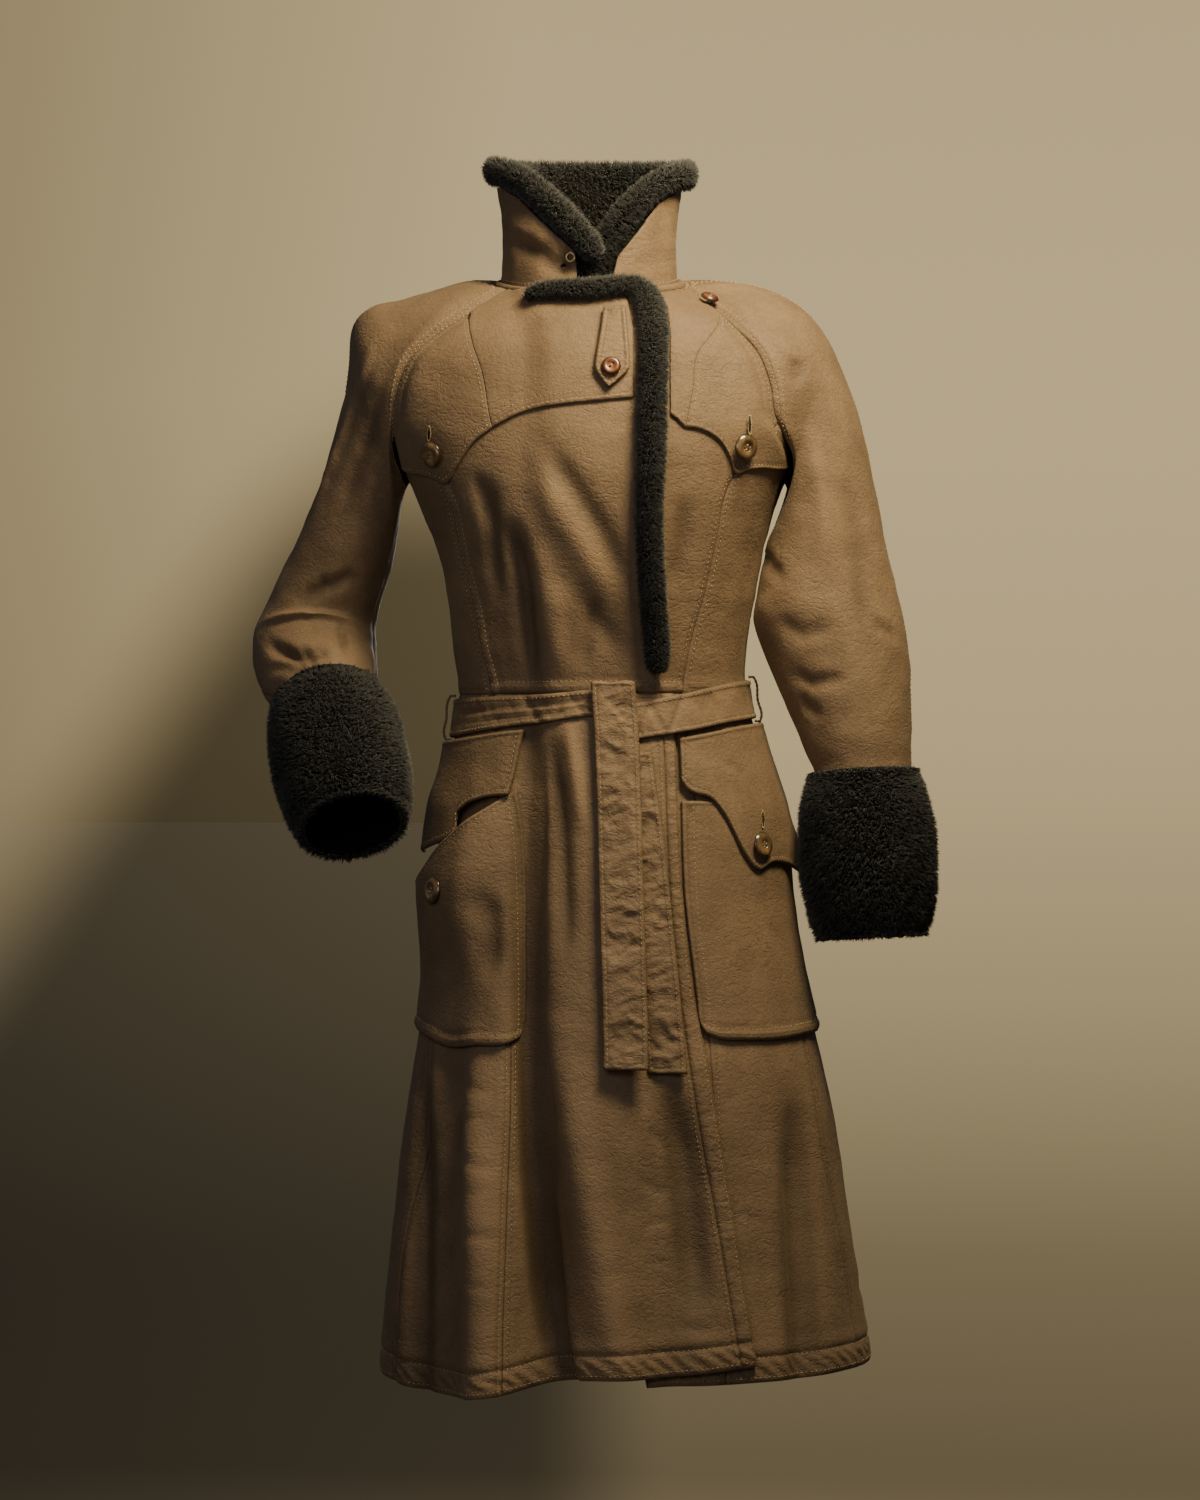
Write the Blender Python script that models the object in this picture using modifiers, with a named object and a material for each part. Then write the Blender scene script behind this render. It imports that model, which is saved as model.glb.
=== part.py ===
"""Shearling coat with a stand collar, fur cuffs and a tie belt, filled out as it is when worn.

Metres, +Z up. The front faces -Y and the wearer's left side is +X.
The origin is the middle of the neck, level with the shoulder line that carries the coat.
Names say right and left as the wearer would. The right front laps over the left one.
"""

import math

import bmesh
import bpy
import numpy as np
from mathutils import Matrix

# Driving sizes.
SEAM = 0.0003  # gap between two pieces sewn edge to edge
REST = 0.0012  # gap under a piece that lies on another
HIDE = 0.005  # wall of the shearling: skin and clipped wool
SKIN = 0.003  # wall of flaps, pockets, yokes, collar and belt
LAP = HIDE + 2 * REST  # how far the right front stands proud where it laps over the left
HEM = -1.075
WAIST = -0.405
UNDERARM = -0.186
NECK_TILT = (0.004, 0.018)  # the neckline's mean height, and how far it falls to the front
BUTTON_WIDE = 0.026
BUTTON_SMALL = 0.019
BELT_END_WIDTH = 0.043
TRIM_DEPTH = 0.014
ROLL_DEPTH = 0.022
CUFF_LENGTH = 0.169
CUFF_BORE = 0.050  # the radius inside the fur

# The body's rings, hem to neckline: half the width, the middle, the depths and how square the ring is.
BODY_COLUMNS = ("height", "half_width", "middle", "front", "back", "square")
BODY = (
    (-1.100, 0.2490, 0.0315, 0.199, 0.207, 2.00),
    (-1.010, 0.2385, 0.0270, 0.190, 0.199, 2.00),
    (-0.910, 0.2255, 0.0240, 0.180, 0.190, 2.00),
    (-0.810, 0.2115, 0.0225, 0.170, 0.180, 2.00),
    (-0.710, 0.193, 0.0190, 0.158, 0.169, 2.00),
    (-0.610, 0.179, 0.0140, 0.145, 0.157, 2.00),
    (-0.520, 0.168, 0.0145, 0.131, 0.138, 2.00),
    (-0.450, 0.1515, 0.0090, 0.116, 0.115, 2.00),
    (-0.405, 0.1435, 0.0055, 0.108, 0.103, 2.00),
    (-0.360, 0.1470, 0.0030, 0.114, 0.107, 2.05),
    (-0.310, 0.1530, 0.0035, 0.124, 0.115, 2.10),
    (-0.270, 0.160, 0.0030, 0.131, 0.123, 2.20),
    (-0.230, 0.172, 0.0010, 0.136, 0.130, 2.30),
    (-0.186, 0.189, 0.0000, 0.138, 0.134, 2.35),
    (-0.140, 0.211, 0.0000, 0.134, 0.134, 2.35),
    (-0.100, 0.214, 0.0000, 0.126, 0.131, 2.35),
    (-0.065, 0.201, -0.0010, 0.116, 0.124, 2.35),
    (-0.030, 0.157, -0.0035, 0.101, 0.108, 2.20),
    (-0.012, 0.119, -0.0055, 0.092, 0.096, 2.10),
    (0.000, 0.094, -0.0070, 0.086, 0.088, 2.00),
)

# How high the hem hangs, by angle: the lapping front first, then the rest of the way round.
HEM_COLUMNS = ("angle", "height")
HEM_LAP = ((-180, -1.0750), (-77, -1.0796), (-63, -1.0840), (-50, -1.0850), (-34, -1.0768), (-26, -1.0680),
           (-11, -1.0600), (2, -1.0595), (19, -1.0560), (34, -1.0510))
HEM_REST = ((-180, -1.0750), (-125, -1.0730), (-77, -1.0796), (0, -1.0680), (28, -1.0665), (65, -1.0650),
            (100, -1.0680), (140, -1.0760), (180, -1.0750))

# Hanging folds of the skirt: the angle of each at the waist and hem, its spread, and how far it stands out.
FOLD_COLUMNS = ("waist_angle", "hem_angle", "spread", "out", "starts")
FOLDS = (
    (-31.0, -23.0, 7.0, -0.024, -0.44),
    (-44.0, -38.0, 10.0, 0.015, -0.76),
    (-66.0, -56.0, 9.0, -0.012, -0.66),
    (-8.0, -8.0, 11.0, 0.008, -0.55),
    (6.0, 12.0, 7.0, -0.007, -0.72),
    (52.0, 50.0, 12.0, 0.006, -0.80),
    (118.0, 114.0, 12.0, -0.012, -0.56),
    (142.0, 140.0, 11.0, 0.010, -0.52),
    (166.0, 163.0, 10.0, -0.011, -0.60),
    (-120.0, -117.0, 13.0, -0.011, -0.62),
    (-147.0, -144.0, 12.0, 0.011, -0.50),
    (-170.0, -172.0, 9.0, -0.009, -0.66),
)

# Seams as heights and angles round the body from the centre front.
PRINCESS_LEFT = ((-0.405, 41), (-0.360, 43.5), (-0.310, 46.5), (-0.260, 48.3), (-0.204, 50), (-0.168, 57),
                 (-0.140, 65))
PRINCESS_RIGHT = ((-0.405, 57), (-0.345, 59), (-0.280, 61), (-0.204, 59.5), (-0.168, 66), (-0.140, 75))
SKIRT_PRINCESS_LEFT = ((-1.100, 27), (-0.900, 29.5), (-0.740, 31.5), (-0.550, 35), (-0.405, 41))
SKIRT_PRINCESS_RIGHT = ((-1.100, 33.5), (-0.900, 34.5), (-0.750, 37), (-0.550, 46), (-0.405, 57))
SKIRT_SIDE = ((-1.100, 73), (-0.950, 73), (-0.850, 70.5), (-0.750, 71), (-0.550, 80), (-0.405, 90))
RAGLAN_LEFT = ((-0.186, 90), (-0.179, 83), (-0.168, 76), (-0.156, 70), (-0.140, 65), (-0.100, 63),
               (-0.065, 62.5), (-0.030, 64.0), (-0.012, 69), (0.000, 75))
RAGLAN_RIGHT = ((-0.186, 90), (-0.179, 87), (-0.168, 83), (-0.156, 79), (-0.140, 75), (-0.100, 71.5),
                (-0.065, 69), (-0.030, 64.0), (-0.012, 62.5), (0.000, 62))
RAGLAN_BACK = ((-0.186, 90), (-0.179, 94), (-0.168, 99), (-0.156, 103), (-0.140, 108), (-0.100, 117),
               (-0.065, 121), (-0.030, 120), (-0.012, 119), (0.000, 118))
NECK_POINT_ANGLE = 94
RAGLAN_HEIGHTS = tuple(height for height, _ in RAGLAN_LEFT)
SIDES = (
    {"name": "left", "sign": 1, "princess": PRINCESS_LEFT, "skirt": SKIRT_PRINCESS_LEFT, "raglan": RAGLAN_LEFT},
    {"name": "right", "sign": -1, "princess": PRINCESS_RIGHT, "skirt": SKIRT_PRINCESS_RIGHT, "raglan": RAGLAN_RIGHT},
)
JUNCTION = 4  # which raglan height the princess seam runs into

# Edges as heights and distances from the body's middle line, +X to the wearer's left.
LAP_EDGE = ((-1.100, 0.1460), (-1.052, 0.1366), (-0.986, 0.1254), (-0.891, 0.1094), (-0.772, 0.0888),
            (-0.701, 0.0790), (-0.620, 0.0705), (-0.557, 0.0668), (-0.456, 0.0636), (-0.405, 0.0600),
            (-0.330, 0.0570), (-0.230, 0.0540), (-0.110, 0.0570), (-0.050, 0.0560), (0.0, 0.0380))
BAND_EDGE = ((-1.100, 0.1600), (-1.050, 0.1510), (-0.892, 0.1265), (-0.780, 0.1080), (-0.701, 0.0930),
             (-0.586, 0.0800), (-0.405, 0.0745))
UNDER_REACH = 0.090  # how far the hidden left front runs on behind the lap
LAP_RAMP = (0.040, 0.008)

# Sleeves: the outer and the inner point of each section, and half its depth.
SECTION_COLUMNS = ("outer_x", "outer_y", "outer_z", "inner_x", "inner_y", "inner_z", "half_depth")
LEFT_SLEEVE = (
    (0.094, 0.005, 0.008, 0.189, 0.000, -0.186, 0.074),
    (0.126, 0.004, 0.012, 0.190, 0.000, -0.193, 0.073),
    (0.156, 0.003, 0.007, 0.191, 0.000, -0.201, 0.072),
    (0.185, 0.002, -0.003, 0.191, -0.001, -0.209, 0.070),
    (0.212, 0.001, -0.022, 0.188, -0.002, -0.218, 0.068),
    (0.232, 0.000, -0.052, 0.182, -0.003, -0.228, 0.066),
    (0.250, -0.002, -0.095, 0.175, -0.004, -0.241, 0.064),
    (0.265, -0.004, -0.143, 0.169, -0.005, -0.256, 0.063),
    (0.276, -0.006, -0.192, 0.1648, -0.007, -0.276, 0.063),
    (0.286, -0.009, -0.243, 0.1600, -0.010, -0.301, 0.063),
    (0.296, -0.013, -0.293, 0.1560, -0.014, -0.330, 0.064),
    (0.307, -0.018, -0.340, 0.166, -0.019, -0.362, 0.063),
    (0.311, -0.024, -0.385, 0.181, -0.025, -0.399, 0.060),
    (0.312, -0.030, -0.427, 0.197, -0.031, -0.436, 0.055),
    (0.3115, -0.0355, -0.462, 0.2095, -0.0365, -0.4665, 0.0505),
    (0.3107, -0.0378, -0.4765, 0.2163, -0.0382, -0.4805, 0.0472),
    (0.3105, -0.0386, -0.4877, 0.2177, -0.0390, -0.4923, 0.0464),
)
RIGHT_SLEEVE = (
    (-0.094, 0.005, 0.010, -0.189, 0.000, -0.186, 0.074),
    (-0.128, 0.006, 0.014, -0.190, 0.001, -0.193, 0.073),
    (-0.160, 0.010, 0.004, -0.192, 0.003, -0.201, 0.072),
    (-0.192, 0.016, -0.006, -0.194, 0.006, -0.208, 0.071),
    (-0.224, 0.024, -0.014, -0.196, 0.009, -0.216, 0.069),
    (-0.245, 0.032, -0.036, -0.198, 0.013, -0.225, 0.066),
    (-0.251, 0.038, -0.084, -0.200, 0.018, -0.236, 0.063),
    (-0.263, 0.044, -0.136, -0.203, 0.024, -0.250, 0.060),
    (-0.281, 0.052, -0.194, -0.207, 0.032, -0.266, 0.058),
    (-0.303, 0.061, -0.250, -0.213, 0.042, -0.285, 0.057),
    (-0.329, 0.071, -0.302, -0.220, 0.050, -0.306, 0.056),
    (-0.347, 0.074, -0.343, -0.226, 0.049, -0.330, 0.055),
    (-0.346, 0.060, -0.375, -0.225, 0.036, -0.350, 0.055),
    (-0.337, 0.030, -0.400, -0.222, 0.022, -0.371, 0.053),
    (-0.3240, 0.0010, -0.4064, -0.2225, 0.0150, -0.3865, 0.0485),
    (-0.3164, -0.0064, -0.4141, -0.2252, 0.0052, -0.3995, 0.0465),
    (-0.3130, -0.0130, -0.4223, -0.2242, -0.0016, -0.4081, 0.0455),
)
SLEEVE_SETTLES = 6  # sections over which the sleeve leaves the shape of its raglan seam

# Cuffs: the middle of the top, and the way the arm points.
CUFF_LEFT = {"top": (0.2635, -0.0380, -0.4782), "along": (0.050, -0.070, -1.0), "out": (1, 0, 0)}
CUFF_RIGHT = {"top": (-0.2710, 0.0000, -0.4060), "along": (0.200, -0.610, -0.766), "out": (-1, 0, 0)}
CUFF_COLUMNS = ("along", "outer")
CUFF_PROFILE = ((0.00, 0.0540), (0.03, 0.0592), (0.10, 0.0645), (0.25, 0.0676), (0.50, 0.0680), (0.75, 0.0662),
                (0.90, 0.0628), (0.97, 0.0580), (1.00, 0.0532))

# The collar: its middle, radii by height, and the path and half width of the fur roll round its edge, from the
# left front over the back to the right front.
COLLAR_MIDDLE = -0.0075
COLLAR_COLUMNS = ("height", "half_width", "front", "back")
COLLAR = ((-0.020, 0.0890, 0.0835, 0.0865), (0.030, 0.0875, 0.0835, 0.0850), (0.080, 0.0875, 0.0850, 0.0850),
          (0.130, 0.0890, 0.0870, 0.0870))
ROLL_COLUMNS = ("angle", "height", "flare", "half_width", "out")
ROLL = ((6, 0.018, 0.000, 0.0125, -0.0190), (12, 0.035, 0.000, 0.0150, -0.0170), (19, 0.049, 0.000, 0.0162, -0.014),
        (27, 0.064, 0.000, 0.0170, -0.0100), (37, 0.080, 0.001, 0.0170, -0.0060), (51, 0.097, 0.004, 0.0162, -0.0040),
        (64, 0.106, 0.012, 0.0158, -0.0040), (78, 0.1115, 0.016, 0.0155, -0.004), (92, 0.117, 0.011, 0.0142, -0.0040),
        (112, 0.122, 0.004, 0.0130, -0.004), (146, 0.127, 0.001, 0.0130, -0.0040), (180, 0.129, 0.000, 0.0130, -0.0040),
        (214, 0.127, 0.001, 0.0130, -0.004), (248, 0.122, 0.004, 0.0132, -0.0040), (268, 0.1195, 0.010, 0.0145, -0.004),
        (282, 0.1160, 0.013, 0.0155, -0.004), (294, 0.111, 0.008, 0.0160, -0.0040), (309, 0.102, 0.003, 0.0165, -0.0040),
        (324, 0.086, 0.001, 0.0170, -0.0030), (341, 0.064, 0.000, 0.0166, -0.0010), (357, 0.040, 0.000, 0.0150, 0.0030),
        (365, 0.020, 0.000, 0.0130, 0.0045))
STAND_FRONTS = (13, 352)  # where the stand's front edges meet the neckline

# Pieces that lie on the front: outlines as distances across and heights.
YOKE_SEAM_RIGHT = ((-0.148, 39.0), (-0.0779, 47.3), (-0.050, 53.5), (-0.0307, 59.2))
YOKE_SEAM_LEFT = ((-0.148, 33.5), (-0.110, 37.5), (-0.0714, 42.4), (-0.0340, 58.8))
YOKE_HEM_RIGHT = ((-0.0731, -0.1346), (-0.0352, -0.1284), (0.0030, -0.1246), (0.0345, -0.1220))
FLAP_HEM_LEFT = ((0.0956, -0.1490), (0.1090, -0.1540), (0.1185, -0.1610), (0.1270, -0.1740), (0.1364, -0.1916),
                 (0.1461, -0.1871), (0.1600, -0.1845))
FLAP_HEM_RIGHT = ((-0.1069, -0.1526), (-0.1171, -0.1600), (-0.1240, -0.1680), (-0.1364, -0.1864),
                  (-0.1470, -0.2000), (-0.1580, -0.1950), (-0.1690, -0.1900))
POCKET_LEFT_FRONT = ((0.1035, -0.7335), (0.0985, -0.7240), (0.0960, -0.7015), (0.0885, -0.6450), (0.0828, -0.5860),
                     (0.0812, -0.5400), (0.0805, -0.5100))
POCKET_LEFT_BASE = ((0.1150, -0.7385), (0.1420, -0.7414), (0.1730, -0.7424), (0.2023, -0.7405))
POCKET_RIGHT_FRONT = ((-0.0735, -0.7375), (-0.0672, -0.7265), (-0.0650, -0.7023), (-0.0655, -0.6500),
                      (-0.0665, -0.6059), (-0.0715, -0.5450), (-0.0775, -0.4975))
POCKET_RIGHT_BASE = ((-0.0850, -0.7440), (-0.1142, -0.7471), (-0.1463, -0.7500), (-0.1642, -0.7430))
POCKET_RIGHT_MOUTH = ((-0.0870, -0.5060), (-0.1060, -0.5255), (-0.1267, -0.5461), (-0.1420, -0.5640))
FLAP_LEFT_HEM = ((0.0795, -0.4925), (0.0870, -0.5015), (0.1073, -0.5088), (0.1194, -0.5231), (0.1296, -0.5422),
                 (0.1399, -0.5624), (0.1541, -0.5783), (0.1647, -0.5718))
FLAP_RIGHT_HEM = ((-0.0824, -0.5053), (-0.1053, -0.5092), (-0.1186, -0.5150), (-0.1266, -0.5230),
                  (-0.1300, -0.5440))
TAB = ((0.0050, 0.0262, -0.0255), (0.0020, 0.0290, -0.0560), (-0.0010, 0.0304, -0.0920), (0.0090, 0.0200, -0.1090))

LEATHER = (0.36, 0.235, 0.125)
FUR = (0.032, 0.030, 0.027)
HORN = (0.45, 0.33, 0.16)
NUT = (0.22, 0.075, 0.030)
BRASS = (0.40, 0.30, 0.18)


# ---------------------------------------------------------------- curves and surfaces

def column(table, names, name):
    """One named column of a table."""
    return np.array([row[names.index(name)] for row in table], float)


def smooth(keys, values, at):
    """A cubic through the rows, with the slope at each row set by its neighbours. The keys rise."""
    keys, values = np.asarray(keys, float), np.asarray(values, float)
    slope = np.gradient(values, keys)
    at = np.clip(np.asarray(at, float), keys[0], keys[-1])
    i = np.clip(np.searchsorted(keys, at) - 1, 0, len(keys) - 2)
    span = keys[i + 1] - keys[i]
    t = (at - keys[i]) / span
    rise = values[i] * (1 + 2 * t) * (1 - t) ** 2 + slope[i] * span * t * (1 - t) ** 2
    return rise + values[i + 1] * t * t * (3 - 2 * t) + slope[i + 1] * span * t * t * (t - 1)


def ease(t):
    """From 0 to 1 with flat ends."""
    t = np.clip(t, 0, 1)
    return t * t * (3 - 2 * t)


def seam(table, height):
    """The angle of a seam at a height."""
    rows = np.array(sorted(table), float)
    return smooth(rows[:, 0], rows[:, 1], height)


def skirt_folds(angle, height):
    """How far the hanging folds push the skirt out: one bell-shaped ridge or trough for each row."""
    out = np.zeros(np.broadcast(angle, height).shape)
    for at_waist, at_hem, spread, reach, starts in FOLDS:
        share = np.clip((WAIST - height) / (WAIST - HEM), 0, 1)
        centre = at_waist + (at_hem - at_waist) * share
        turn = (angle - centre + 180) % 360 - 180
        out = out + reach * ease((starts - height) / 0.35 + 0.25) * np.exp(-((turn / spread) ** 2))
    return out * ease((WAIST - 0.03 - height) / 0.06)


def body(angle, height):
    """The coat's outer face: rings that follow the body table, with the skirt's folds. Angles are in degrees."""
    angle, height = np.broadcast_arrays(np.asarray(angle, float), np.asarray(height, float))
    keys = column(BODY, BODY_COLUMNS, "height")
    half, middle, front, back, square = (
        smooth(keys, column(BODY, BODY_COLUMNS, name), height) for name in BODY_COLUMNS[1:]
    )
    sine, cosine = np.sin(np.radians(angle)), np.cos(np.radians(angle))
    depth = np.where(cosine > 0, front, back)
    radius = (np.abs(sine / half) ** square + np.abs(cosine / depth) ** square) ** (-1 / square)
    radius = radius + skirt_folds(angle, height)
    mean, fall = NECK_TILT
    lift = (mean - fall * cosine) * ease((height + 0.10) / 0.10)
    return np.stack([middle + radius * sine, -radius * cosine, height + lift], -1)


def collar(angle, height, flared=0.35):
    """The collar's outer face by angle and height, flared by this share at its two corners."""
    angle, height = np.broadcast_arrays(np.asarray(angle, float), np.asarray(height, float))
    keys = column(COLLAR, COLLAR_COLUMNS, "height")
    half, front, back = (smooth(keys, column(COLLAR, COLLAR_COLUMNS, n), height) for n in COLLAR_COLUMNS[1:])
    flare = smooth(column(ROLL, ROLL_COLUMNS, "angle"), column(ROLL, ROLL_COLUMNS, "flare"), (angle - 8) % 360 + 8)
    sine, cosine = np.sin(np.radians(angle)), np.cos(np.radians(angle))
    depth = np.where(cosine > 0, front, back)
    radius = ((sine / half) ** 2 + (cosine / depth) ** 2) ** -0.5 + flared * flare * ease((height - 0.05) / 0.06)
    return np.stack([COLLAR_MIDDLE + radius * sine, -radius * cosine, height], -1)


def hem_height(table, angle):
    """How high the hem hangs at an angle."""
    return smooth(column(table, HEM_COLUMNS, "angle"), column(table, HEM_COLUMNS, "height"), angle)


def normals(surface, u, v, du=0.4, dv=0.002):
    """Unit normals of a surface, pointing out, from differences either side of each point."""
    across = surface(u + du, v) - surface(u - du, v)
    up = surface(u, v + dv) - surface(u, v - dv)
    out = np.cross(across, up)
    return out / np.linalg.norm(out, axis=-1, keepdims=True)


def angle_at(across, height):
    """The angle on the body's front half where it is this far across."""
    across, height = np.broadcast_arrays(np.asarray(across, float), np.asarray(height, float))
    turns = np.linspace(-100, 100, 401)
    found = [np.interp(x, body(turns, h)[:, 0], turns) for x, h in zip(across.ravel(), height.ravel())]
    return np.array(found).reshape(across.shape)


def edge_x(height):
    """How far across the lapping front edge lies."""
    rows = np.array(LAP_EDGE)
    return smooth(rows[:, 0], rows[:, 1], height)


def band_x(height):
    """How far across the outer edge of the skirt's band lies."""
    rows = np.array(BAND_EDGE)
    return smooth(rows[:, 0], rows[:, 1], height)


def lap_lift(angle, height):
    """How far the right front is lifted to clear the left one behind it."""
    hidden = edge_x(height) - UNDER_REACH
    wide, near = LAP_RAMP
    return LAP * ease((body(angle, height)[..., 0] - (hidden - wide)) / (wide - near))


# ---------------------------------------------------------------- meshes

def finish(name, points, faces, material):
    """A named mesh object from points and faces."""
    mesh = bpy.data.meshes.new(name)
    mesh.from_pydata([tuple(map(float, p)) for p in points], [], [tuple(map(int, f)) for f in faces])
    mesh.materials.append(material)
    mesh.shade_smooth()
    made = bpy.data.objects.new(name, mesh)
    COAT.objects.link(made)
    return made


def grid_faces(rows, columns, start=0, flip=False, around=False):
    """The quads of a grid of points, or of a ring of columns where it goes around."""
    faces = []
    for i in range(rows - 1):
        for j in range(columns if around else columns - 1):
            k = (j + 1) % columns
            a, b = start + i * columns + j, start + i * columns + k
            c, d = b + columns, a + columns
            faces.append((a, d, c, b) if flip else (a, b, c, d))
    return faces


def wall(name, outer, inner, material):
    """A closed wall between two grids of points of the same size, rows going up and columns to the wearer's left."""
    rows, columns = outer.shape[:2]
    back = rows * columns
    rim = [i * columns for i in range(rows)] + [(rows - 1) * columns + j for j in range(1, columns)]
    rim += [i * columns + columns - 1 for i in range(rows - 2, -1, -1)] + list(range(columns - 2, 0, -1))
    faces = grid_faces(rows, columns) + grid_faces(rows, columns, back, flip=True)
    for a, b in zip(rim, rim[1:] + rim[:1]):
        faces.append((a, b, b + back, a + back))
    return finish(name, np.concatenate([outer.reshape(-1, 3), inner.reshape(-1, 3)]), faces, material)


def tube(name, rings, material):
    """A closed solid through rings of points, each turning the same way, with flat ends."""
    count, sides = rings.shape[:2]
    faces = grid_faces(count, sides, around=True)
    faces.append(tuple(range(sides))[::-1])
    faces.append(tuple((count - 1) * sides + j for j in range(sides)))
    return finish(name, rings.reshape(-1, 3), faces, material)


def drawn_in(points, distance):
    """The grid with its four edges moved in by this much, along the grid and square to each edge."""
    def step(edge, beside):
        along = np.gradient(edge, axis=0)
        along /= np.linalg.norm(along, axis=1, keepdims=True)
        across = beside - edge
        across = across - along * (across * along).sum(axis=1, keepdims=True)
        return across * distance / np.linalg.norm(across, axis=1, keepdims=True)

    moved = points.copy()
    moved[0] += step(points[0], points[1])
    moved[-1] += step(points[-1], points[-2])
    moved[:, 0] += step(points[:, 0], points[:, 1])
    moved[:, -1] += step(points[:, -1], points[:, -2])
    return moved


def filled(bottom, top, left, right):
    """Surface coordinates between four edges: each is a row of (u, v), and their ends meet."""
    bottom, top, left, right = (np.asarray(edge, float) for edge in (bottom, top, left, right))
    s = np.linspace(0, 1, len(bottom))[None, :, None]
    t = np.linspace(0, 1, len(left))[:, None, None]
    corners = (1 - t) * ((1 - s) * left[0] + s * right[0]) + t * ((1 - s) * left[-1] + s * right[-1])
    return (1 - t) * bottom[None] + t * top[None] + (1 - s) * left[:, None] + s * right[:, None] - corners


def cloth(name, surface, edges, thickness, material, lift=0.0):
    """A cloth piece: the wall between four edges on a surface, its outer face lifted off that surface."""
    flat = filled(*edges)
    u, v = flat[..., 0], flat[..., 1]
    place, out = surface(u, v), normals(surface, u, v)
    raised = (lift(u, v) if callable(lift) else np.full(u.shape, lift))[..., None]
    outer = drawn_in(place + out * raised, SEAM * 0.75)
    inner = drawn_in(place + out * (raised - thickness), SEAM * 0.75)
    return wall(name, outer, inner, material)


def line(start, end, count):
    """Points evenly along a straight line in surface coordinates."""
    return np.linspace(np.array(start, float), np.array(end, float), count)


def plain_material(name, colour, roughness, metallic=0.0):
    """A Principled material of one colour."""
    material = bpy.data.materials.new(name)
    material.use_nodes = True
    shader = material.node_tree.nodes["Principled BSDF"]
    shader.inputs["Base Color"].default_value = (*colour, 1.0)
    shader.inputs["Roughness"].default_value = roughness
    shader.inputs["Metallic"].default_value = metallic
    return material


# ---------------------------------------------------------------- bodice

def mirrored(points):
    """Surface coordinates on the other side of the body."""
    points = np.array(points, float)
    points[..., 0] *= -1
    return points


def on_side(edges, sign):
    """A piece's four edges, given for the left side, put on the side of this sign."""
    if sign > 0:
        return edges
    bottom, top, left, right = edges
    return mirrored(bottom)[::-1], mirrored(top)[::-1], mirrored(right), mirrored(left)


def raglan_rows(table, first, last):
    """Points along one half of a raglan seam, underarm upwards."""
    heights = np.array(RAGLAN_HEIGHTS[first:last])
    return np.stack([seam(table, heights), heights], -1)


def build_bodice():
    """Fronts, side panels and backs from the waist seam to the neckline and the raglan seams."""
    rows = 8
    for side in SIDES:
        name, sign = side["name"], side["sign"]
        heights = np.linspace(WAIST, RAGLAN_HEIGHTS[JUNCTION], rows)
        princess = np.stack([seam(side["princess"], heights), heights], -1)
        outer_edge = np.concatenate([princess, raglan_rows(side["raglan"], JUNCTION, None)[1:]])
        heights = outer_edge[:, 1] + 0.0
        if sign > 0:
            across, columns, lift = edge_x(heights) - UNDER_REACH, 9, 0.0
        else:
            across, columns, lift = edge_x(heights), 12, lap_lift
        middle = np.stack([angle_at(across, heights) * sign, heights], -1)
        front = (line(middle[0], outer_edge[0], columns), line(middle[-1], outer_edge[-1], columns), middle,
                 outer_edge)
        cloth(f"bodice_front_{name}", body, on_side(front, sign), HIDE, SUEDE, lift)

        side_seam = line((90, WAIST), (90, UNDERARM), rows)
        top = raglan_rows(side["raglan"], 0, JUNCTION + 1)[::-1]
        panel = (line(princess[0], side_seam[0], len(top)), top, princess, side_seam)
        cloth(f"bodice_side_{name}", body, on_side(panel, sign), HIDE, SUEDE)

        back_edge = np.concatenate([side_seam, raglan_rows(RAGLAN_BACK, 0, None)[1:]])
        centre = np.stack([np.full(len(back_edge), 180.0), back_edge[:, 1]], -1)
        back = (line(back_edge[0], centre[0], 8), line(back_edge[-1], centre[-1], 8), back_edge, centre)
        cloth(f"bodice_back_{name}", body, on_side(back, sign), HIDE, SUEDE)


# ---------------------------------------------------------------- skirt

SKIRT_SHARES = (0.0, 0.09, 0.18, 0.27, 0.36, 0.45, 0.54, 0.63, 0.72, 0.81, 0.91, 1.0)  # rows, hem to waist


def hung_edge(table, angles):
    """An edge of a skirt panel, hem to waist: its angles at rows of equal share of the length there."""
    low = hem_height(table, angles(HEM))
    for _ in range(2):
        low = hem_height(table, angles(low))
    rows = low + (WAIST - low) * np.array(SKIRT_SHARES)
    return np.stack([angles(rows), rows], -1)


def hung_panel(table, left, right, columns):
    """The four edges of a skirt panel whose lower edge follows the hem."""
    bottom = line(left[0], right[0], columns)
    bottom[1:-1, 1] = hem_height(table, bottom[1:-1, 0])
    return bottom, line(left[-1], right[-1], columns), left, right


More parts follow.
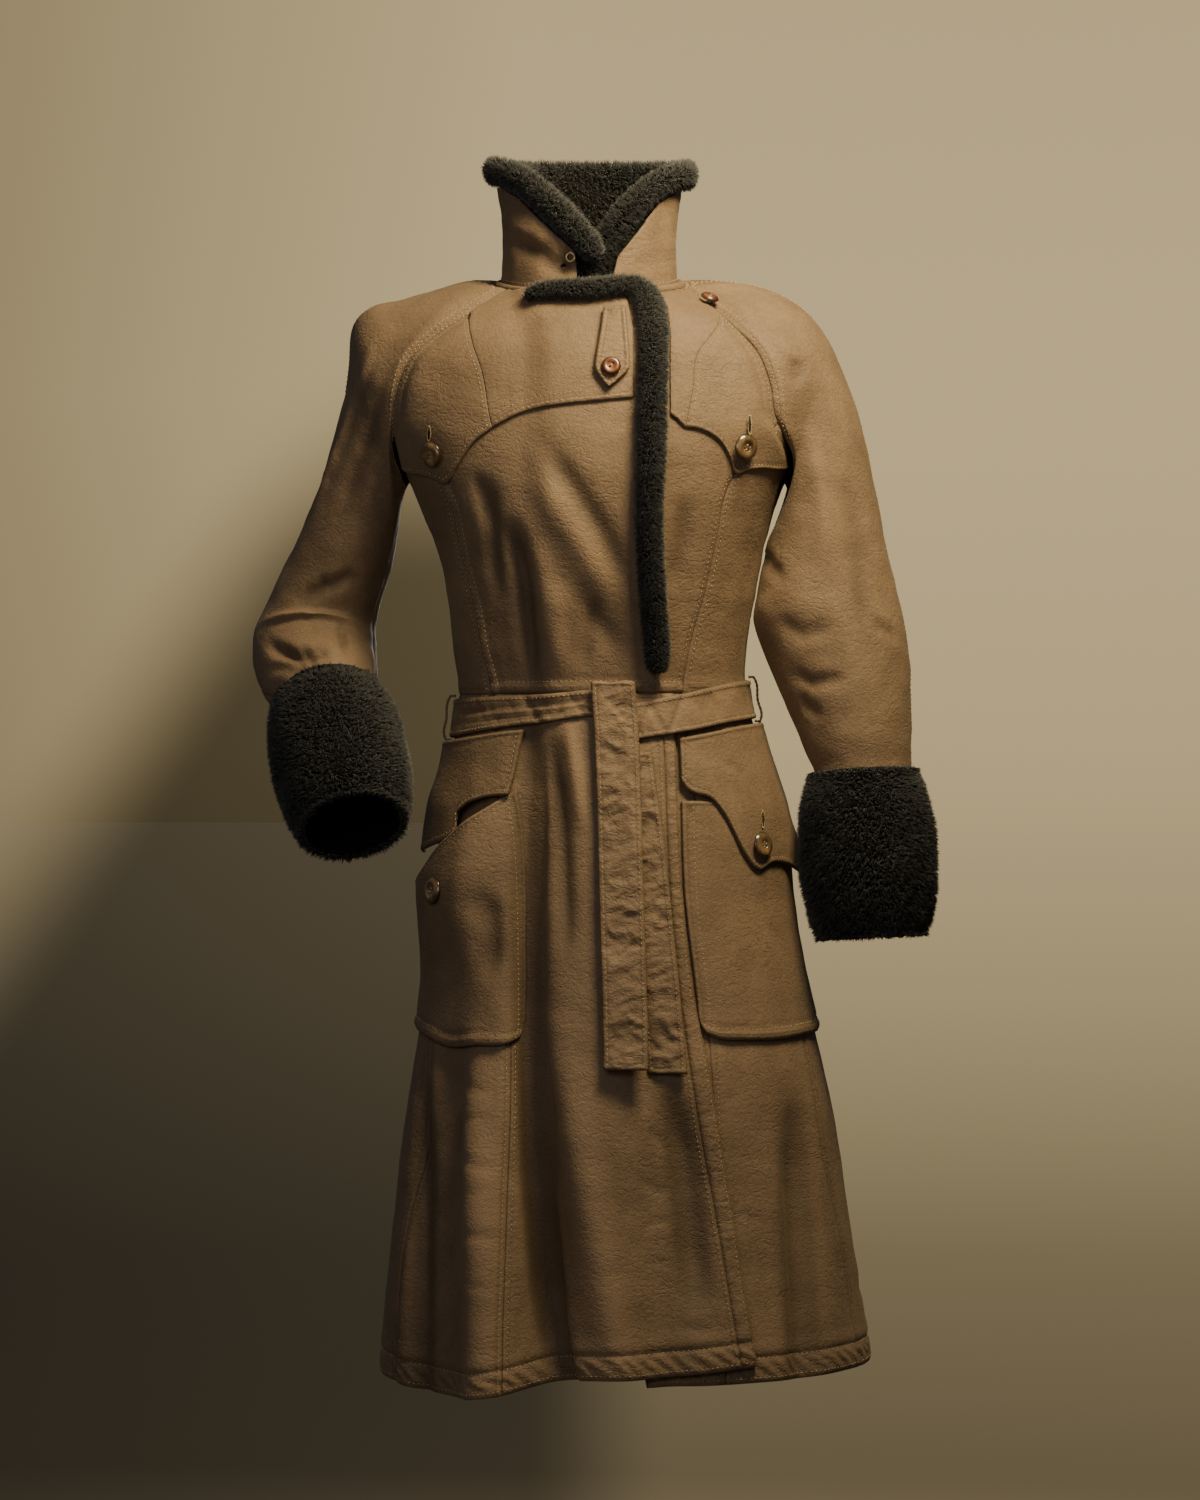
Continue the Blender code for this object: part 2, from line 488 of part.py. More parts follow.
def build_skirt():
    """Two fronts, two side panels and two backs below the waist seam, and the band along the lap."""
    def lap(rows):
        return angle_at(edge_x(rows), rows)

    def band(rows):
        return angle_at(band_x(rows), rows)

    def hidden(rows):
        return angle_at(edge_x(rows) - UNDER_REACH, rows)

    def seam_at(table, sign):
        return lambda rows: sign * seam(table, rows)

    def back(sign):
        return lambda rows: np.full(np.shape(rows), sign * 180.0)

    princess_left, princess_right = seam_at(SKIRT_PRINCESS_LEFT, 1), seam_at(SKIRT_PRINCESS_RIGHT, -1)
    side_left, side_right = seam_at(SKIRT_SIDE, 1), seam_at(SKIRT_SIDE, -1)
    pieces = (
        ("skirt_front_left", HEM_REST, hidden, princess_left, 4, 0.0),
        ("skirt_side_left", HEM_REST, princess_left, side_left, 7, 0.0),
        ("skirt_back_left", HEM_REST, side_left, back(1), 10, 0.0),
        ("skirt_back_right", HEM_REST, back(-1), side_right, 10, 0.0),
        ("skirt_side_right", HEM_LAP, side_right, princess_right, 6, 0.0),
        ("skirt_front_right", HEM_LAP, princess_right, lap, 12, lap_lift),
        ("skirt_front_band", HEM_LAP, lap, band, 2, lap_lift),
    )
    for name, table, left, right, columns, lift in pieces:
        edges = hung_panel(table, hung_edge(table, left), hung_edge(table, right), columns)
        cloth(name, body, edges, HIDE, SUEDE, lift)


# ---------------------------------------------------------------- sleeves and cuffs

def raglan_loop(side):
    """The raglan seam as points from the neck point to the underarm, front half and back half."""
    halves = []
    for table in (side["raglan"], RAGLAN_BACK):
        down = raglan_rows(table, 0, None)[::-1]
        half = np.concatenate([[(NECK_POINT_ANGLE, 0.0)], down])
        halves.append(half if side["sign"] > 0 else mirrored(half))
    return halves


def section_frames(sections):
    """Each section's middle, its way out, its way forward and half its width and depth."""
    rows = np.array(sections)
    outer, inner, depth = rows[:, 0:3], rows[:, 3:6], rows[:, 6]
    middle = (outer + inner) / 2
    along = np.gradient(middle, axis=0)
    out = outer - inner
    width = np.linalg.norm(out, axis=1, keepdims=True)
    out = out / width
    square = np.cross(out, along)
    square /= np.linalg.norm(square, axis=1, keepdims=True)
    square *= np.where(square[:, 1:2] > 0, -1, 1)
    level = np.array((0.0, -1.0, 0.0)) + out * out[:, 1:2]
    level /= np.linalg.norm(level, axis=1, keepdims=True)
    turned = ease((np.arange(len(rows)) - 8) / 4)[:, None]
    ahead = level * (1 - turned) + square * turned
    ahead /= np.linalg.norm(ahead, axis=1, keepdims=True)
    return middle, out, ahead, width[:, 0] / 2, depth


def sleeve_grids(sections, side):
    """Points and inward ways of the sleeve's front and back halves, rows along the arm, columns over to under."""
    middle, out, ahead, half_width, half_depth = section_frames(sections)
    grids = []
    for facing, loop in zip((1, -1), raglan_loop(side)):
        start, start_out = body(loop[:, 0], loop[:, 1]), normals(body, loop[:, 0], loop[:, 1])
        steps = np.concatenate([[0], np.cumsum(np.linalg.norm(np.diff(start, axis=0), axis=1))])
        turn = math.pi * steps / steps[-1]
        ring_out = np.cos(turn)[None, :, None] * out[:, None] * half_width[:, None, None]
        ring_ahead = facing * np.sin(turn)[None, :, None] * ahead[:, None] * half_depth[:, None, None]
        rings = middle[:, None] + ring_out + ring_ahead
        leaves = 1 - ease(np.arange(len(sections)) / SLEEVE_SETTLES)
        points = rings + leaves[:, None, None] * (start - rings[0])[None]
        way = ring_out / half_width[:, None, None] ** 2 + ring_ahead / half_depth[:, None, None] ** 2
        way /= np.linalg.norm(way, axis=-1, keepdims=True)
        blend = (1 - ease(np.arange(len(sections)) / 3))[:, None, None]
        way = way * (1 - blend) + start_out[None] * blend
        way /= np.linalg.norm(way, axis=-1, keepdims=True)
        grids.append((points, way))
    return grids


def build_sleeve(side, sections):
    """A raglan sleeve cut in a front and a back piece, joined over the arm and under it."""
    for name, facing, (points, way) in zip(("front", "back"), (1, -1), sleeve_grids(sections, side)):
        outer, inner = drawn_in(points, SEAM * 1.5), drawn_in(points - way * HIDE, SEAM * 1.5)
        if side["sign"] * facing > 0:
            outer, inner = outer[:, ::-1], inner[:, ::-1]
        wall(f"sleeve_{side['name']}_{name}", outer[::-1], inner[::-1], SUEDE)


def build_cuff(name, place):
    """A deep fur cuff: a tube to the reach of the fur, open at both ends."""
    along = np.array(place["along"], float)
    along /= np.linalg.norm(along)
    out = np.array(place["out"], float)
    out -= along * out.dot(along)
    out /= np.linalg.norm(out)
    ahead = np.cross(along, out)
    turn = np.linspace(0, 2 * math.pi, 16, endpoint=False)
    spoke = np.cos(turn)[:, None] * out + np.sin(turn)[:, None] * ahead
    share, outer = (column(CUFF_PROFILE, CUFF_COLUMNS, name)[:, None, None] for name in CUFF_COLUMNS)
    radius = np.concatenate([outer, np.full(outer.shape, CUFF_BORE)])
    share = np.concatenate([share, share[::-1]])
    rings = np.array(place["top"]) + along * CUFF_LENGTH * share + spoke * radius
    faces = grid_faces(len(rings), 16, around=True)
    last = (len(rings) - 1) * 16
    faces += [(last + j, last + (j + 1) % 16, (j + 1) % 16, j) for j in range(16)]
    made = finish(name, rings.reshape(-1, 3), faces, FLEECE)
    turn_out(made)


def turn_out(made):
    """Points a closed mesh's faces outwards."""
    work = bmesh.new()
    work.from_mesh(made.data)
    bmesh.ops.recalc_face_normals(work, faces=work.faces)
    work.to_mesh(made.data)
    work.free()


# ---------------------------------------------------------------- collar and fur

def roll_path(count, clear=None):
    """Angles, heights and half widths along the collar's fur roll, or along a line this far clear of its side."""
    keys, at = np.linspace(0, 1, len(ROLL)), np.linspace(0, 1, count)
    names = ("angle", "height", "half_width", "out")
    angle, height, half, out = (smooth(keys, column(ROLL, ROLL_COLUMNS, name), at) for name in names)
    if clear is not None:
        flat = np.stack([np.radians(angle) * 0.088, height], -1)
        ahead = np.gradient(flat, axis=0)
        ahead /= np.linalg.norm(ahead, axis=1, keepdims=True)
        flat = flat + np.stack([ahead[:, 1], -ahead[:, 0]], -1) * (half + clear)[:, None]
        angle, height = np.degrees(flat[:, 0] / 0.088), flat[:, 1]
    return np.stack([angle, height], -1), half, out


def build_collar():
    """The stand collar in skin, its fur inside, and the roll of fur along its edge."""
    rim = roll_path(27, 0.0014)[0]
    front = 6
    mean, fall = NECK_TILT
    bottom_angle = np.linspace(*STAND_FRONTS, len(rim) - 2 * front)
    bottom = np.stack([bottom_angle, mean - fall * np.cos(np.radians(bottom_angle)) + 0.0015], -1)
    top = rim[front: len(rim) - front]
    left_edge = np.concatenate([bottom[:1], rim[1: front + 1]])
    right_edge = np.concatenate([bottom[-1:], rim[-2: -front - 2: -1]])
    edges = (bottom, top, left_edge, right_edge)
    cloth("collar_stand", collar, edges, SKIN, SUEDE)
    cloth("collar_fur_lining", collar, edges, 0.007, FLEECE, -SKIN - 2 * SEAM)

    path, half, tuck = roll_path(33)
    place, out = collar(path[:, 0], path[:, 1], 1.0), normals(collar, path[:, 0], path[:, 1])
    rings = round_rings(place + out * tuck[:, None], out, half, ROLL_DEPTH / 2, 8)
    tube("collar_fur_roll", rings, FLEECE)


def round_rings(place, out, half_width, half_depth, sides, flat=False):
    """Oval rings along a path, or half ovals that lie flat on it, in the planes square to the path."""
    along = np.gradient(place, axis=0)
    along /= np.linalg.norm(along, axis=1, keepdims=True)
    across = np.cross(along, out)
    across /= np.linalg.norm(across, axis=1, keepdims=True)
    up = np.cross(across, along)
    half_width = np.broadcast_to(half_width, len(place))[:, None, None]
    half_depth = np.broadcast_to(half_depth, len(place))[:, None, None]
    turn = np.linspace(0, math.pi, sides) if flat else np.linspace(0, 2 * math.pi, sides, endpoint=False)
    sine = np.sin(turn)[None, :, None]
    cosine = np.cos(turn)[None, :, None]
    return place[:, None] - across[:, None] * cosine * half_width + up[:, None] * sine * half_depth


TRIM_COLUMNS = ("across", "height", "half_width")
TRIM = ((-0.068, -0.0170, 0.0065), (-0.058, -0.0135, 0.0105), (-0.0358, -0.0070, 0.0125), (-0.0095, -0.0040, 0.0127),
        (0.0130, -0.0030, 0.0128), (0.0270, -0.0035, 0.0135), (0.0385, -0.0085, 0.0150), (0.0468, -0.0200, 0.0162),
        (0.0512, -0.0375, 0.0165), (0.0528, -0.0560, 0.0164), (0.0530, -0.0800, 0.0161), (0.0520, -0.1150, 0.0160),
        (0.0507, -0.1550, 0.0160), (0.0487, -0.1994, 0.0155), (0.0474, -0.2463, 0.0150), (0.0490, -0.2936, 0.0148),
        (0.0518, -0.3318, 0.0148), (0.0538, -0.3611, 0.0145), (0.0540, -0.3830, 0.0120))


def build_trim():
    """The fur along the lapping edge of the bodice: a domed strip on the outer face."""
    across, height, half = (column(TRIM, TRIM_COLUMNS, name) for name in TRIM_COLUMNS)
    angle = angle_at(across, height)
    place, out = body(angle, height), normals(body, angle, height)
    place = place + out * (lap_lift(angle, height) + SKIN + 3.4 * REST)[:, None]
    depth = TRIM_DEPTH * np.minimum(1, half / 0.012)
    tube("front_fur_trim", round_rings(place, out, half, depth, 7, flat=True), FLEECE)


# ---------------------------------------------------------------- pieces that lie on the coat

def on_body(across_heights):
    """Surface coordinates of points given as distances across and heights."""
    points = np.array(across_heights, float)
    return np.stack([angle_at(points[:, 0], points[:, 1]), points[:, 1]], -1)


def spaced(points, count):
    """Points evenly along a chain of points."""
    points = np.asarray(points, float)
    steps = np.concatenate([[0], np.cumsum(np.linalg.norm(np.diff(points, axis=0) * (0.002, 1), axis=1))])
    at = np.linspace(0, steps[-1], count)
    return np.stack([np.interp(at, steps, points[:, k]) for k in range(2)], -1)


def yoke_seam(side, count):
    """Points along a yoke seam, hem to shoulder."""
    rows = np.array(YOKE_SEAM_LEFT if side["sign"] > 0 else YOKE_SEAM_RIGHT, float)
    heights = np.linspace(rows[0, 0], rows[-1, 0], count)
    return np.stack([side["sign"] * smooth(rows[:, 0], rows[:, 1], heights), heights], -1)


def armhole(side, heights):
    """Points just inside the raglan seam."""
    return np.stack([side["sign"] * (seam(side["raglan"], heights) - 2.6), heights], -1)


def build_yokes():
    """The front yokes and the storm flaps that button down over the princess seams."""
    raised = SKIN + 2.4 * REST

    def flap_lift(u, v):
        return raised + 0.0016 * ease((np.abs(u) - 60) / 18)

    def over_lap(u, v):
        return flap_lift(u, v) + lap_lift(u, v)

    left, right = SIDES
    outside = armhole(left, np.linspace(-0.178, -0.0335, 8))
    low = np.concatenate([yoke_seam(left, 8)[:1], on_body(FLAP_HEM_LEFT), [(70, -0.1835)], outside[:1]])
    inside = yoke_seam(left, 8)
    edges = (low, line(inside[-1], outside[-1], len(low)), inside, outside)
    cloth("storm_flap_left", body, edges, SKIN, SUEDE, flap_lift)

    outside = armhole(right, np.linspace(-0.176, -0.0310, 8))
    inside = yoke_seam(right, 8)
    low = np.concatenate([outside[:1], [(-77.5, -0.1835)], on_body(FLAP_HEM_RIGHT)[::-1], inside[:1]])
    edges = (low, line(outside[-1], inside[-1], len(low)), outside, inside)
    cloth("storm_flap_right", body, edges, SKIN, SUEDE, over_lap)

    corner = armhole(right, np.array([-0.022, -0.012, -0.004]))
    seam_edge = np.concatenate([inside, corner])
    heights = np.linspace(-0.1215, -0.004, len(seam_edge))
    across = np.interp(heights, (-0.12, -0.05, -0.020, -0.004), (0.0345, 0.0345, 0.0300, 0.0250))
    lap_side = np.stack([angle_at(across, heights), heights], -1)
    low = spaced(np.concatenate([inside[:1], on_body(YOKE_HEM_RIGHT)[:-1], lap_side[:1]]), 10)
    cloth("yoke_right", body, (low, line(seam_edge[-1], lap_side[-1], 10), seam_edge, lap_side), SKIN, SUEDE,
          over_lap)

    inside = yoke_seam(left, 8)
    corner = armhole(left, np.array([-0.022, -0.012, -0.004]))
    seam_edge = np.concatenate([inside, corner])
    heights = np.linspace(-0.136, -0.004, len(seam_edge))
    across = np.interp(heights, (-0.136, -0.05, -0.02, -0.004), (0.0710, 0.0710, 0.0680, 0.0600))
    near = np.stack([angle_at(across, heights), heights], -1)
    low = np.concatenate([near[:1], on_body(((0.0768, -0.1400),)), inside[:1]])
    cloth("yoke_left", body, (low, line(near[-1], seam_edge[-1], 3), near, seam_edge), SKIN, SUEDE, raised)


def build_pockets():
    """Patch pockets on the skirt and their shaped flaps. The right pocket is pulled open."""
    front = on_body(POCKET_LEFT_FRONT)
    base = spaced(np.concatenate([front[:1], on_body(POCKET_LEFT_BASE), [(84, -0.7395), (96, -0.7380)]]), 13)
    far = line(base[-1], (96, front[-1, 1]), len(front))
    cloth("pocket_left", body, (base, line(front[-1], far[-1], len(base)), front, far), SKIN, SUEDE,
          SKIN + 1.6 * REST)

    front = on_body(POCKET_RIGHT_FRONT)
    base = np.concatenate([front[:1], on_body(POCKET_RIGHT_BASE), [(-84, -0.7380), (-95, -0.7360)]])[::-1]
    mouth = np.concatenate([front[-1:], on_body(POCKET_RIGHT_MOUTH), [(-76, -0.5850), (-95, -0.5980)]])[::-1]
    base, mouth = spaced(base, 14), spaced(mouth, 14)
    far = line(base[0], mouth[0], len(front))

    def pulled(u, v):
        """The mouth stands away from the skirt, where a hand goes in."""
        return SKIN + 1.8 * REST + 0.020 * ease((-u - 42) / 15) * ease((97 + u) / 22) * ease((v + 0.70) / 0.12)

    cloth("pocket_right", body, (base, mouth, far, front), SKIN, SUEDE, pulled)

    lower = np.concatenate([on_body(FLAP_LEFT_HEM), [(74, -0.5730), (84, -0.5850), (96, -0.6050)]])
    upper = np.stack([np.linspace(float(angle_at(0.0785, -0.450)), 96, len(lower)), np.zeros(len(lower))], -1)
    upper[:, 1] = belt_low(upper[:, 0]) - 0.0055
    flap = (lower, upper, line(lower[0], upper[0], 5), line(lower[-1], upper[-1], 5))

    def flicked(u, v):
        """The flap's free end curls away from the pocket."""
        return 2 * SKIN + 3.0 * REST + 0.014 * ease((u - 72) / 22) * ease((-0.52 - v) / 0.07)

    cloth("pocket_flap_left", body, flap, SKIN, SUEDE, flicked)

    lower = np.concatenate([on_body(FLAP_RIGHT_HEM), [(-76, -0.5560), (-96, -0.5650)]])[::-1]
    upper = np.stack([np.linspace(-96, -38.5, len(lower)), np.zeros(len(lower))], -1)
    upper[:, 1] = belt_low(upper[:, 0]) - 0.0055
    flap = (lower, upper, line(lower[0], upper[0], 5), line(lower[-1], upper[-1], 5))

    def pushed(u, v):
        """This flap is pushed out by the open pocket below it."""
        return 2 * SKIN + 4.8 * REST + 0.005 * ease((-u - 44) / 30) * ease((-0.470 - v) / 0.05)

    cloth("pocket_flap_right", body, flap, SKIN, SUEDE, pushed)


def build_tab():
    """The pointed throat tab, buttoned down on the right yoke."""
    lift = LAP + 2 * SKIN + 3.8 * REST
    rows = [[(left, height), ((left + right) / 2, height - (0.002 if i == 3 else 0)), (right, height)]
            for i, (left, right, height) in enumerate(TAB)][::-1]
    flat = np.array([on_body(row) for row in rows])
    place, out = body(flat[..., 0], flat[..., 1]), normals(body, flat[..., 0], flat[..., 1])
    wall("throat_tab", place + out * lift, place + out * (lift - SKIN), SUEDE)


# ---------------------------------------------------------------- belt

BELT_COLUMNS = ("angle", "height", "width")
BELT = ((14, -0.4330, 0.0350), (40, -0.4235, 0.0370), (69, -0.4125, 0.0385), (90, -0.4095, 0.0385),
        (130, -0.4110, 0.0385), (180, -0.4170, 0.0385), (230, -0.4240, 0.0385), (270, -0.4285, 0.0380),
        (286, -0.4270, 0.0370), (318, -0.4215, 0.0300), (334, -0.4190, 0.0275), (350, -0.4150, 0.0260))


def belt_at(angle, name):
    """The belt's middle height or its width at an angle."""
    return smooth(column(BELT, BELT_COLUMNS, "angle"), column(BELT, BELT_COLUMNS, name), np.asarray(angle) % 360)


def belt_low(angle):
    """The height of the belt's lower edge."""
    return belt_at(angle, "height") - belt_at(angle, "width") / 2


def belt_surface(angle, share):
    """The belt's inner face: it rides on the coat and tilts round the waist; share runs across its width."""
    angle, share = np.broadcast_arrays(np.asarray(angle, float), np.asarray(share, float))
    height = belt_at(angle, "height") + (share - 0.5) * belt_at(angle, "width")
    turn = (angle + 180) % 360 - 180
    level = np.maximum(height, -0.432)
    place = body(turn, level)
    place[..., 2] = height
    out = normals(body, turn, np.full(turn.shape, WAIST))
    over = lap_lift(turn, height) * (1 - ease((place[..., 0] - 0.085) / 0.03))
    spring = np.linalg.norm(body(turn, height) - place, axis=-1)
    return place + out * (over + 2 * REST + spring)[..., None]


def build_belt():
    """The band round the waist, the end that falls over it, and the end behind."""
    angles = np.linspace(14, 350, 43)
    u, v = np.meshgrid(angles, (0.0, 0.5, 1.0))
    place = belt_surface(u, v)
    out = normals(belt_surface, u, v, 0.4, 0.05)
    wall("belt_band", place + out * SKIN, place, SUEDE)

    fall = np.array([(-0.765, 0.0276), (-0.701, 0.0267), (-0.605, 0.0238), (-0.508, 0.0213), (-0.450, 0.0193),
                     (-0.420, 0.0172), (-0.396, 0.0155)])
    build_belt_end("belt_end_front", fall, BELT_END_WIDTH, 2 * SKIN + 4 * REST, folded=True)
    behind = np.array([(-0.770, 0.0675), (-0.701, 0.0617), (-0.624, 0.0540), (-0.556, 0.0472), (-0.508, 0.0405),
                       (-0.462, 0.0345)])
    build_belt_end("belt_end_back", behind, BELT_END_WIDTH - 0.005, REST, folded=False)


def build_belt_end(name, path, width, lift, folded):
    """A hanging belt end: a strap that falls clear in front of the skirt, and folds back over the belt at its top."""
    heights, middle = path[:, 0], path[:, 1]
    across = np.linspace(-0.5, 0.5, 3)[None, :] * width + middle[:, None]
    level = np.repeat(heights[:, None], 3, 1)
    face = body(angle_at(across, level), level)
    front = face[..., 1].min(axis=1) - LAP - SKIN - lift
    front = np.minimum(front, np.interp(heights, heights[[0, -1]], front[[0, -1]]) + 0.004)
    y = np.repeat(front[:, None], 3, 1)
    outer = np.stack([across, y, level], -1)
    inner = outer + np.array((0.0, SKIN, 0.0))
    if folded:
        over = outer[-1] + np.array((0, 0.5 * SKIN, 0.5 * SKIN))
        outer = np.concatenate([outer, [over]])
        inner = np.concatenate([inner, [inner[-1] + np.array((0, 0.0035, 0.0))]])
        inner[-1] = outer[-1] + np.array((0, 0.006, -0.001))
    wall(name, outer, inner, SUEDE)


def build_belt_loops():
    """A thin carrier loop at each side seam, standing clear of the belt."""
    for side, sign in (("left", 1), ("right", -1)):
        middle = float(belt_at(sign * 90, "height"))
        route = np.array([(0.0016, 0.0225), (0.0068, 0.0222), (0.0092, 0.0180), (0.0096, 0.0), (0.0092, -0.0175),
                          (0.0068, -0.0212), (0.0016, -0.0215)])
        places = body(np.full(len(route), sign * 90.0), middle + route[:, 1])
        places[:, 0] += sign * (route[:, 0] + 0.0014)
        curve = bpy.data.curves.new(f"belt_loop_{side}", "CURVE")
        curve.dimensions = "3D"
        curve.bevel_depth = 0.0012
        curve.bevel_resolution = 1
        curve.use_fill_caps = True
        spline = curve.splines.new("POLY")
        spline.points.add(len(places) - 1)
        for point, place in zip(spline.points, places):
            point.co = (*place, 1)
        curve.materials.append(SUEDE)
        COAT.objects.link(bpy.data.objects.new(curve.name, curve))


# ---------------------------------------------------------------- buttons and hook

def build_button(name, across, height, lift, diameter, material, angle=None):
    """A turned button with a raised rim and a dished face, laid on the coat: a profile with a Screw modifier."""
    turn = float(angle_at(across, height)) if angle is None else angle
    place = body(np.array([turn]), np.array([height]))[0]
    out = normals(body, np.array([turn]), np.array([height]))[0]
    radius = diameter / 2
    profile = ((0.0, 0.0034), (0.55, 0.0034), (0.80, 0.0046), (0.95, 0.0040), (1.0, 0.0024), (0.85, 0.0008),
               (0.0, 0.0004))
    mesh = bpy.data.meshes.new(name)
    points = [(radius * share, 0.0, rise) for share, rise in profile]
    mesh.from_pydata(points, [(i, i + 1) for i in range(len(points) - 1)], [])
    mesh.materials.append(material)
    made = bpy.data.objects.new(name, mesh)
    COAT.objects.link(made)
    screw = made.modifiers.new("turned", "SCREW")
    screw.steps = screw.render_steps = 12
    screw.use_merge_vertices = True
    screw.merge_threshold = 0.0001
    base = place + out * lift
    z_axis = out
    x_axis = np.cross((0, 0, 1), z_axis)
    x_axis /= np.linalg.norm(x_axis)
    y_axis = np.cross(z_axis, x_axis)
    columns = [(*x_axis, 0), (*y_axis, 0), (*z_axis, 0), (*base, 1)]
    made.matrix_world = Matrix(columns).transposed()


def build_buttons():
    """Horn buttons on the storm flaps and pockets, nut-brown ones on the tab and the left shoulder."""
    on_flap = SKIN + 4.2 * REST
    build_button("storm_button_left", 0.1399, -0.1646, on_flap, BUTTON_WIDE, BUTTON_HORN)
    build_button("storm_button_right", -0.1558, -0.1697, on_flap, BUTTON_WIDE, BUTTON_HORN)
    build_button("throat_button", 0.0135, -0.0945, LAP + 2 * SKIN + 4.3 * REST, BUTTON_SMALL, BUTTON_NUT)
    build_button("shoulder_button", 0.1086, -0.0181, SKIN + 3.2 * REST, BUTTON_SMALL, BUTTON_NUT)
    build_button("pocket_button_left", 0.1537, -0.5539, 2 * SKIN + 3.6 * REST, BUTTON_WIDE, BUTTON_HORN)
    build_button("pocket_button_right", 0.0, -0.6000, SKIN + 2.2 * REST + 0.0190, BUTTON_WIDE, BUTTON_HORN, -64.9)


def build_hook():
    """The small hook sewn to the right end of the collar."""
    angle, height = np.array([-12.5]), np.array([0.0225])
    place, out = collar(angle, height)[0], normals(collar, angle, height)[0]
    bpy.ops.mesh.primitive_torus_add(major_segments=12, minor_segments=6, major_radius=0.0042, minor_radius=0.0010,
                                     location=tuple(place + out * 0.0020))
    made = bpy.context.active_object
    made.name = "collar_hook"
    made.data.name = "collar_hook"
    made.rotation_euler = (math.radians(90), 0, math.radians(-11))
    made.data.materials.append(HOOK_BRASS)
    for owner in list(made.users_collection):
        owner.objects.unlink(made)
    COAT.objects.link(made)


# ---------------------------------------------------------------- the coat

for old in list(bpy.data.objects):
    bpy.data.objects.remove(old)
COAT = bpy.data.collections.new("shearling_coat")
bpy.context.scene.collection.children.link(COAT)
SUEDE = plain_material("suede", LEATHER, 0.85)
FLEECE = plain_material("fur", FUR, 0.95)
BUTTON_HORN = plain_material("button_horn", HORN, 0.3)
BUTTON_NUT = plain_material("button_nut", NUT, 0.35)
HOOK_BRASS = plain_material("hook", BRASS, 0.4, 0.9)

build_bodice()
build_skirt()
build_sleeve(SIDES[0], LEFT_SLEEVE)
build_sleeve(SIDES[1], RIGHT_SLEEVE)
build_cuff("cuff_left", CUFF_LEFT)
build_cuff("cuff_right", CUFF_RIGHT)
build_collar()
build_trim()
build_yokes()
build_tab()
build_pockets()
build_belt()
build_belt_loops()
build_buttons()
build_hook()
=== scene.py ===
"""Dresses the shearling coat in suede, fur, stitching and buttons, and sets it on a plain pale stage.

Metres, +Z up. The front faces -Y and the wearer's left side is +X.
Names say right and left as the wearer would.
"""

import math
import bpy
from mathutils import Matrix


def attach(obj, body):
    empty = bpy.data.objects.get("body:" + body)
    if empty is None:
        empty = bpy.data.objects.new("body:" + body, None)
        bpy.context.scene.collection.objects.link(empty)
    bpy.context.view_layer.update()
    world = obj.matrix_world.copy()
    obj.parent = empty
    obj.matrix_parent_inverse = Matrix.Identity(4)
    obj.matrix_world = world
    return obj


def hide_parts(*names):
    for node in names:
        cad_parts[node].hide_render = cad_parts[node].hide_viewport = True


bl_info = {
    "name": "Shearling coat",
    "version": (1, 0, 0),
    "blender": (4, 5, 0),
    "location": "View3D > Sidebar > Coat",
    "description": "Builds a shearling coat with fur cuffs and a tie belt",
    "category": "Add Mesh",
}

import bpy
import mathutils
import numpy as np

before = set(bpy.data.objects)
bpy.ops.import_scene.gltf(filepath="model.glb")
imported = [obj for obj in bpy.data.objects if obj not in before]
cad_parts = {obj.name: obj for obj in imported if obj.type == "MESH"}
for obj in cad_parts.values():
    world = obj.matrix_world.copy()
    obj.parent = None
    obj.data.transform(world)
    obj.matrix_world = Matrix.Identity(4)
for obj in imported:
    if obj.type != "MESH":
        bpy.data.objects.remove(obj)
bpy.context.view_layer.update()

# Driving sizes.
SEAM = 0.0003  # gap between two pieces sewn edge to edge
REST = 0.0012  # gap under a piece that lies on another
HIDE = 0.005  # wall of the shearling: skin and clipped wool
SKIN = 0.003  # wall of flaps, pockets, yokes, collar and belt
LAP = HIDE + 2 * REST  # how far the right front stands proud where it laps over the left
HEM = -1.075  # heights of the hem at the back, the waist seam and the underarm
WAIST = -0.405
UNDERARM = -0.186
NECK_TILT = (0.004, 0.018)  # the neckline's mean height, and how far it falls to the front
BUTTON_WIDE = 0.026
BUTTON_SMALL = 0.019
BELT_END_WIDTH = 0.043
TRIM_DEPTH = 0.014
ROLL_DEPTH = 0.022
CUFF_LENGTH = 0.169
CUFF_BORE = 0.05  # the radius inside the fur

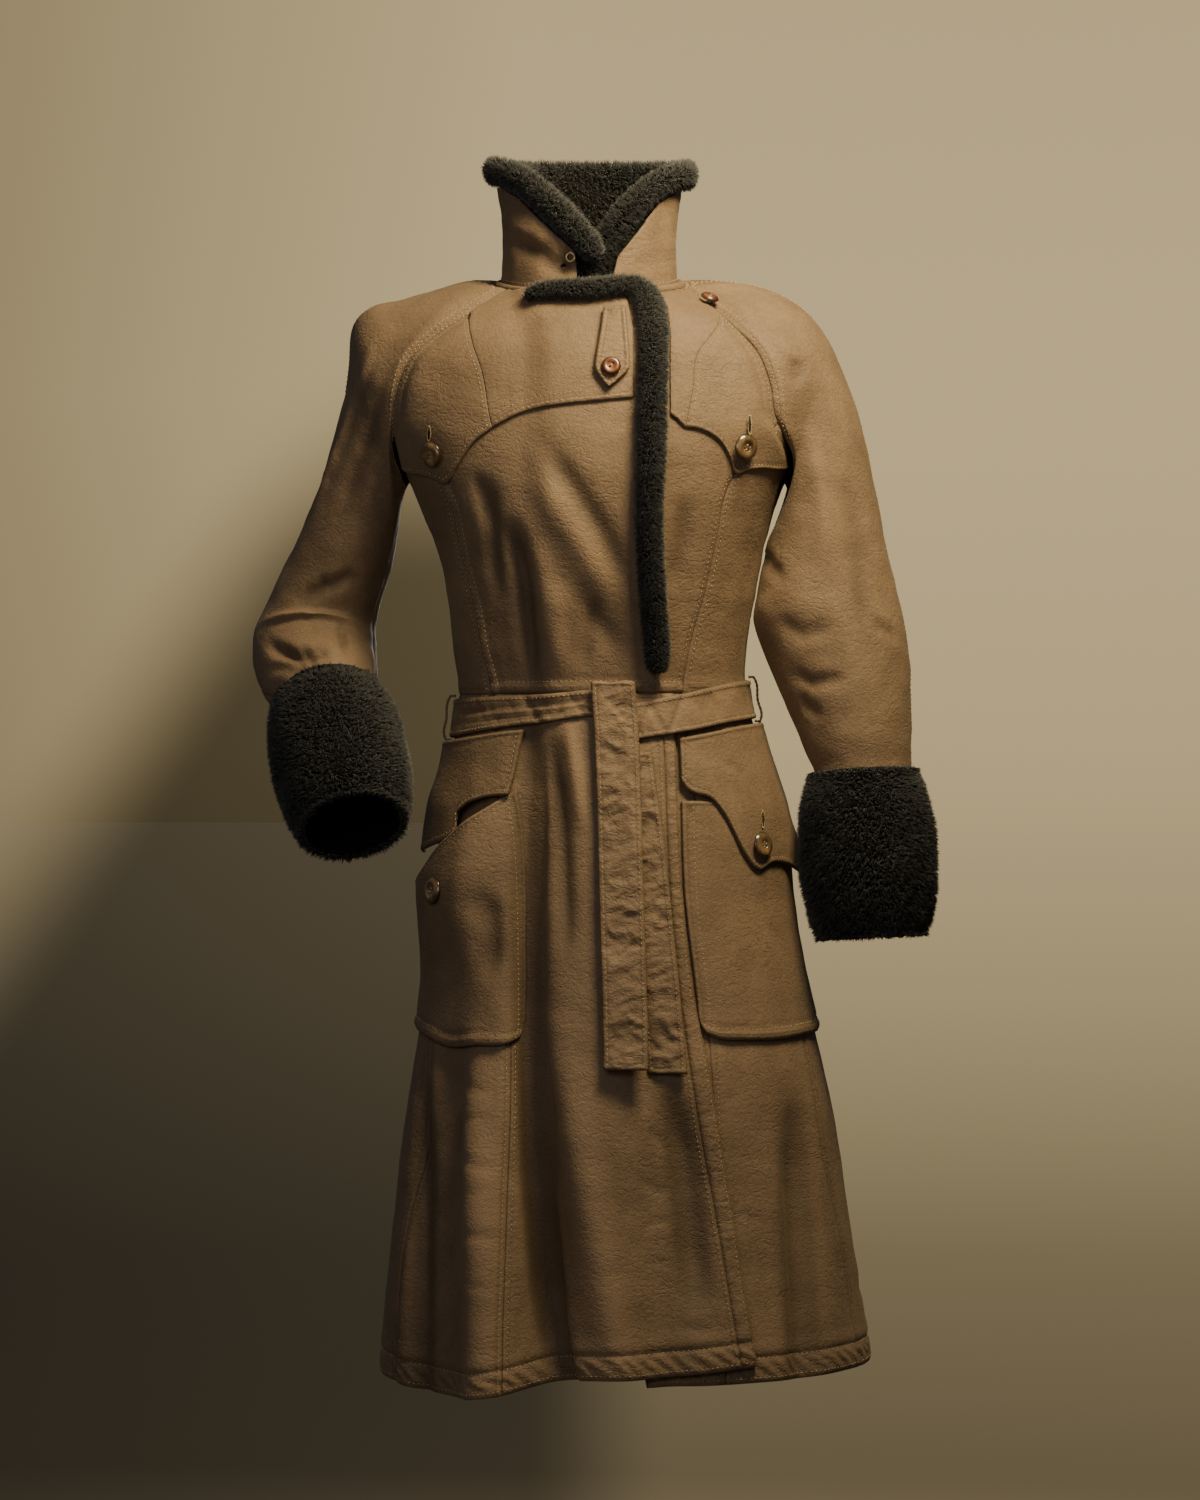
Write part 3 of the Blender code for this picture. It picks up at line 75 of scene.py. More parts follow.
# The body's rings, hem to neckline: half the width, the middle, the depths and how square the ring is.
BODY_COLUMNS = ("height", "half_width", "middle", "front", "back", "square")
BODY = (
    (-1.1, 0.249, 0.0315, 0.199, 0.207, 2.0),
    (-1.01, 0.2385, 0.027, 0.19, 0.199, 2.0),
    (-0.91, 0.2255, 0.024, 0.18, 0.19, 2.0),
    (-0.81, 0.2115, 0.0225, 0.17, 0.18, 2.0),
    (-0.71, 0.193, 0.019, 0.158, 0.169, 2.0),
    (-0.61, 0.179, 0.014, 0.145, 0.157, 2.0),
    (-0.52, 0.168, 0.0145, 0.131, 0.138, 2.0),
    (-0.45, 0.1515, 0.009, 0.116, 0.115, 2.0),
    (-0.405, 0.1435, 0.0055, 0.108, 0.103, 2.0),
    (-0.36, 0.147, 0.003, 0.114, 0.107, 2.05),
    (-0.31, 0.153, 0.0035, 0.124, 0.115, 2.1),
    (-0.27, 0.16, 0.003, 0.131, 0.123, 2.2),
    (-0.23, 0.172, 0.001, 0.136, 0.13, 2.3),
    (-0.186, 0.189, 0.0, 0.138, 0.134, 2.35),
    (-0.14, 0.211, 0.0, 0.134, 0.134, 2.35),
    (-0.1, 0.214, 0.0, 0.126, 0.131, 2.35),
    (-0.065, 0.201, -0.001, 0.116, 0.124, 2.35),
    (-0.03, 0.157, -0.0035, 0.101, 0.108, 2.2),
    (-0.012, 0.119, -0.0055, 0.092, 0.096, 2.1),
    (0.0, 0.094, -0.007, 0.086, 0.088, 2.0),
)

# How high the hem hangs, by angle: the lapping front first, then the rest of the way round.
HEM_COLUMNS = ("angle", "height")
HEM_LAP = ((-180, -1.075), (-77, -1.0796), (-63, -1.084), (-50, -1.085), (-34, -1.0768), (-26, -1.068),
           (-11, -1.06), (2, -1.0595), (19, -1.056), (34, -1.051))
HEM_REST = ((-180, -1.075), (-125, -1.073), (-77, -1.0796), (0, -1.068), (28, -1.0665), (65, -1.065),
            (100, -1.068), (140, -1.076), (180, -1.075))

# Hanging folds of the skirt: the angle of each at the waist and at the hem, its spread, how far it stands
# out, and the height where it starts.
FOLDS = (
    (-31.0, -23.0, 7.0, -0.024, -0.44),
    (-44.0, -38.0, 10.0, 0.015, -0.76),
    (-66.0, -56.0, 9.0, -0.012, -0.66),
    (-8.0, -8.0, 11.0, 0.008, -0.55),
    (6.0, 12.0, 7.0, -0.007, -0.72),
    (52.0, 50.0, 12.0, 0.006, -0.8),
    (118.0, 114.0, 12.0, -0.012, -0.56),
    (142.0, 140.0, 11.0, 0.01, -0.52),
    (166.0, 163.0, 10.0, -0.011, -0.6),
    (-120.0, -117.0, 13.0, -0.011, -0.62),
    (-147.0, -144.0, 12.0, 0.011, -0.5),
    (-170.0, -172.0, 9.0, -0.009, -0.66),
)

# Seams as heights and angles round the body from the centre front.
PRINCESS_LEFT = ((-0.405, 41), (-0.36, 43.5), (-0.31, 46.5), (-0.26, 48.3), (-0.204, 50), (-0.168, 57),
                 (-0.14, 65))
PRINCESS_RIGHT = ((-0.405, 57), (-0.345, 59), (-0.28, 61), (-0.204, 59.5), (-0.168, 66), (-0.14, 75))
SKIRT_PRINCESS_LEFT = ((-1.1, 27), (-0.9, 29.5), (-0.74, 31.5), (-0.55, 35), (-0.405, 41))
SKIRT_PRINCESS_RIGHT = ((-1.1, 33.5), (-0.9, 34.5), (-0.75, 37), (-0.55, 46), (-0.405, 57))
SKIRT_SIDE = ((-1.1, 73), (-0.95, 73), (-0.85, 70.5), (-0.75, 71), (-0.55, 80), (-0.405, 90))
RAGLAN_LEFT = ((-0.186, 90), (-0.179, 83), (-0.168, 76), (-0.156, 70), (-0.14, 65), (-0.1, 63),
               (-0.065, 62.5), (-0.03, 64.0), (-0.012, 69), (0.0, 75))
RAGLAN_RIGHT = ((-0.186, 90), (-0.179, 87), (-0.168, 83), (-0.156, 79), (-0.14, 75), (-0.1, 71.5),
                (-0.065, 69), (-0.03, 64.0), (-0.012, 62.5), (0.0, 62))
RAGLAN_BACK = ((-0.186, 90), (-0.179, 94), (-0.168, 99), (-0.156, 103), (-0.14, 108), (-0.1, 117),
               (-0.065, 121), (-0.03, 120), (-0.012, 119), (0.0, 118))
NECK_POINT_ANGLE = 94  # where a sleeve's front and back meet at the neckline
RAGLAN_HEIGHTS = tuple(height for height, _ in RAGLAN_LEFT)
SIDES = (
    {"name": "left", "sign": 1, "princess": PRINCESS_LEFT, "skirt": SKIRT_PRINCESS_LEFT,
     "raglan": RAGLAN_LEFT},
    {"name": "right", "sign": -1, "princess": PRINCESS_RIGHT, "skirt": SKIRT_PRINCESS_RIGHT,
     "raglan": RAGLAN_RIGHT},
)
JUNCTION = 4  # which raglan height the princess seam runs into

# Edges as heights and distances from the body's middle line, +X to the wearer's left.
LAP_EDGE = ((-1.1, 0.146), (-1.052, 0.1366), (-0.986, 0.1254), (-0.891, 0.1094), (-0.772, 0.0888),
            (-0.701, 0.079), (-0.62, 0.0705), (-0.557, 0.0668), (-0.456, 0.0636), (-0.405, 0.06),
            (-0.33, 0.057), (-0.23, 0.054), (-0.11, 0.057), (-0.05, 0.056), (0.0, 0.038))
BAND_EDGE = ((-1.1, 0.16), (-1.05, 0.151), (-0.892, 0.1265), (-0.78, 0.108), (-0.701, 0.093),
             (-0.586, 0.08), (-0.405, 0.0745))
UNDER_REACH = 0.09  # how far the hidden left front runs on behind the lap
LAP_RAMP = (0.04, 0.008)  # how far outside the hidden edge the lap's lift starts, and where it is full

# Sleeves: the outer and the inner point of each section, and half its depth.
LEFT_SLEEVE = (
    (0.094, 0.005, 0.008, 0.189, 0.0, -0.186, 0.074),
    (0.126, 0.004, 0.012, 0.19, 0.0, -0.193, 0.073),
    (0.156, 0.003, 0.007, 0.191, 0.0, -0.201, 0.072),
    (0.185, 0.002, -0.003, 0.191, -0.001, -0.209, 0.07),
    (0.212, 0.001, -0.022, 0.188, -0.002, -0.218, 0.068),
    (0.232, 0.0, -0.052, 0.182, -0.003, -0.228, 0.066),
    (0.25, -0.002, -0.095, 0.175, -0.004, -0.241, 0.064),
    (0.265, -0.004, -0.143, 0.169, -0.005, -0.256, 0.063),
    (0.276, -0.006, -0.192, 0.1648, -0.007, -0.276, 0.063),
    (0.286, -0.009, -0.243, 0.16, -0.01, -0.301, 0.063),
    (0.296, -0.013, -0.293, 0.156, -0.014, -0.33, 0.064),
    (0.307, -0.018, -0.34, 0.166, -0.019, -0.362, 0.063),
    (0.311, -0.024, -0.385, 0.181, -0.025, -0.399, 0.06),
    (0.312, -0.03, -0.427, 0.197, -0.031, -0.436, 0.055),
    (0.3115, -0.0355, -0.462, 0.2095, -0.0365, -0.4665, 0.0505),
    (0.3107, -0.0378, -0.4765, 0.2163, -0.0382, -0.4805, 0.0472),
    (0.3105, -0.0386, -0.4877, 0.2177, -0.039, -0.4923, 0.0464),
)
RIGHT_SLEEVE = (
    (-0.094, 0.005, 0.01, -0.189, 0.0, -0.186, 0.074),
    (-0.128, 0.006, 0.014, -0.19, 0.001, -0.193, 0.073),
    (-0.16, 0.01, 0.004, -0.192, 0.003, -0.201, 0.072),
    (-0.192, 0.016, -0.006, -0.194, 0.006, -0.208, 0.071),
    (-0.224, 0.024, -0.014, -0.196, 0.009, -0.216, 0.069),
    (-0.245, 0.032, -0.036, -0.198, 0.013, -0.225, 0.066),
    (-0.251, 0.038, -0.084, -0.2, 0.018, -0.236, 0.063),
    (-0.263, 0.044, -0.136, -0.203, 0.024, -0.25, 0.06),
    (-0.281, 0.052, -0.194, -0.207, 0.032, -0.266, 0.058),
    (-0.303, 0.061, -0.25, -0.213, 0.042, -0.285, 0.057),
    (-0.329, 0.071, -0.302, -0.22, 0.05, -0.306, 0.056),
    (-0.347, 0.074, -0.343, -0.226, 0.049, -0.33, 0.055),
    (-0.346, 0.06, -0.375, -0.225, 0.036, -0.35, 0.055),
    (-0.337, 0.03, -0.4, -0.222, 0.022, -0.371, 0.053),
    (-0.324, 0.001, -0.4064, -0.2225, 0.015, -0.3865, 0.0485),
    (-0.3164, -0.0064, -0.4141, -0.2252, 0.0052, -0.3995, 0.0465),
    (-0.313, -0.013, -0.4223, -0.2242, -0.0016, -0.4081, 0.0455),
)
SLEEVE_SETTLES = 6  # sections over which the sleeve leaves the shape of its raglan seam

# Cuffs: the middle of the top, and the way the arm points.
CUFF_LEFT = {"top": (0.2635, -0.038, -0.4782), "along": (0.05, -0.07, -1.0), "out": (1, 0, 0)}
CUFF_RIGHT = {"top": (-0.271, 0.0, -0.406), "along": (0.2, -0.61, -0.766), "out": (-1, 0, 0)}
CUFF_COLUMNS = ("along", "outer")
CUFF_PROFILE = ((0.0, 0.048), (0.03, 0.0538), (0.09, 0.06), (0.2, 0.0655), (0.38, 0.0686), (0.55, 0.069),
                (0.75, 0.0664), (0.9, 0.0612), (0.97, 0.0552), (1.0, 0.05))

# The collar: its middle, radii by height, and the path and half width of the fur roll round its edge,
# from the left front over the back to the right front.
COLLAR_MIDDLE = -0.0075
COLLAR_RADIUS = 0.088  # turns the collar's angles into lengths
COLLAR_COLUMNS = ("height", "half_width", "front", "back")
COLLAR = ((-0.02, 0.089, 0.0835, 0.0865), (0.03, 0.0875, 0.0835, 0.085), (0.08, 0.0875, 0.085, 0.085),
          (0.13, 0.089, 0.087, 0.087))
ROLL_COLUMNS = ("angle", "height", "flare", "half_width", "out")
ROLL = ((6, 0.018, 0.0, 0.0125, -0.019), (12, 0.035, 0.0, 0.015, -0.017), (19, 0.049, 0.0, 0.0162, -0.014),
        (27, 0.064, 0.0, 0.017, -0.01), (37, 0.08, 0.001, 0.017, -0.006),
        (51, 0.097, 0.004, 0.0162, -0.004), (64, 0.106, 0.012, 0.0158, -0.004),
        (78, 0.1115, 0.016, 0.0155, -0.004), (92, 0.117, 0.011, 0.0142, -0.004),
        (112, 0.122, 0.004, 0.013, -0.004), (146, 0.127, 0.001, 0.013, -0.004),
        (180, 0.129, 0.0, 0.013, -0.004), (214, 0.127, 0.001, 0.013, -0.004),
        (248, 0.122, 0.004, 0.0132, -0.004), (268, 0.1195, 0.01, 0.0145, -0.004),
        (282, 0.116, 0.013, 0.0155, -0.004), (294, 0.111, 0.008, 0.016, -0.004),
        (309, 0.102, 0.003, 0.0165, -0.004), (324, 0.086, 0.001, 0.017, -0.003),
        (341, 0.064, 0.0, 0.0166, -0.001), (357, 0.04, 0.0, 0.015, 0.003), (365, 0.02, 0.0, 0.013, 0.0045))
STAND_FRONTS = (13, 352)  # where the stand's front edges meet the neckline

# Pieces that lie on the front: outlines as distances across and heights.
YOKE_SEAM_RIGHT = ((-0.148, 39.0), (-0.0779, 47.3), (-0.05, 53.5), (-0.0307, 59.2))
YOKE_SEAM_LEFT = ((-0.148, 33.5), (-0.11, 37.5), (-0.0714, 42.4), (-0.034, 58.8))
YOKE_HEM_RIGHT = ((-0.0731, -0.1346), (-0.0352, -0.1284), (0.003, -0.1246), (0.0345, -0.122))
FLAP_HEM_LEFT = ((0.0956, -0.149), (0.109, -0.154), (0.1185, -0.161), (0.127, -0.174), (0.1364, -0.1916),
                 (0.1461, -0.1871), (0.16, -0.1845))
FLAP_HEM_RIGHT = ((-0.1069, -0.1526), (-0.1171, -0.16), (-0.124, -0.168), (-0.1364, -0.1864),
                  (-0.147, -0.2), (-0.158, -0.195), (-0.169, -0.19))
POCKET_LEFT_FRONT = ((0.1035, -0.7335), (0.0985, -0.724), (0.096, -0.7015), (0.0885, -0.645),
                     (0.0828, -0.586), (0.0812, -0.54), (0.0805, -0.51))
POCKET_LEFT_BASE = ((0.115, -0.7385), (0.142, -0.7414), (0.173, -0.7424), (0.2023, -0.7405))
POCKET_RIGHT_FRONT = ((-0.0735, -0.7375), (-0.0672, -0.7265), (-0.065, -0.7023), (-0.0655, -0.65),
                      (-0.0665, -0.6059), (-0.0715, -0.545), (-0.0775, -0.4975))
POCKET_RIGHT_BASE = ((-0.085, -0.744), (-0.1142, -0.7471), (-0.1463, -0.75), (-0.1642, -0.743))
POCKET_RIGHT_MOUTH = ((-0.087, -0.506), (-0.106, -0.5255), (-0.1267, -0.5461), (-0.142, -0.564))
FLAP_LEFT_HEM = ((0.0795, -0.4925), (0.087, -0.5015), (0.1073, -0.5088), (0.1194, -0.5231),
                 (0.1296, -0.5422), (0.1399, -0.5624), (0.1541, -0.5783), (0.1647, -0.5718))
FLAP_RIGHT_HEM = ((-0.0824, -0.5053), (-0.1053, -0.5092), (-0.1186, -0.515), (-0.1266, -0.523),
                  (-0.13, -0.544))
TAB = ((0.0062, 0.0268, -0.0255), (0.003, 0.0292, -0.056), (-0.0018, 0.0312, -0.09),
       (-0.0006, 0.0282, -0.0985), (0.0085, 0.0145, -0.1115))

# The fur along the lapping front edge.
TRIM_COLUMNS = ("across", "height", "half_width")
TRIM = ((-0.068, -0.017, 0.0065), (-0.058, -0.0135, 0.0105), (-0.0358, -0.007, 0.0125),
        (-0.0095, -0.004, 0.0127), (0.013, -0.003, 0.0128), (0.027, -0.0035, 0.0135),
        (0.0385, -0.0085, 0.015), (0.0468, -0.02, 0.0162), (0.0512, -0.0375, 0.0165),
        (0.0528, -0.056, 0.0164), (0.053, -0.08, 0.0161), (0.052, -0.115, 0.016), (0.0507, -0.155, 0.016),
        (0.0487, -0.1994, 0.0155), (0.0474, -0.2463, 0.015), (0.049, -0.2936, 0.0148),
        (0.0518, -0.3318, 0.0148), (0.0538, -0.3611, 0.0145), (0.054, -0.383, 0.012))

# The belt round the waist.
BELT_COLUMNS = ("angle", "height", "width")
BELT = ((14, -0.433, 0.035), (40, -0.4235, 0.037), (69, -0.4125, 0.0385), (90, -0.4095, 0.0385),
        (130, -0.411, 0.0385), (180, -0.417, 0.0385), (230, -0.424, 0.0385), (270, -0.4285, 0.038),
        (286, -0.427, 0.037), (318, -0.4215, 0.03), (334, -0.419, 0.0275), (350, -0.415, 0.026))

# Creases of the cloth: how wide each trough or ridge is, how far it stands out, and its path.
# On the front a path is given as distances across and heights; round the body, as angles and heights.
FRONT_CREASES = (
    (0.0115, -0.0105, ((-0.09, -0.23), (-0.08, -0.26), (-0.0715, -0.2947), (-0.067, -0.3336),
                       (-0.0625, -0.3725), (-0.06, -0.4055))),
    (0.013, 0.0045, ((-0.078, -0.205), (-0.066, -0.245), (-0.05, -0.3), (-0.044, -0.39))),
    (0.01, -0.006, ((-0.109, -0.1838), (-0.104, -0.2169), (-0.1, -0.2752), (-0.094, -0.3219))),
    (0.007, -0.004, ((-0.1195, -0.1858), (-0.104, -0.2461))),
    (0.017, 0.005, ((-0.06, -0.185), (-0.04, -0.225), (-0.012, -0.27), (0.018, -0.325))),
    (0.013, -0.0062, ((-0.06, -0.145), (-0.037, -0.185), (-0.012, -0.223), (0.012, -0.264),
                      (0.036, -0.315))),
    (0.012, -0.003, ((-0.025, -0.295), (0.002, -0.335), (0.03, -0.375))),
    (0.01, 0.004, ((-0.033, -0.29), (-0.036, -0.33), (-0.034, -0.39))),
    (0.007, -0.003, ((0.001, -0.305), (-0.008, -0.345), (-0.012, -0.39))),
    (0.012, -0.005, ((0.0827, -0.2072), (0.0808, -0.2558), (0.0711, -0.3141))),
    (0.01, -0.008, ((-0.0463, -0.42), (-0.0386, -0.4716), (-0.032, -0.5326), (-0.029, -0.6),
                    (-0.027, -0.69))),
    (0.0075, 0.0045, ((-0.03, -0.425), (-0.02, -0.48), (-0.012, -0.55))),
    (0.017, -0.016, ((-0.064, -0.36), (-0.067, -0.47), (-0.069, -0.56), (-0.068, -0.66), (-0.065, -0.74),
                     (-0.062, -0.81), (-0.058, -0.87), (-0.051, -0.94), (-0.039, -1.01), (-0.027, -1.07),
                     (-0.022, -1.25))),
    (0.02, 0.011, ((-0.04, -0.52), (-0.037, -0.66), (-0.031, -0.76), (-0.019, -0.84), (-0.01, -0.9),
                   (0.001, -0.96), (0.012, -1.02), (0.021, -1.1), (0.027, -1.25))),
    (0.024, 0.015, ((-0.113, -0.7), (-0.113, -0.86), (-0.11, -1.0), (-0.107, -1.25))),
    (0.016, -0.012, ((-0.17, -0.72), (-0.171, -0.86), (-0.172, -1.0), (-0.172, -1.25))),
    (0.019, -0.014, ((0.064, -0.77), (0.08, -0.83), (0.088, -0.9), (0.093, -0.96), (0.098, -1.02))),
    (0.024, -0.017, ((0.185, -0.77), (0.193, -0.83), (0.199, -0.92), (0.204, -1.15))),
    (0.0055, -0.0013, ((-0.13, -0.782), (-0.112, -0.79), (-0.0936, -0.787))),
    (0.004, -0.0011, ((-0.123, -0.8229), (-0.108, -0.816), (-0.099, -0.817))),
    (0.006, -0.0014, ((-0.129, -0.8491), (-0.112, -0.8601), (-0.093, -0.864))),
    (0.0035, -0.0009, ((-0.117, -0.8909), (-0.104, -0.8845), (-0.098, -0.885))),
    (0.0055, -0.0014, ((-0.13, -0.934), (-0.115, -0.928), (-0.09, -0.931))),
    (0.004, -0.001, ((-0.121, -0.969), (-0.11, -0.976), (-0.096, -0.977))),
    (0.005, -0.0012, ((0.0346, -0.869), (0.052, -0.879), (0.07, -0.882))),
    (0.0045, -0.0012, ((0.0432, -0.823), (0.061, -0.835), (0.072, -0.85))),
    (0.005, -0.0013, ((0.039, -0.918), (0.056, -0.911), (0.076, -0.912))),
    (0.0045, -0.0011, ((0.0432, -0.953), (0.059, -0.949), (0.08, -0.958))),
    (0.006, -0.0013, ((0.0765, -1.0053), (0.094, -1.013), (0.111, -1.014))),
    (0.005, -0.0012, ((0.131, -0.9), (0.148, -0.9105), (0.1628, -0.913))),
    (0.005, -0.0012, ((0.1224, -0.798), (0.1367, -0.793))),
    (0.015, -0.006, ((-0.1131, -0.5887), (-0.1005, -0.6283), (-0.1005, -0.6496), (-0.1063, -0.6912))),
    (0.006, -0.0014, ((0.1207, -0.4707), (0.1411, -0.4901))),
)
ROUND_CREASES = (
    (0.011, -0.005, ((150, -0.25), (159, -0.32), (165, -0.4))),
    (0.01, -0.0055, ((-140, -0.2), (-149, -0.28), (-157, -0.37))),
    (0.009, -0.0035, ((120, -0.365), (148, -0.384), (172, -0.376))),
    (0.009, -0.0035, ((-108, -0.362), (-138, -0.382), (-168, -0.37))),
    (0.01, -0.004, ((84, -0.23), (98, -0.3), (104, -0.38))),
    (0.01, -0.004, ((-86, -0.23), (-99, -0.29), (-107, -0.37))),
    (0.013, 0.004, ((137, -0.23), (143, -0.3), (148, -0.38))),
    (0.013, -0.0065, ((130, -0.46), (134, -0.6), (133, -0.75))),
    (0.012, -0.006, ((-135, -0.47), (-140, -0.62), (-138, -0.8))),
    (0.012, -0.005, ((160, -0.47), (158, -0.58), (160, -0.7))),
    (0.012, -0.005, ((-165, -0.48), (-162, -0.58), (-164, -0.66))),
    (0.006, -0.0026, ((104, -0.9), (113, -0.906), (122, -0.898))),
    (0.006, -0.0026, ((-102, -0.84), (-112, -0.847), (-120, -0.838))),
    (0.006, -0.0024, ((146, -0.95), (156, -0.957), (164, -0.948))),
    (0.006, -0.0024, ((-150, -0.93), (-159, -0.936), (-168, -0.928))),
    (0.006, -0.0026, ((80, -0.99), (88, -0.995), (97, -0.988))),
)
SLEEVE_CREASES = {
    "right": (
        (0.009, 0.0062, ((-0.2192, -0.0502), (-0.25, -0.135), (-0.2873, -0.226))),
        (0.011, -0.006, ((-0.236, -0.052), (-0.268, -0.135), (-0.302, -0.215))),
        (0.012, -0.005, ((-0.205, -0.09), (-0.233, -0.17), (-0.26, -0.24))),
        (0.0052, 0.0085, ((-0.343, -0.332), (-0.305, -0.324), (-0.256, -0.329), (-0.233, -0.334))),
        (0.0075, -0.01, ((-0.334, -0.35), (-0.313, -0.361), (-0.262, -0.367))),
        (0.005, -0.004, ((-0.256, -0.333), (-0.252, -0.364))),
        (0.009, -0.0055, ((-0.233, -0.283), (-0.27, -0.295), (-0.305, -0.313))),
        (0.007, -0.004, ((-0.335, -0.382), (-0.3, -0.378), (-0.26, -0.386))),
    ),
    "left": (
        (0.011, -0.0045, ((0.1956, -0.072), (0.1956, -0.1045))),
        (0.01, -0.004, ((0.161, -0.2605), (0.1847, -0.2961))),
        (0.007, -0.0035, ((0.2696, -0.3316), (0.285, -0.34), (0.2993, -0.3514))),
        (0.008, -0.0035, ((0.198, -0.408), (0.2104, -0.4205), (0.223, -0.429))),
        (0.015, -0.0035, ((0.245, -0.18), (0.26, -0.28), (0.266, -0.38))),
        (0.01, -0.0032, ((0.17, -0.327), (0.2, -0.344), (0.235, -0.34))),
        (0.008, -0.0035, ((0.185, -0.383), (0.215, -0.394), (0.25, -0.385))),
        (0.013, 0.0035, ((0.208, -0.13), (0.22, -0.22), (0.225, -0.3))),
    ),
}
COLLAR_CREASES = (
    (0.01, -0.0048, ((-0.0894, 0.0457), (-0.062, 0.029), (-0.034, 0.013), (-0.015, 0.004))),
    (0.016, -0.004, ((-0.042, 0.03), (-0.026, 0.016), (-0.012, 0.004))),
    (0.012, 0.0032, ((-0.088, 0.062), (-0.06, 0.048), (-0.038, 0.033))),
)
FUR_LENGTH = 0.0068  # of a cuff's hairs
FUR_DEPTH = 0.0054  # how far the pelt lies inside the reach of a cuff's fur
FUR_SPACING = 0.0016
ROLL_FUR = 0.0062  # the reach of the fur on the collar's roll and the front trim
BODY_CREASES = []


# ---------------------------------------------------------------- curves and surfaces

def column(table, names, name):
    """One named column of a table."""
    return np.array([row[names.index(name)] for row in table], float)


def smooth(keys, values, at):
    """A cubic through the rows, with the slope at each row set by its neighbours. The keys rise."""
    keys, values = np.asarray(keys, float), np.asarray(values, float)
    slope = np.gradient(values, keys)
    at = np.clip(np.asarray(at, float), keys[0], keys[-1])
    i = np.clip(np.searchsorted(keys, at) - 1, 0, len(keys) - 2)
    span = keys[i + 1] - keys[i]
    t = (at - keys[i]) / span
    rise = values[i] * (1 + 2 * t) * (1 - t) ** 2 + slope[i] * span * t * (1 - t) ** 2
    return rise + values[i + 1] * t * t * (3 - 2 * t) + slope[i + 1] * span * t * t * (t - 1)


def read(table, names, name, at):
    """One named column of a table at some values of its first column."""
    return smooth(column(table, names, names[0]), column(table, names, name), at)


def ease(t):
    """From 0 to 1 with flat ends."""
    t = np.clip(t, 0, 1)
    return t * t * (3 - 2 * t)


def unit(vectors):
    """The vectors at length 1."""
    return vectors / np.linalg.norm(vectors, axis=-1, keepdims=True)


def between(at, keys, rows):
    """Each column of some rows, read between their keys."""
    return np.stack([np.interp(at, keys, rows[:, k]) for k in range(rows.shape[1])], -1)


def seam(table, height):
    """The angle of a seam at a height."""
    return smooth(*np.array(sorted(table), float).T, height)


def skirt_folds(angle, height):
    """How far the hanging folds push the skirt out: one bell-shaped ridge or trough for each row."""
    out = np.zeros(np.broadcast(angle, height).shape)
    for at_waist, at_hem, spread, reach, starts in FOLDS:
        share = np.clip((WAIST - height) / (WAIST - HEM), 0, 1)
        centre = at_waist + (at_hem - at_waist) * share
        turn = (angle - centre + 180) % 360 - 180
        out = out + reach * ease((starts - height) / 0.35 + 0.25) * np.exp(-((turn / spread) ** 2))
    return out * ease((WAIST - 0.03 - height) / 0.06)


def body(angle, height):
    """The coat's outer face by angle, in degrees, and height: rings of the body table, with the folds."""
    angle, height = np.broadcast_arrays(np.asarray(angle, float), np.asarray(height, float))
    half, middle, front, back, square = (read(BODY, BODY_COLUMNS, name, height) for name in BODY_COLUMNS[1:])
    sine, cosine = np.sin(np.radians(angle)), np.cos(np.radians(angle))
    depth = np.where(cosine > 0, front, back)
    radius = (np.abs(sine / half) ** square + np.abs(cosine / depth) ** square) ** (-1 / square)
    radius = radius + skirt_folds(angle, height)
    mean, fall = NECK_TILT
    lift = (mean - fall * cosine) * ease((height + 0.1) / 0.1)
    return np.stack([middle + radius * sine, -radius * cosine, height + lift], -1)


def collar(angle, height, flared=0.35):
    """The collar's outer face by angle and height, flared by this share at its two corners."""
    angle, height = np.broadcast_arrays(np.asarray(angle, float), np.asarray(height, float))
    half, front, back = (read(COLLAR, COLLAR_COLUMNS, name, height) for name in COLLAR_COLUMNS[1:])
    flare = read(ROLL, ROLL_COLUMNS, "flare", (angle - 8) % 360 + 8)
    sine, cosine = np.sin(np.radians(angle)), np.cos(np.radians(angle))
    depth = np.where(cosine > 0, front, back)
    radius = ((sine / half) ** 2 + (cosine / depth) ** 2) ** -0.5
    radius = radius + flared * flare * ease((height - 0.05) / 0.06)
    return np.stack([COLLAR_MIDDLE + radius * sine, -radius * cosine, height], -1)


def hem_height(table, angle):
    """How high the hem hangs at an angle."""
    return read(table, HEM_COLUMNS, "height", angle)


def normals(surface, u, v, du=0.4, dv=0.002):
    """Unit normals of a surface, pointing out, from differences either side of each point."""
    across = surface(u + du, v) - surface(u - du, v)
    up = surface(u, v + dv) - surface(u, v - dv)
    return unit(np.cross(across, up))


def angle_at(across, height):
    """The angle on the body's front half where it is this far across."""
    across, height = np.broadcast_arrays(np.asarray(across, float), np.asarray(height, float))
    turns = np.linspace(-100, 100, 401)
    found = [np.interp(x, body(turns, h)[:, 0], turns) for x, h in zip(across.ravel(), height.ravel())]
    return np.array(found).reshape(across.shape)


def edge_x(height):
    """How far across the lapping front edge lies."""
    return smooth(*np.array(LAP_EDGE).T, height)


def band_x(height):
    """How far across the outer edge of the skirt's band lies."""
    return smooth(*np.array(BAND_EDGE).T, height)


def lap_lift(angle, height):
    """How far the right front is lifted to clear the left one behind it."""
    hidden = edge_x(height) - UNDER_REACH
    wide, near = LAP_RAMP
    return LAP * ease((body(angle, height)[..., 0] - (hidden - wide)) / (wide - near))


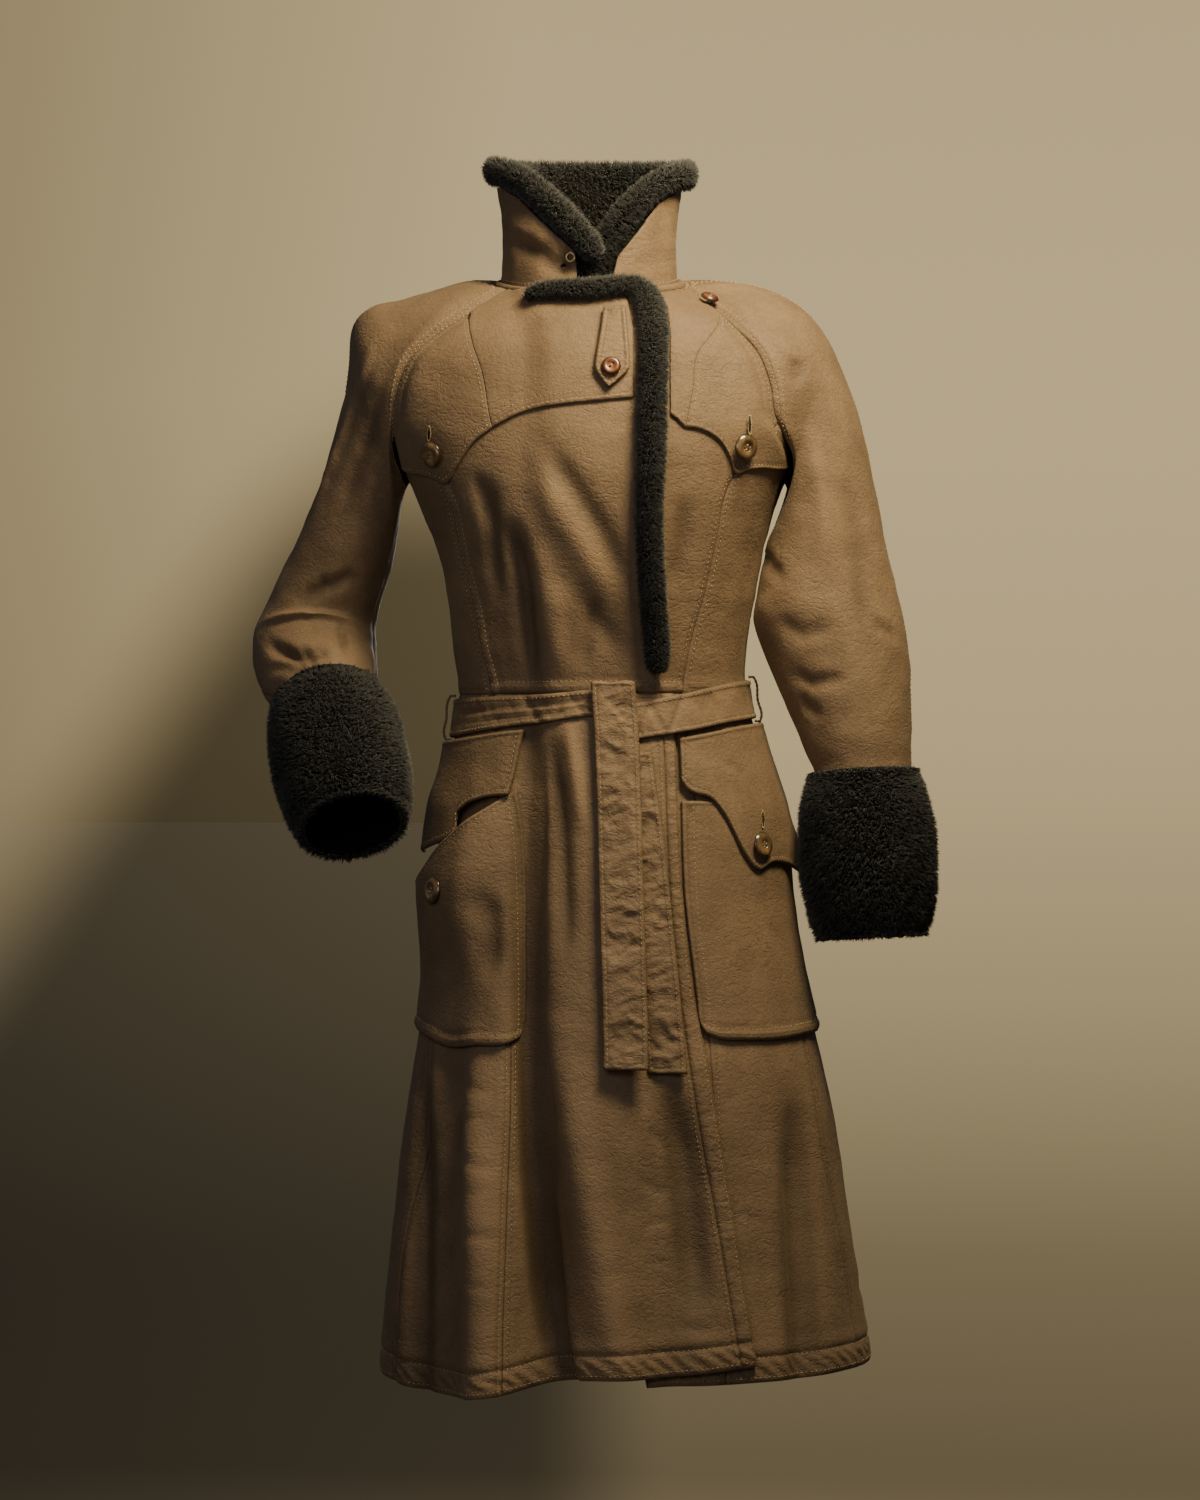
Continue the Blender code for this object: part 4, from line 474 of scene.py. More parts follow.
def drawn_in(points, distance):
    """The grid with its four edges moved in by this much, along the grid and square to each edge."""
    def step(edge, beside):
        along = unit(np.gradient(edge, axis=0))
        across = beside - edge
        across = across - along * (across * along).sum(axis=1, keepdims=True)
        return across * distance / np.linalg.norm(across, axis=1, keepdims=True)

    moved = points.copy()
    moved[0] += step(points[0], points[1])
    moved[-1] += step(points[-1], points[-2])
    moved[:, 0] += step(points[:, 0], points[:, 1])
    moved[:, -1] += step(points[:, -1], points[:, -2])
    return moved


def line(start, end, count):
    """Points evenly along a straight line in surface coordinates."""
    return np.linspace(np.array(start, float), np.array(end, float), count)


def mirrored(points):
    """Surface coordinates on the other side of the body."""
    points = np.array(points, float)
    points[..., 0] *= -1
    return points


def on_side(edges, sign):
    """A piece's four edges, given for the left side, put on the side of this sign."""
    if sign > 0:
        return edges
    bottom, top, left, right = edges
    return mirrored(bottom)[::-1], mirrored(top)[::-1], mirrored(right), mirrored(left)


def section_frames(sections):
    """Each section's middle, its way out, its way forward and half its width and depth."""
    rows = np.array(sections)
    outer, inner, depth = rows[:, 0:3], rows[:, 3:6], rows[:, 6]
    middle = (outer + inner) / 2
    along = np.gradient(middle, axis=0)
    out = outer - inner
    width = np.linalg.norm(out, axis=1, keepdims=True)
    out = out / width
    square = unit(np.cross(out, along))
    square *= np.where(square[:, 1:2] > 0, -1, 1)
    level = unit(np.array((0.0, -1.0, 0.0)) + out * out[:, 1:2])
    turned = ease((np.arange(len(rows)) - 8) / 4)[:, None]  # level above the elbow, square to the arm below
    ahead = unit(level * (1 - turned) + square * turned)
    return middle, out, ahead, width[:, 0] / 2, depth


def roll_path(count, clear=None):
    """The collar roll's path, or a line this far clear of its side, its half widths and its ways out."""
    keys, at = np.linspace(0, 1, len(ROLL)), np.linspace(0, 1, count)
    names = ("angle", "height", "half_width", "out")
    angle, height, half, out = (smooth(keys, column(ROLL, ROLL_COLUMNS, name), at) for name in names)
    if clear is not None:
        flat = np.stack([np.radians(angle) * COLLAR_RADIUS, height], -1)
        ahead = unit(np.gradient(flat, axis=0))
        flat = flat + np.stack([ahead[:, 1], -ahead[:, 0]], -1) * (half + clear)[:, None]
        angle, height = np.degrees(flat[:, 0] / COLLAR_RADIUS), flat[:, 1]
    return np.stack([angle, height], -1), half, out


def round_rings(place, out, half_width, half_depth, sides, flat=False):
    """Oval rings along a path, or half ovals that lie flat on it, in the planes square to the path."""
    along = unit(np.gradient(place, axis=0))
    across = unit(np.cross(along, out))
    up = np.cross(across, along)
    half_width = np.broadcast_to(half_width, len(place))[:, None, None]
    half_depth = np.broadcast_to(half_depth, len(place))[:, None, None]
    turn = np.linspace(0, math.pi, sides) if flat else np.linspace(0, 2 * math.pi, sides, endpoint=False)
    sine = np.sin(turn)[None, :, None]
    cosine = np.cos(turn)[None, :, None]
    return place[:, None] - across[:, None] * cosine * half_width + up[:, None] * sine * half_depth


def on_body(across_heights):
    """Surface coordinates of points given as distances across and heights."""
    points = np.array(across_heights, float)
    return np.stack([angle_at(points[:, 0], points[:, 1]), points[:, 1]], -1)


def yoke_seam(side, count):
    """Points along a yoke seam, hem to shoulder."""
    rows = np.array(YOKE_SEAM_LEFT if side["sign"] > 0 else YOKE_SEAM_RIGHT, float)
    heights = np.linspace(rows[0, 0], rows[-1, 0], count)
    return np.stack([side["sign"] * smooth(*rows.T, heights), heights], -1)


def armhole(side, heights):
    """Points just inside the raglan seam."""
    return np.stack([side["sign"] * (seam(side["raglan"], heights) - 2.6), heights], -1)


def belt_at(angle, name):
    """The belt's middle height or its width at an angle."""
    return read(BELT, BELT_COLUMNS, name, np.asarray(angle) % 360)


def belt_low(angle):
    """The height of the belt's lower edge."""
    return belt_at(angle, "height") - belt_at(angle, "width") / 2


def belt_surface(angle, share):
    """The belt's inner face: it rides on the coat and tilts round the waist; share runs across its width."""
    angle, share = np.broadcast_arrays(np.asarray(angle, float), np.asarray(share, float))
    height = belt_at(angle, "height") + (share - 0.5) * belt_at(angle, "width")
    turn = (angle + 180) % 360 - 180
    level = np.maximum(height, -0.432)
    place = body(turn, level)
    place[..., 2] = height
    out = normals(body, turn, np.full(turn.shape, WAIST))
    over = lap_lift(turn, height) * (1 - ease((place[..., 0] - 0.085) / 0.03))
    spring = np.linalg.norm(body(turn, height) - place, axis=-1)
    return place + out * (over + 2 * REST + spring)[..., None]


# ---------------------------------------------------------------- fine surfaces

PITCH_FRONT = 0.0045  # grid of the cloth that faces the front
PITCH_BACK = 0.0092
PITCH_BAND = 0.0032
YOKE_LIFT = 0.0036
YOKE_THICK = 0.003
LAID = ("turned",) * 4  # edge finishes of a piece that lies free on the coat
FREE_BELOW = ("turned", "flat", "flat", "flat")  # of one that is sewn in round its other sides
BOUND_BELOW = ("bound", "turned", "turned", "turned")
FLAP_DROP = 0.0055  # how far below the belt's edge the pocket flaps start
SEAM_ROW = 0.005  # how far rows of stitching lie from an edge, by how it is finished
TURNED_ROW = 0.006
BOUND_ROW = 0.0125
HEM_ROW = 0.024
NEAR_STEPS = np.array((0.0, 0.0012, 0.0027, 0.0048, 0.0078))  # closer rows beside every edge
HEM_STEPS = np.array((0.0, 0.0012, 0.0027, 0.0048, 0.0075, 0.0102, 0.0129, 0.0156, 0.0183, 0.0207, 0.0225,
                      0.024, 0.0255, 0.0275, 0.0305, 0.034))


def paces(length, pitch, start=NEAR_STEPS):
    """Shares along a length: one for each step of the pitch, with the closer steps at both ends."""
    if length < 5 * NEAR_STEPS[-1]:
        return np.linspace(0, 1, max(4, int(length / 0.0024)))
    inside = np.linspace(start[-1], length - NEAR_STEPS[-1], max(3, int(round(length / pitch))))
    return np.concatenate([start[:-1], inside, length - NEAR_STEPS[-2::-1]]) / length


def run_length(points):
    """How far along a chain of points each one lies; grids are measured along their first axis."""
    steps = np.linalg.norm(np.diff(points, axis=0), axis=-1)
    return np.concatenate([np.zeros_like(steps[:1]), np.cumsum(steps, axis=0)])


def curved(points, count=60):
    """Points on a cubic through a chain of control points, taken by the length between them."""
    points = np.asarray(points, float)
    at = run_length(points * (0.002, 1) if np.abs(points[:, 0]).max() > 2 else points)
    wanted = np.linspace(0, at[-1], count)
    return np.stack([smooth(at, points[:, k], wanted) for k in range(points.shape[1])], -1)


def chained(points, count=60):
    """Points evenly spread over the straight steps between control points."""
    points = np.asarray(points, float)
    at = run_length(points * (0.002, 1))
    wanted = np.linspace(0, at[-1], count)
    return between(wanted, at, points)


def panel(surface, edges, pitch, start=NEAR_STEPS):
    """Surface coordinates of a panel's grid: edges divided by true length, and the inside filled."""
    edges = [np.asarray(edge, float) for edge in edges]
    lengths = [run_length(surface(edge[:, 0], edge[:, 1])) for edge in edges]
    across = paces(max(lengths[0][-1], lengths[1][-1]), pitch)
    upward = paces(max(lengths[2][-1], lengths[3][-1]), pitch, start)
    placed = []
    for edge, length, shares in zip(edges, lengths, (across, across, upward, upward)):
        placed.append(between(shares * length[-1], length, edge))
    bottom, top, left, right = placed
    s, t = across[None, :, None], upward[:, None, None]
    corners = (1 - t) * ((1 - s) * left[0] + s * right[0]) + t * ((1 - s) * left[-1] + s * right[-1])
    return (1 - t) * bottom[None] + t * top[None] + (1 - s) * left[:, None] + s * right[:, None] - corners


SIDE_NAMES = ("bottom", "top", "left", "right")


def edge_distances(points):
    """For each point of a grid, its distance to each of the four edges, and how far along each it lies."""
    up = run_length(points)
    across = run_length(points.transpose(1, 0, 2)).T
    away = np.stack([up, up[-1:] - up, across, across[:, -1:] - across])
    return away, np.stack([across, across, up, up])


def wander(points, size, seed):
    """Slow uneven swell over space, from -1 to 1: a sum of plane waves of about this length."""
    draw = np.random.default_rng(seed)
    total = np.zeros(points.shape[:-1])
    for _ in range(7):
        way = draw.normal(size=3)
        way *= draw.uniform(0.7, 1.6) / (np.linalg.norm(way) * size)
        total += np.sin(points @ way * 2 * math.pi + draw.uniform(0, 2 * math.pi))
    return total / 4.0


def pressed(points, path, width, reach):
    """How far one crease moves each point: a bell across its path with a low lip, fading at both ends."""
    low, high = path.min(axis=0) - 3.2 * width, path.max(axis=0) + 3.2 * width
    near = ((points > low) & (points < high)).all(axis=-1)
    moved = np.zeros(points.shape[:-1])
    if not near.any():
        return moved
    here, start, step = points[near], path[:-1], np.diff(path, axis=0)
    gap = here[:, None] - start[None]
    share = np.clip((gap * step[None]).sum(-1) / np.maximum((step**2).sum(-1), 1e-12)[None], 0, 1)
    away = np.linalg.norm(gap - share[..., None] * step[None], axis=-1)
    nearest = away.argmin(axis=1)
    rows = np.arange(len(here))
    along = (nearest + share[rows, nearest]) / len(step)
    across = (away[rows, nearest] / width) ** 2
    fade = ease(np.minimum(along, 1 - along) / 0.34 + 0.04)
    moved[near] = reach * np.exp(-across) * (1 - 0.45 * across) * fade
    return moved


def body_creases():
    """Every crease of the body as its width, how far it stands out, and its path in space."""
    found = []
    for width, reach, path in FRONT_CREASES:
        found.append((width, reach, on_body(curved(path, 16))))
    for width, reach, path in ROUND_CREASES:
        found.append((width, reach, curved(path, 16)))
    return [(width, reach, body(path[:, 0], path[:, 1])) for width, reach, path in found]


def body_relief(points):
    """How far creases and slow swells move points on the body."""
    moved = 0.0011 * wander(points, 0.11, 3) + 0.0005 * wander(points, 0.04, 4)
    for width, reach, path in BODY_CREASES:
        moved = moved + pressed(points, path, width, reach)
    return moved * ease((-points[..., 2]) / 0.04)


# ---------------------------------------------------------------- meshes

def quads(rows, columns, start=0, around=False, flip=False):
    """Quads between neighbouring rows and columns of a grid of points, closed round where it is a ring."""
    i, j = np.meshgrid(np.arange(rows - 1), np.arange(columns if around else columns - 1), indexing="ij")
    a = start + i * columns + j
    b = start + i * columns + (j + 1) % columns
    corners = (a, b, b + columns, a + columns)
    if flip:
        corners = corners[::-1]
    return np.stack(corners, -1).reshape(-1, 4)


def rim_faces(rows, columns, shift):
    """Quads that close the four edges between a grid and its copy further on in the list."""
    rim = np.concatenate([
        np.arange(columns), np.arange(1, rows) * columns + columns - 1,
        (rows - 1) * columns + np.arange(columns - 2, -1, -1), np.arange(rows - 2, 0, -1) * columns,
    ])
    ahead = np.roll(rim, -1)
    return np.stack([rim, rim + shift, ahead + shift, ahead], -1)


def make_mesh(name, points, faces, materials, face_material=None, masks=None):
    """A smooth-shaded mesh object that rides on the coat, from whole arrays of points and faces."""
    mesh = bpy.data.meshes.new(name)
    corners = faces.shape[1]
    mesh.vertices.add(len(points))
    mesh.vertices.foreach_set("co", np.ascontiguousarray(points, np.float32).ravel())
    mesh.loops.add(faces.size)
    mesh.loops.foreach_set("vertex_index", faces.astype(np.int32).ravel())
    mesh.polygons.add(len(faces))
    mesh.polygons.foreach_set("loop_start", np.arange(0, faces.size, corners, dtype=np.int32))
    mesh.polygons.foreach_set("use_smooth", np.ones(len(faces), bool))
    for material in materials:
        mesh.materials.append(material)
    if face_material is not None:
        mesh.polygons.foreach_set("material_index", face_material.astype(np.int32))
    for mask, values in (masks or {}).items():
        layer = mesh.attributes.new(mask, "FLOAT", "POINT")
        layer.data.foreach_set("value", np.ascontiguousarray(values, np.float32).ravel())
    mesh.update(calc_edges=True)
    mesh.validate()
    made = bpy.data.objects.new(name, mesh)
    bpy.context.scene.collection.objects.link(made)
    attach(made, "root")
    return made


def cell_areas(points):
    """The area of each cell of a grid of points."""
    return np.linalg.norm(np.cross(np.diff(points, axis=0)[:, 1:], np.diff(points, axis=1)[1:]), axis=-1)


def faced_out(points, faces):
    """The faces of a closed form, turned over if they look inwards."""
    corners = points[faces[:, 0]], points[faces[:, 1]], points[faces[:, 2]]
    volume = np.einsum("ij,ij->i", corners[0], np.cross(corners[1], corners[2])).sum()
    return faces[:, ::-1] if volume < 0 else faces


def shell(name, outer, inner, masks, materials):
    """A closed thin wall: the outer grid, the inner grid turned over, and the rim between them."""
    rows, columns = outer.shape[:2]
    half = rows * columns
    front, back = quads(rows, columns), quads(rows, columns, half, flip=True)
    rim = rim_faces(rows, columns, half)
    faces = np.concatenate([front, back, rim])
    which = np.concatenate([np.zeros(len(front)), np.ones(len(back)), np.zeros(len(rim))])
    doubled = {mask: np.concatenate([values.ravel(), values.ravel()]) for mask, values in masks.items()}
    points = np.concatenate([outer.reshape(-1, 3), inner.reshape(-1, 3)])
    return make_mesh(name, points, faces, materials, which, doubled)


def grid_normals(points):
    """Unit normals of a grid of points, out of the side from which rows go up as columns go right."""
    across, up = np.gradient(points, axis=1), np.gradient(points, axis=0)
    out = np.cross(across, up)
    return out / np.maximum(np.linalg.norm(out, axis=-1, keepdims=True), 1e-12)


def rope_turn(away, along, place):
    """How far round its wave each hem pucker is, in radians: the puckers slant and their spacing wanders."""
    return 2 * math.pi * (along / 0.0175 + away / 0.016) + 1.5 * wander(place, 0.05, 9)


def edge_shape(kind, away, along, place):
    """How one edge of a panel stands: bells and waves over the distance to it, by the way it is finished.

    A seam sinks with a soft pad beside it. A turned edge rounds over, with a stitch groove behind its
    roll. A bound edge is a wider turned one. A welt is a raised, doubled seam. A hem has slanting puckers
    up to its stitching, a rolled edge has short crosswise ones, and a flat edge lies level with its
    neighbour.
    """
    def bell(middle, width):
        return np.exp(-(((away - middle) / width) ** 2))

    stir = wander(place, 0.022, 9)
    gather = 0.00012 * np.sin(along / 0.0063 * math.pi + 4 * stir) * bell(0.007, 0.006)
    if kind == "seam":
        return -0.001 * bell(0.0, 0.002) + 0.0006 * bell(0.0095, 0.0055) + gather
    if kind == "turned":
        roll = 0.0005 * bell(0.003, 0.002) - 0.0011 * bell(0.0, 0.001)
        return roll - 0.0005 * bell(0.0058, 0.0015) + gather
    if kind == "bound":
        roll = 0.0011 * bell(0.006, 0.0042) - 0.0016 * bell(0.0, 0.0016)
        return roll - 0.0011 * bell(0.0125, 0.0018) + 1.6 * gather
    if kind == "welt":
        ridge = 0.0018 * bell(0.0048, 0.0026) - 0.0012 * bell(0.0105, 0.0022)
        return ridge - 0.0012 * bell(0.0, 0.0016) + gather
    if kind == "hem":
        ropes = 0.001 * np.sin(rope_turn(away, along, place))
        edge = -0.0016 * bell(0.0, 0.0018) - 0.0013 * bell(0.024, 0.002) + 0.0008 * bell(0.032, 0.006)
        return edge + ropes * bell(0.0125, 0.0078) * (0.65 + 0.35 * stir) + 0.0006 * bell(0.013, 0.008)
    if kind == "rolled":
        ropes = 0.0004 * np.sin(along / 0.009 * 2 * math.pi + 5 * stir) * bell(0.0055, 0.0045)
        return ropes - 0.0019 * bell(0.0, 0.0024)
    return -0.0004 * bell(0.0, 0.0016)


def leather_piece(name, node, outer, inner, out, relief, edges=("seam",) * 4, stitches=(), creased=0.0):
    """A cloth piece in suede: creases and finished edges shape the outer grid, and the inner one follows."""
    away, along = edge_distances(outer)
    shape = sum(edge_shape(kind, away[k], along[k], outer) for k, kind in enumerate(edges))
    plain = np.array([kind in ("flat", "hem", "rolled") for kind in edges])[:, None, None]
    marked = np.where(plain, away + 0.03, away)
    nearest = marked.argmin(axis=0)
    shaped = outer + out * (relief + shape)[..., None]
    sewn = edges[0] in ("seam", "hem", "bound") and node.startswith(("bodice", "skirt", "sleeve"))
    under = inner + out * (relief * (0.85 if sewn else 1.0))[..., None]
    if edges[0] == "hem":
        creased = np.maximum(creased, 0.3 * (1 - ease((away[0] - 0.02) / 0.005)))
    # Ridges of the relief are paler as rubbed nap; troughs and seam grooves get painted shade, a darker
    # colour where they sink.
    masks = {"edge": marked.min(axis=0), "along": np.take_along_axis(along, nearest[None], 0)[0],
             "ridge_rub_trough_shade": np.clip(0.5 + (relief + shape * 0.7) * 90, 0, 1),
             "creased": creased + np.zeros(relief.shape)}
    if edges[0] == "hem":
        masks["rope_turn"] = rope_turn(away[0], along[0], outer)
        masks["rope"] = np.exp(-(((away[0] - 0.0125) / 0.0078) ** 2))
    made = shell(name, shaped, under, masks,
                 (MATERIALS["suede"], MATERIALS["pelt"] if sewn else MATERIALS["suede"]))
    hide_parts(node)
    size_across = float(run_length(outer.transpose(1, 0, 2))[-1].max())
    for side, inset in (*stitches, *((("bottom", SEAM_ROW),) if edges[0] == "hem" else ())):
        STITCH_LINES.append(inset_path(shaped, side, inset))
    return made


def cloth(name, surface, edges, thickness, lift=0.0, pitch=PITCH_FRONT, kinds=("seam",) * 4, stitches=(),
          sinks=(), creased=0.0):
    """A cloth piece laid out between four edges on a surface, lifted off it, with the body's creases.

    At the sides named in sinks the lift fades out, where the piece runs into a seam of the body.
    """
    flat = panel(surface, edges, pitch, HEM_STEPS if kinds[0] == "hem" else NEAR_STEPS)
    u, v = flat[..., 0], flat[..., 1]
    place, out = surface(u, v), normals(surface, u, v)
    raised = (lift(u, v) if callable(lift) else np.full(u.shape, lift))[..., None]
    away, _ = edge_distances(place)
    for side in sinks:
        raised = raised * (1 - 0.93 * np.exp(-((away[SIDE_NAMES.index(side)] / 0.008) ** 2)))[..., None]
    outer = drawn_in(place + out * raised, SEAM * 0.3)
    inner = drawn_in(place + out * (raised - thickness), SEAM * 0.3)
    return leather_piece("suede_" + name, name, outer, inner, out, body_relief(place), kinds, stitches,
                         creased)


# ---------------------------------------------------------------- stitches

STITCH_LINES = []


def inset_path(points, side, inset):
    """Places and outward ways on a grid, this far in from one of its edges."""
    out = grid_normals(points)
    if side in ("left", "right"):
        points, out = points.transpose(1, 0, 2), out.transpose(1, 0, 2)
    if side in ("top", "right"):
        points, out = points[::-1], out[::-1]
    at = run_length(points)
    k = np.clip((at < inset).sum(axis=0), 1, len(points) - 1)
    j = np.arange(points.shape[1])
    share = ((inset - at[k - 1, j]) / (at[k, j] - at[k - 1, j]))[:, None]
    return points[k - 1, j] * (1 - share) + points[k, j] * share, out[k, j]


def many(shape, count, corners):
    """The faces of many copies of a small form, each with this many corners."""
    return (np.arange(count)[:, None, None] * corners + shape[None]).reshape(-1, 3)


def beaded(name, beads, material):
    """One mesh of slim beads, each given by its two ends and the four corners of its middle."""
    shape = np.array([(0, 2, 4), (2, 1, 4), (1, 3, 4), (3, 0, 4),
                      (2, 0, 5), (1, 2, 5), (3, 1, 5), (0, 3, 5)])
    made = make_mesh(name, beads.reshape(-1, 3), many(shape, len(beads), 6), (material,))
    return made


def sew(name, lines, length=0.0032, gap=0.0017, width=0.0011, rise=0.0008):
    """Rows of stitches: each is a slim eight-sided bead along its line, half sunk in the leather."""
    starts, ends, ways = [], [], []
    for places, out in lines:
        at = run_length(places)
        first = np.arange(0.004, at[-1] - 0.005, length + gap)
        starts.append(between(first, at, places))
        ends.append(between(first + length, at, places))
        ways.append(between(first, at, out))
    start, end, up = np.concatenate(starts), np.concatenate(ends), unit(np.concatenate(ways))
    middle = (start + end) / 2
    side = np.cross(end - start, up)
    side *= width / 2 / np.maximum(np.linalg.norm(side, axis=1, keepdims=True), 1e-9)
    beads = np.stack([start - up * 0.0004, end - up * 0.0004, middle + side, middle - side,
                      middle + up * rise, middle - up * rise], 1)
    return beaded(name, beads, MATERIALS["thread"])


# ---------------------------------------------------------------- bodice and skirt

def seam_line(table, low, high, sign=1, count=50, turn=0.0):
    """Surface coordinates along a seam between two heights."""
    heights = np.linspace(low, high, count)
    return np.stack([sign * (seam(table, heights) + turn), heights], -1)


def make_bodice():
    """Fronts, side panels and backs from the waist seam to the neckline and the raglan seams."""
    meet = RAGLAN_HEIGHTS[JUNCTION]
    for side in SIDES:
        name, sign = side["name"], side["sign"]
        princess = seam_line(side["princess"], WAIST, meet)
        outer_edge = np.concatenate([princess, seam_line(side["raglan"], meet, 0.0)[1:]])
        heights = outer_edge[:, 1]
        if sign > 0:
            across, lift = edge_x(heights) - UNDER_REACH, 0.0
            rows = (("right", SEAM_ROW), ("bottom", BOUND_ROW))
        else:
            across, lift = edge_x(heights), lap_lift
            rows = (("left", SEAM_ROW), ("left", 0.011), ("bottom", BOUND_ROW))
        middle = np.stack([angle_at(across, heights) * sign, heights], -1)
        front = (line(middle[0], outer_edge[0], 60), line(middle[-1], outer_edge[-1], 60), middle,
                 outer_edge)
        kinds = ("bound", "seam", "seam", "seam") if sign > 0 else ("bound", "seam", "welt", "seam")
        cloth(f"bodice_front_{name}", body, on_side(front, sign), HIDE, lift, kinds=kinds, stitches=rows)

        side_seam = line((90, WAIST), (90, UNDERARM), 60)
        top = seam_line(side["raglan"], UNDERARM, meet)[::-1]
        gusset = (line(princess[0], side_seam[0], 60), top, princess, side_seam)
        near = "left" if sign > 0 else "right"
        cloth(f"bodice_side_{name}", body, on_side(gusset, sign), HIDE, stitches=((near, 0.005),))

        back_edge = np.concatenate([side_seam, seam_line(RAGLAN_BACK, UNDERARM, 0.0)[1:]])
        centre = np.stack([np.full(len(back_edge), 180.0), back_edge[:, 1]], -1)
        back = (line(back_edge[0], centre[0], 60), line(back_edge[-1], centre[-1], 60), back_edge, centre)
        near = "right" if sign > 0 else "left"
        cloth(f"bodice_back_{name}", body, on_side(back, sign), HIDE, pitch=PITCH_BACK,
              stitches=((near, 0.005),))


def hung_edge(table, angles):
    """An edge of a skirt panel, hem to waist."""
    low = hem_height(table, angles(HEM))
    for _ in range(2):
        low = hem_height(table, angles(low))
    rows = np.linspace(float(low), WAIST, 60)
    return np.stack([angles(rows), rows], -1)


def hung_panel(table, left, right):
    """The four edges of a skirt panel whose lower edge follows the hem."""
    bottom = line(left[0], right[0], 60)
    bottom[1:-1, 1] = hem_height(table, bottom[1:-1, 0])
    return bottom, line(left[-1], right[-1], 60), left, right


def make_skirt():
    """Two fronts, two side panels and two backs below the waist seam, and the band along the lap."""
    def lap(rows):
        return angle_at(edge_x(rows), rows)

    def band(rows):
        return angle_at(band_x(rows), rows)

    def hidden(rows):
        return angle_at(edge_x(rows) - UNDER_REACH, rows)

    def seam_at(table, sign):
        return lambda rows: sign * seam(table, rows)

    def back(sign):
        return lambda rows: np.full(np.shape(rows), sign * 180.0)

    princess_left, princess_right = seam_at(SKIRT_PRINCESS_LEFT, 1), seam_at(SKIRT_PRINCESS_RIGHT, -1)
    side_left, side_right = seam_at(SKIRT_SIDE, 1), seam_at(SKIRT_SIDE, -1)
    hem = ("bottom", HEM_ROW)
    pieces = (
        ("skirt_front_left", HEM_REST, hidden, princess_left, 0.0, PITCH_FRONT, (hem, ("right", SEAM_ROW))),
        ("skirt_side_left", HEM_REST, princess_left, side_left, 0.0, PITCH_FRONT, (hem, ("left", SEAM_ROW))),
        ("skirt_back_left", HEM_REST, side_left, back(1), 0.0, PITCH_BACK, (hem, ("right", SEAM_ROW))),
        ("skirt_back_right", HEM_REST, back(-1), side_right, 0.0, PITCH_BACK, (hem, ("left", SEAM_ROW))),
        ("skirt_side_right", HEM_LAP, side_right, princess_right, 0.0, PITCH_FRONT,
         (hem, ("right", SEAM_ROW))),
        ("skirt_front_right", HEM_LAP, princess_right, lap, lap_lift, PITCH_FRONT,
         (hem, ("left", SEAM_ROW), ("right", 0.004))),
        ("skirt_front_band", HEM_LAP, lap, band, lap_lift, PITCH_FRONT, (("right", 0.004),)),
    )
    for name, table, left, right, lift, pitch, rows in pieces:
        edges = hung_panel(table, hung_edge(table, left), hung_edge(table, right))
        band_here = name == "skirt_front_band"
        kinds = ("hem", "rolled", "rolled", "rolled") if band_here else ("hem", "seam", "seam", "seam")
        cloth(name, body, edges, HIDE, lift, PITCH_BAND if band_here else pitch, kinds, rows,
              creased=0.35 * band_here)


# ---------------------------------------------------------------- sleeves

def between_rows(table, at):
    """Every column of a table by a cubic through its rows, at fractions of a row."""
    rows = np.asarray(table, float)
    flat = rows.reshape(len(rows), -1)
    keys = np.arange(len(rows))
    found = np.stack([smooth(keys, flat[:, k], at) for k in range(flat.shape[1])], -1)
    return found.reshape((len(at),) + rows.shape[1:])


def fine_loop(side):
    """The raglan seam from the neck point to the underarm, front half and back half."""
    halves = []
    for table in (side["raglan"], RAGLAN_BACK):
        down = seam_line(table, UNDERARM, 0.0, count=60)[::-1]
        half = np.concatenate([line((NECK_POINT_ANGLE, 0.0), down[0], 12)[:-1], down])
        halves.append(half if side["sign"] > 0 else mirrored(half))
    return halves


def sleeve_grid(sections, facing, loop, pitch):
    """Outer points and outward ways of one half of a sleeve, rows along the arm, columns over to under.

    Each row is half an oval in its section's plane; the first rows ease from the raglan seam into the ovals.
    """
    middle, out, ahead, half_width, half_depth = section_frames(sections)
    arm = run_length(middle)
    at = np.interp(paces(arm[-1], pitch) * arm[-1], arm, np.arange(len(sections)))
    middle, out, ahead, half_width, half_depth = (
        between_rows(value, at) for value in (middle, out, ahead, half_width, half_depth)
    )
    out, ahead = unit(out), unit(ahead)
    start, start_out = body(loop[:, 0], loop[:, 1]), normals(body, loop[:, 0], loop[:, 1])
    steps = run_length(start)
    wanted = paces(steps[-1], pitch) * steps[-1]
    start, start_out = between(wanted, steps, start), between(wanted, steps, start_out)
    turn = math.pi * wanted / steps[-1]
    ring_out = np.cos(turn)[None, :, None] * out[:, None] * half_width[:, None, None]
    ring_ahead = facing * np.sin(turn)[None, :, None] * ahead[:, None] * half_depth[:, None, None]
    rings = middle[:, None] + ring_out + ring_ahead
    leaves = 1 - ease(at / SLEEVE_SETTLES)
    points = rings + leaves[:, None, None] * (start - rings[0])[None]
    way = unit(ring_out / half_width[:, None, None] ** 2 + ring_ahead / half_depth[:, None, None] ** 2)
    blend = (1 - ease(at / 3))[:, None, None]
    return points, unit(way * (1 - blend) + start_out[None] * blend)


def sleeve_paths(points, creases):
    """Crease paths given across and in height, put on the nearest points of a grid seen from the front."""
    flat = points.reshape(-1, 3)
    found = []
    for width, reach, path in creases:
        wanted = curved(path, 14)
        gap = ((flat[None, :, (0, 2)] - wanted[:, None]) ** 2).sum(-1)
        found.append((width, reach, flat[gap.argmin(axis=1)]))
    return found


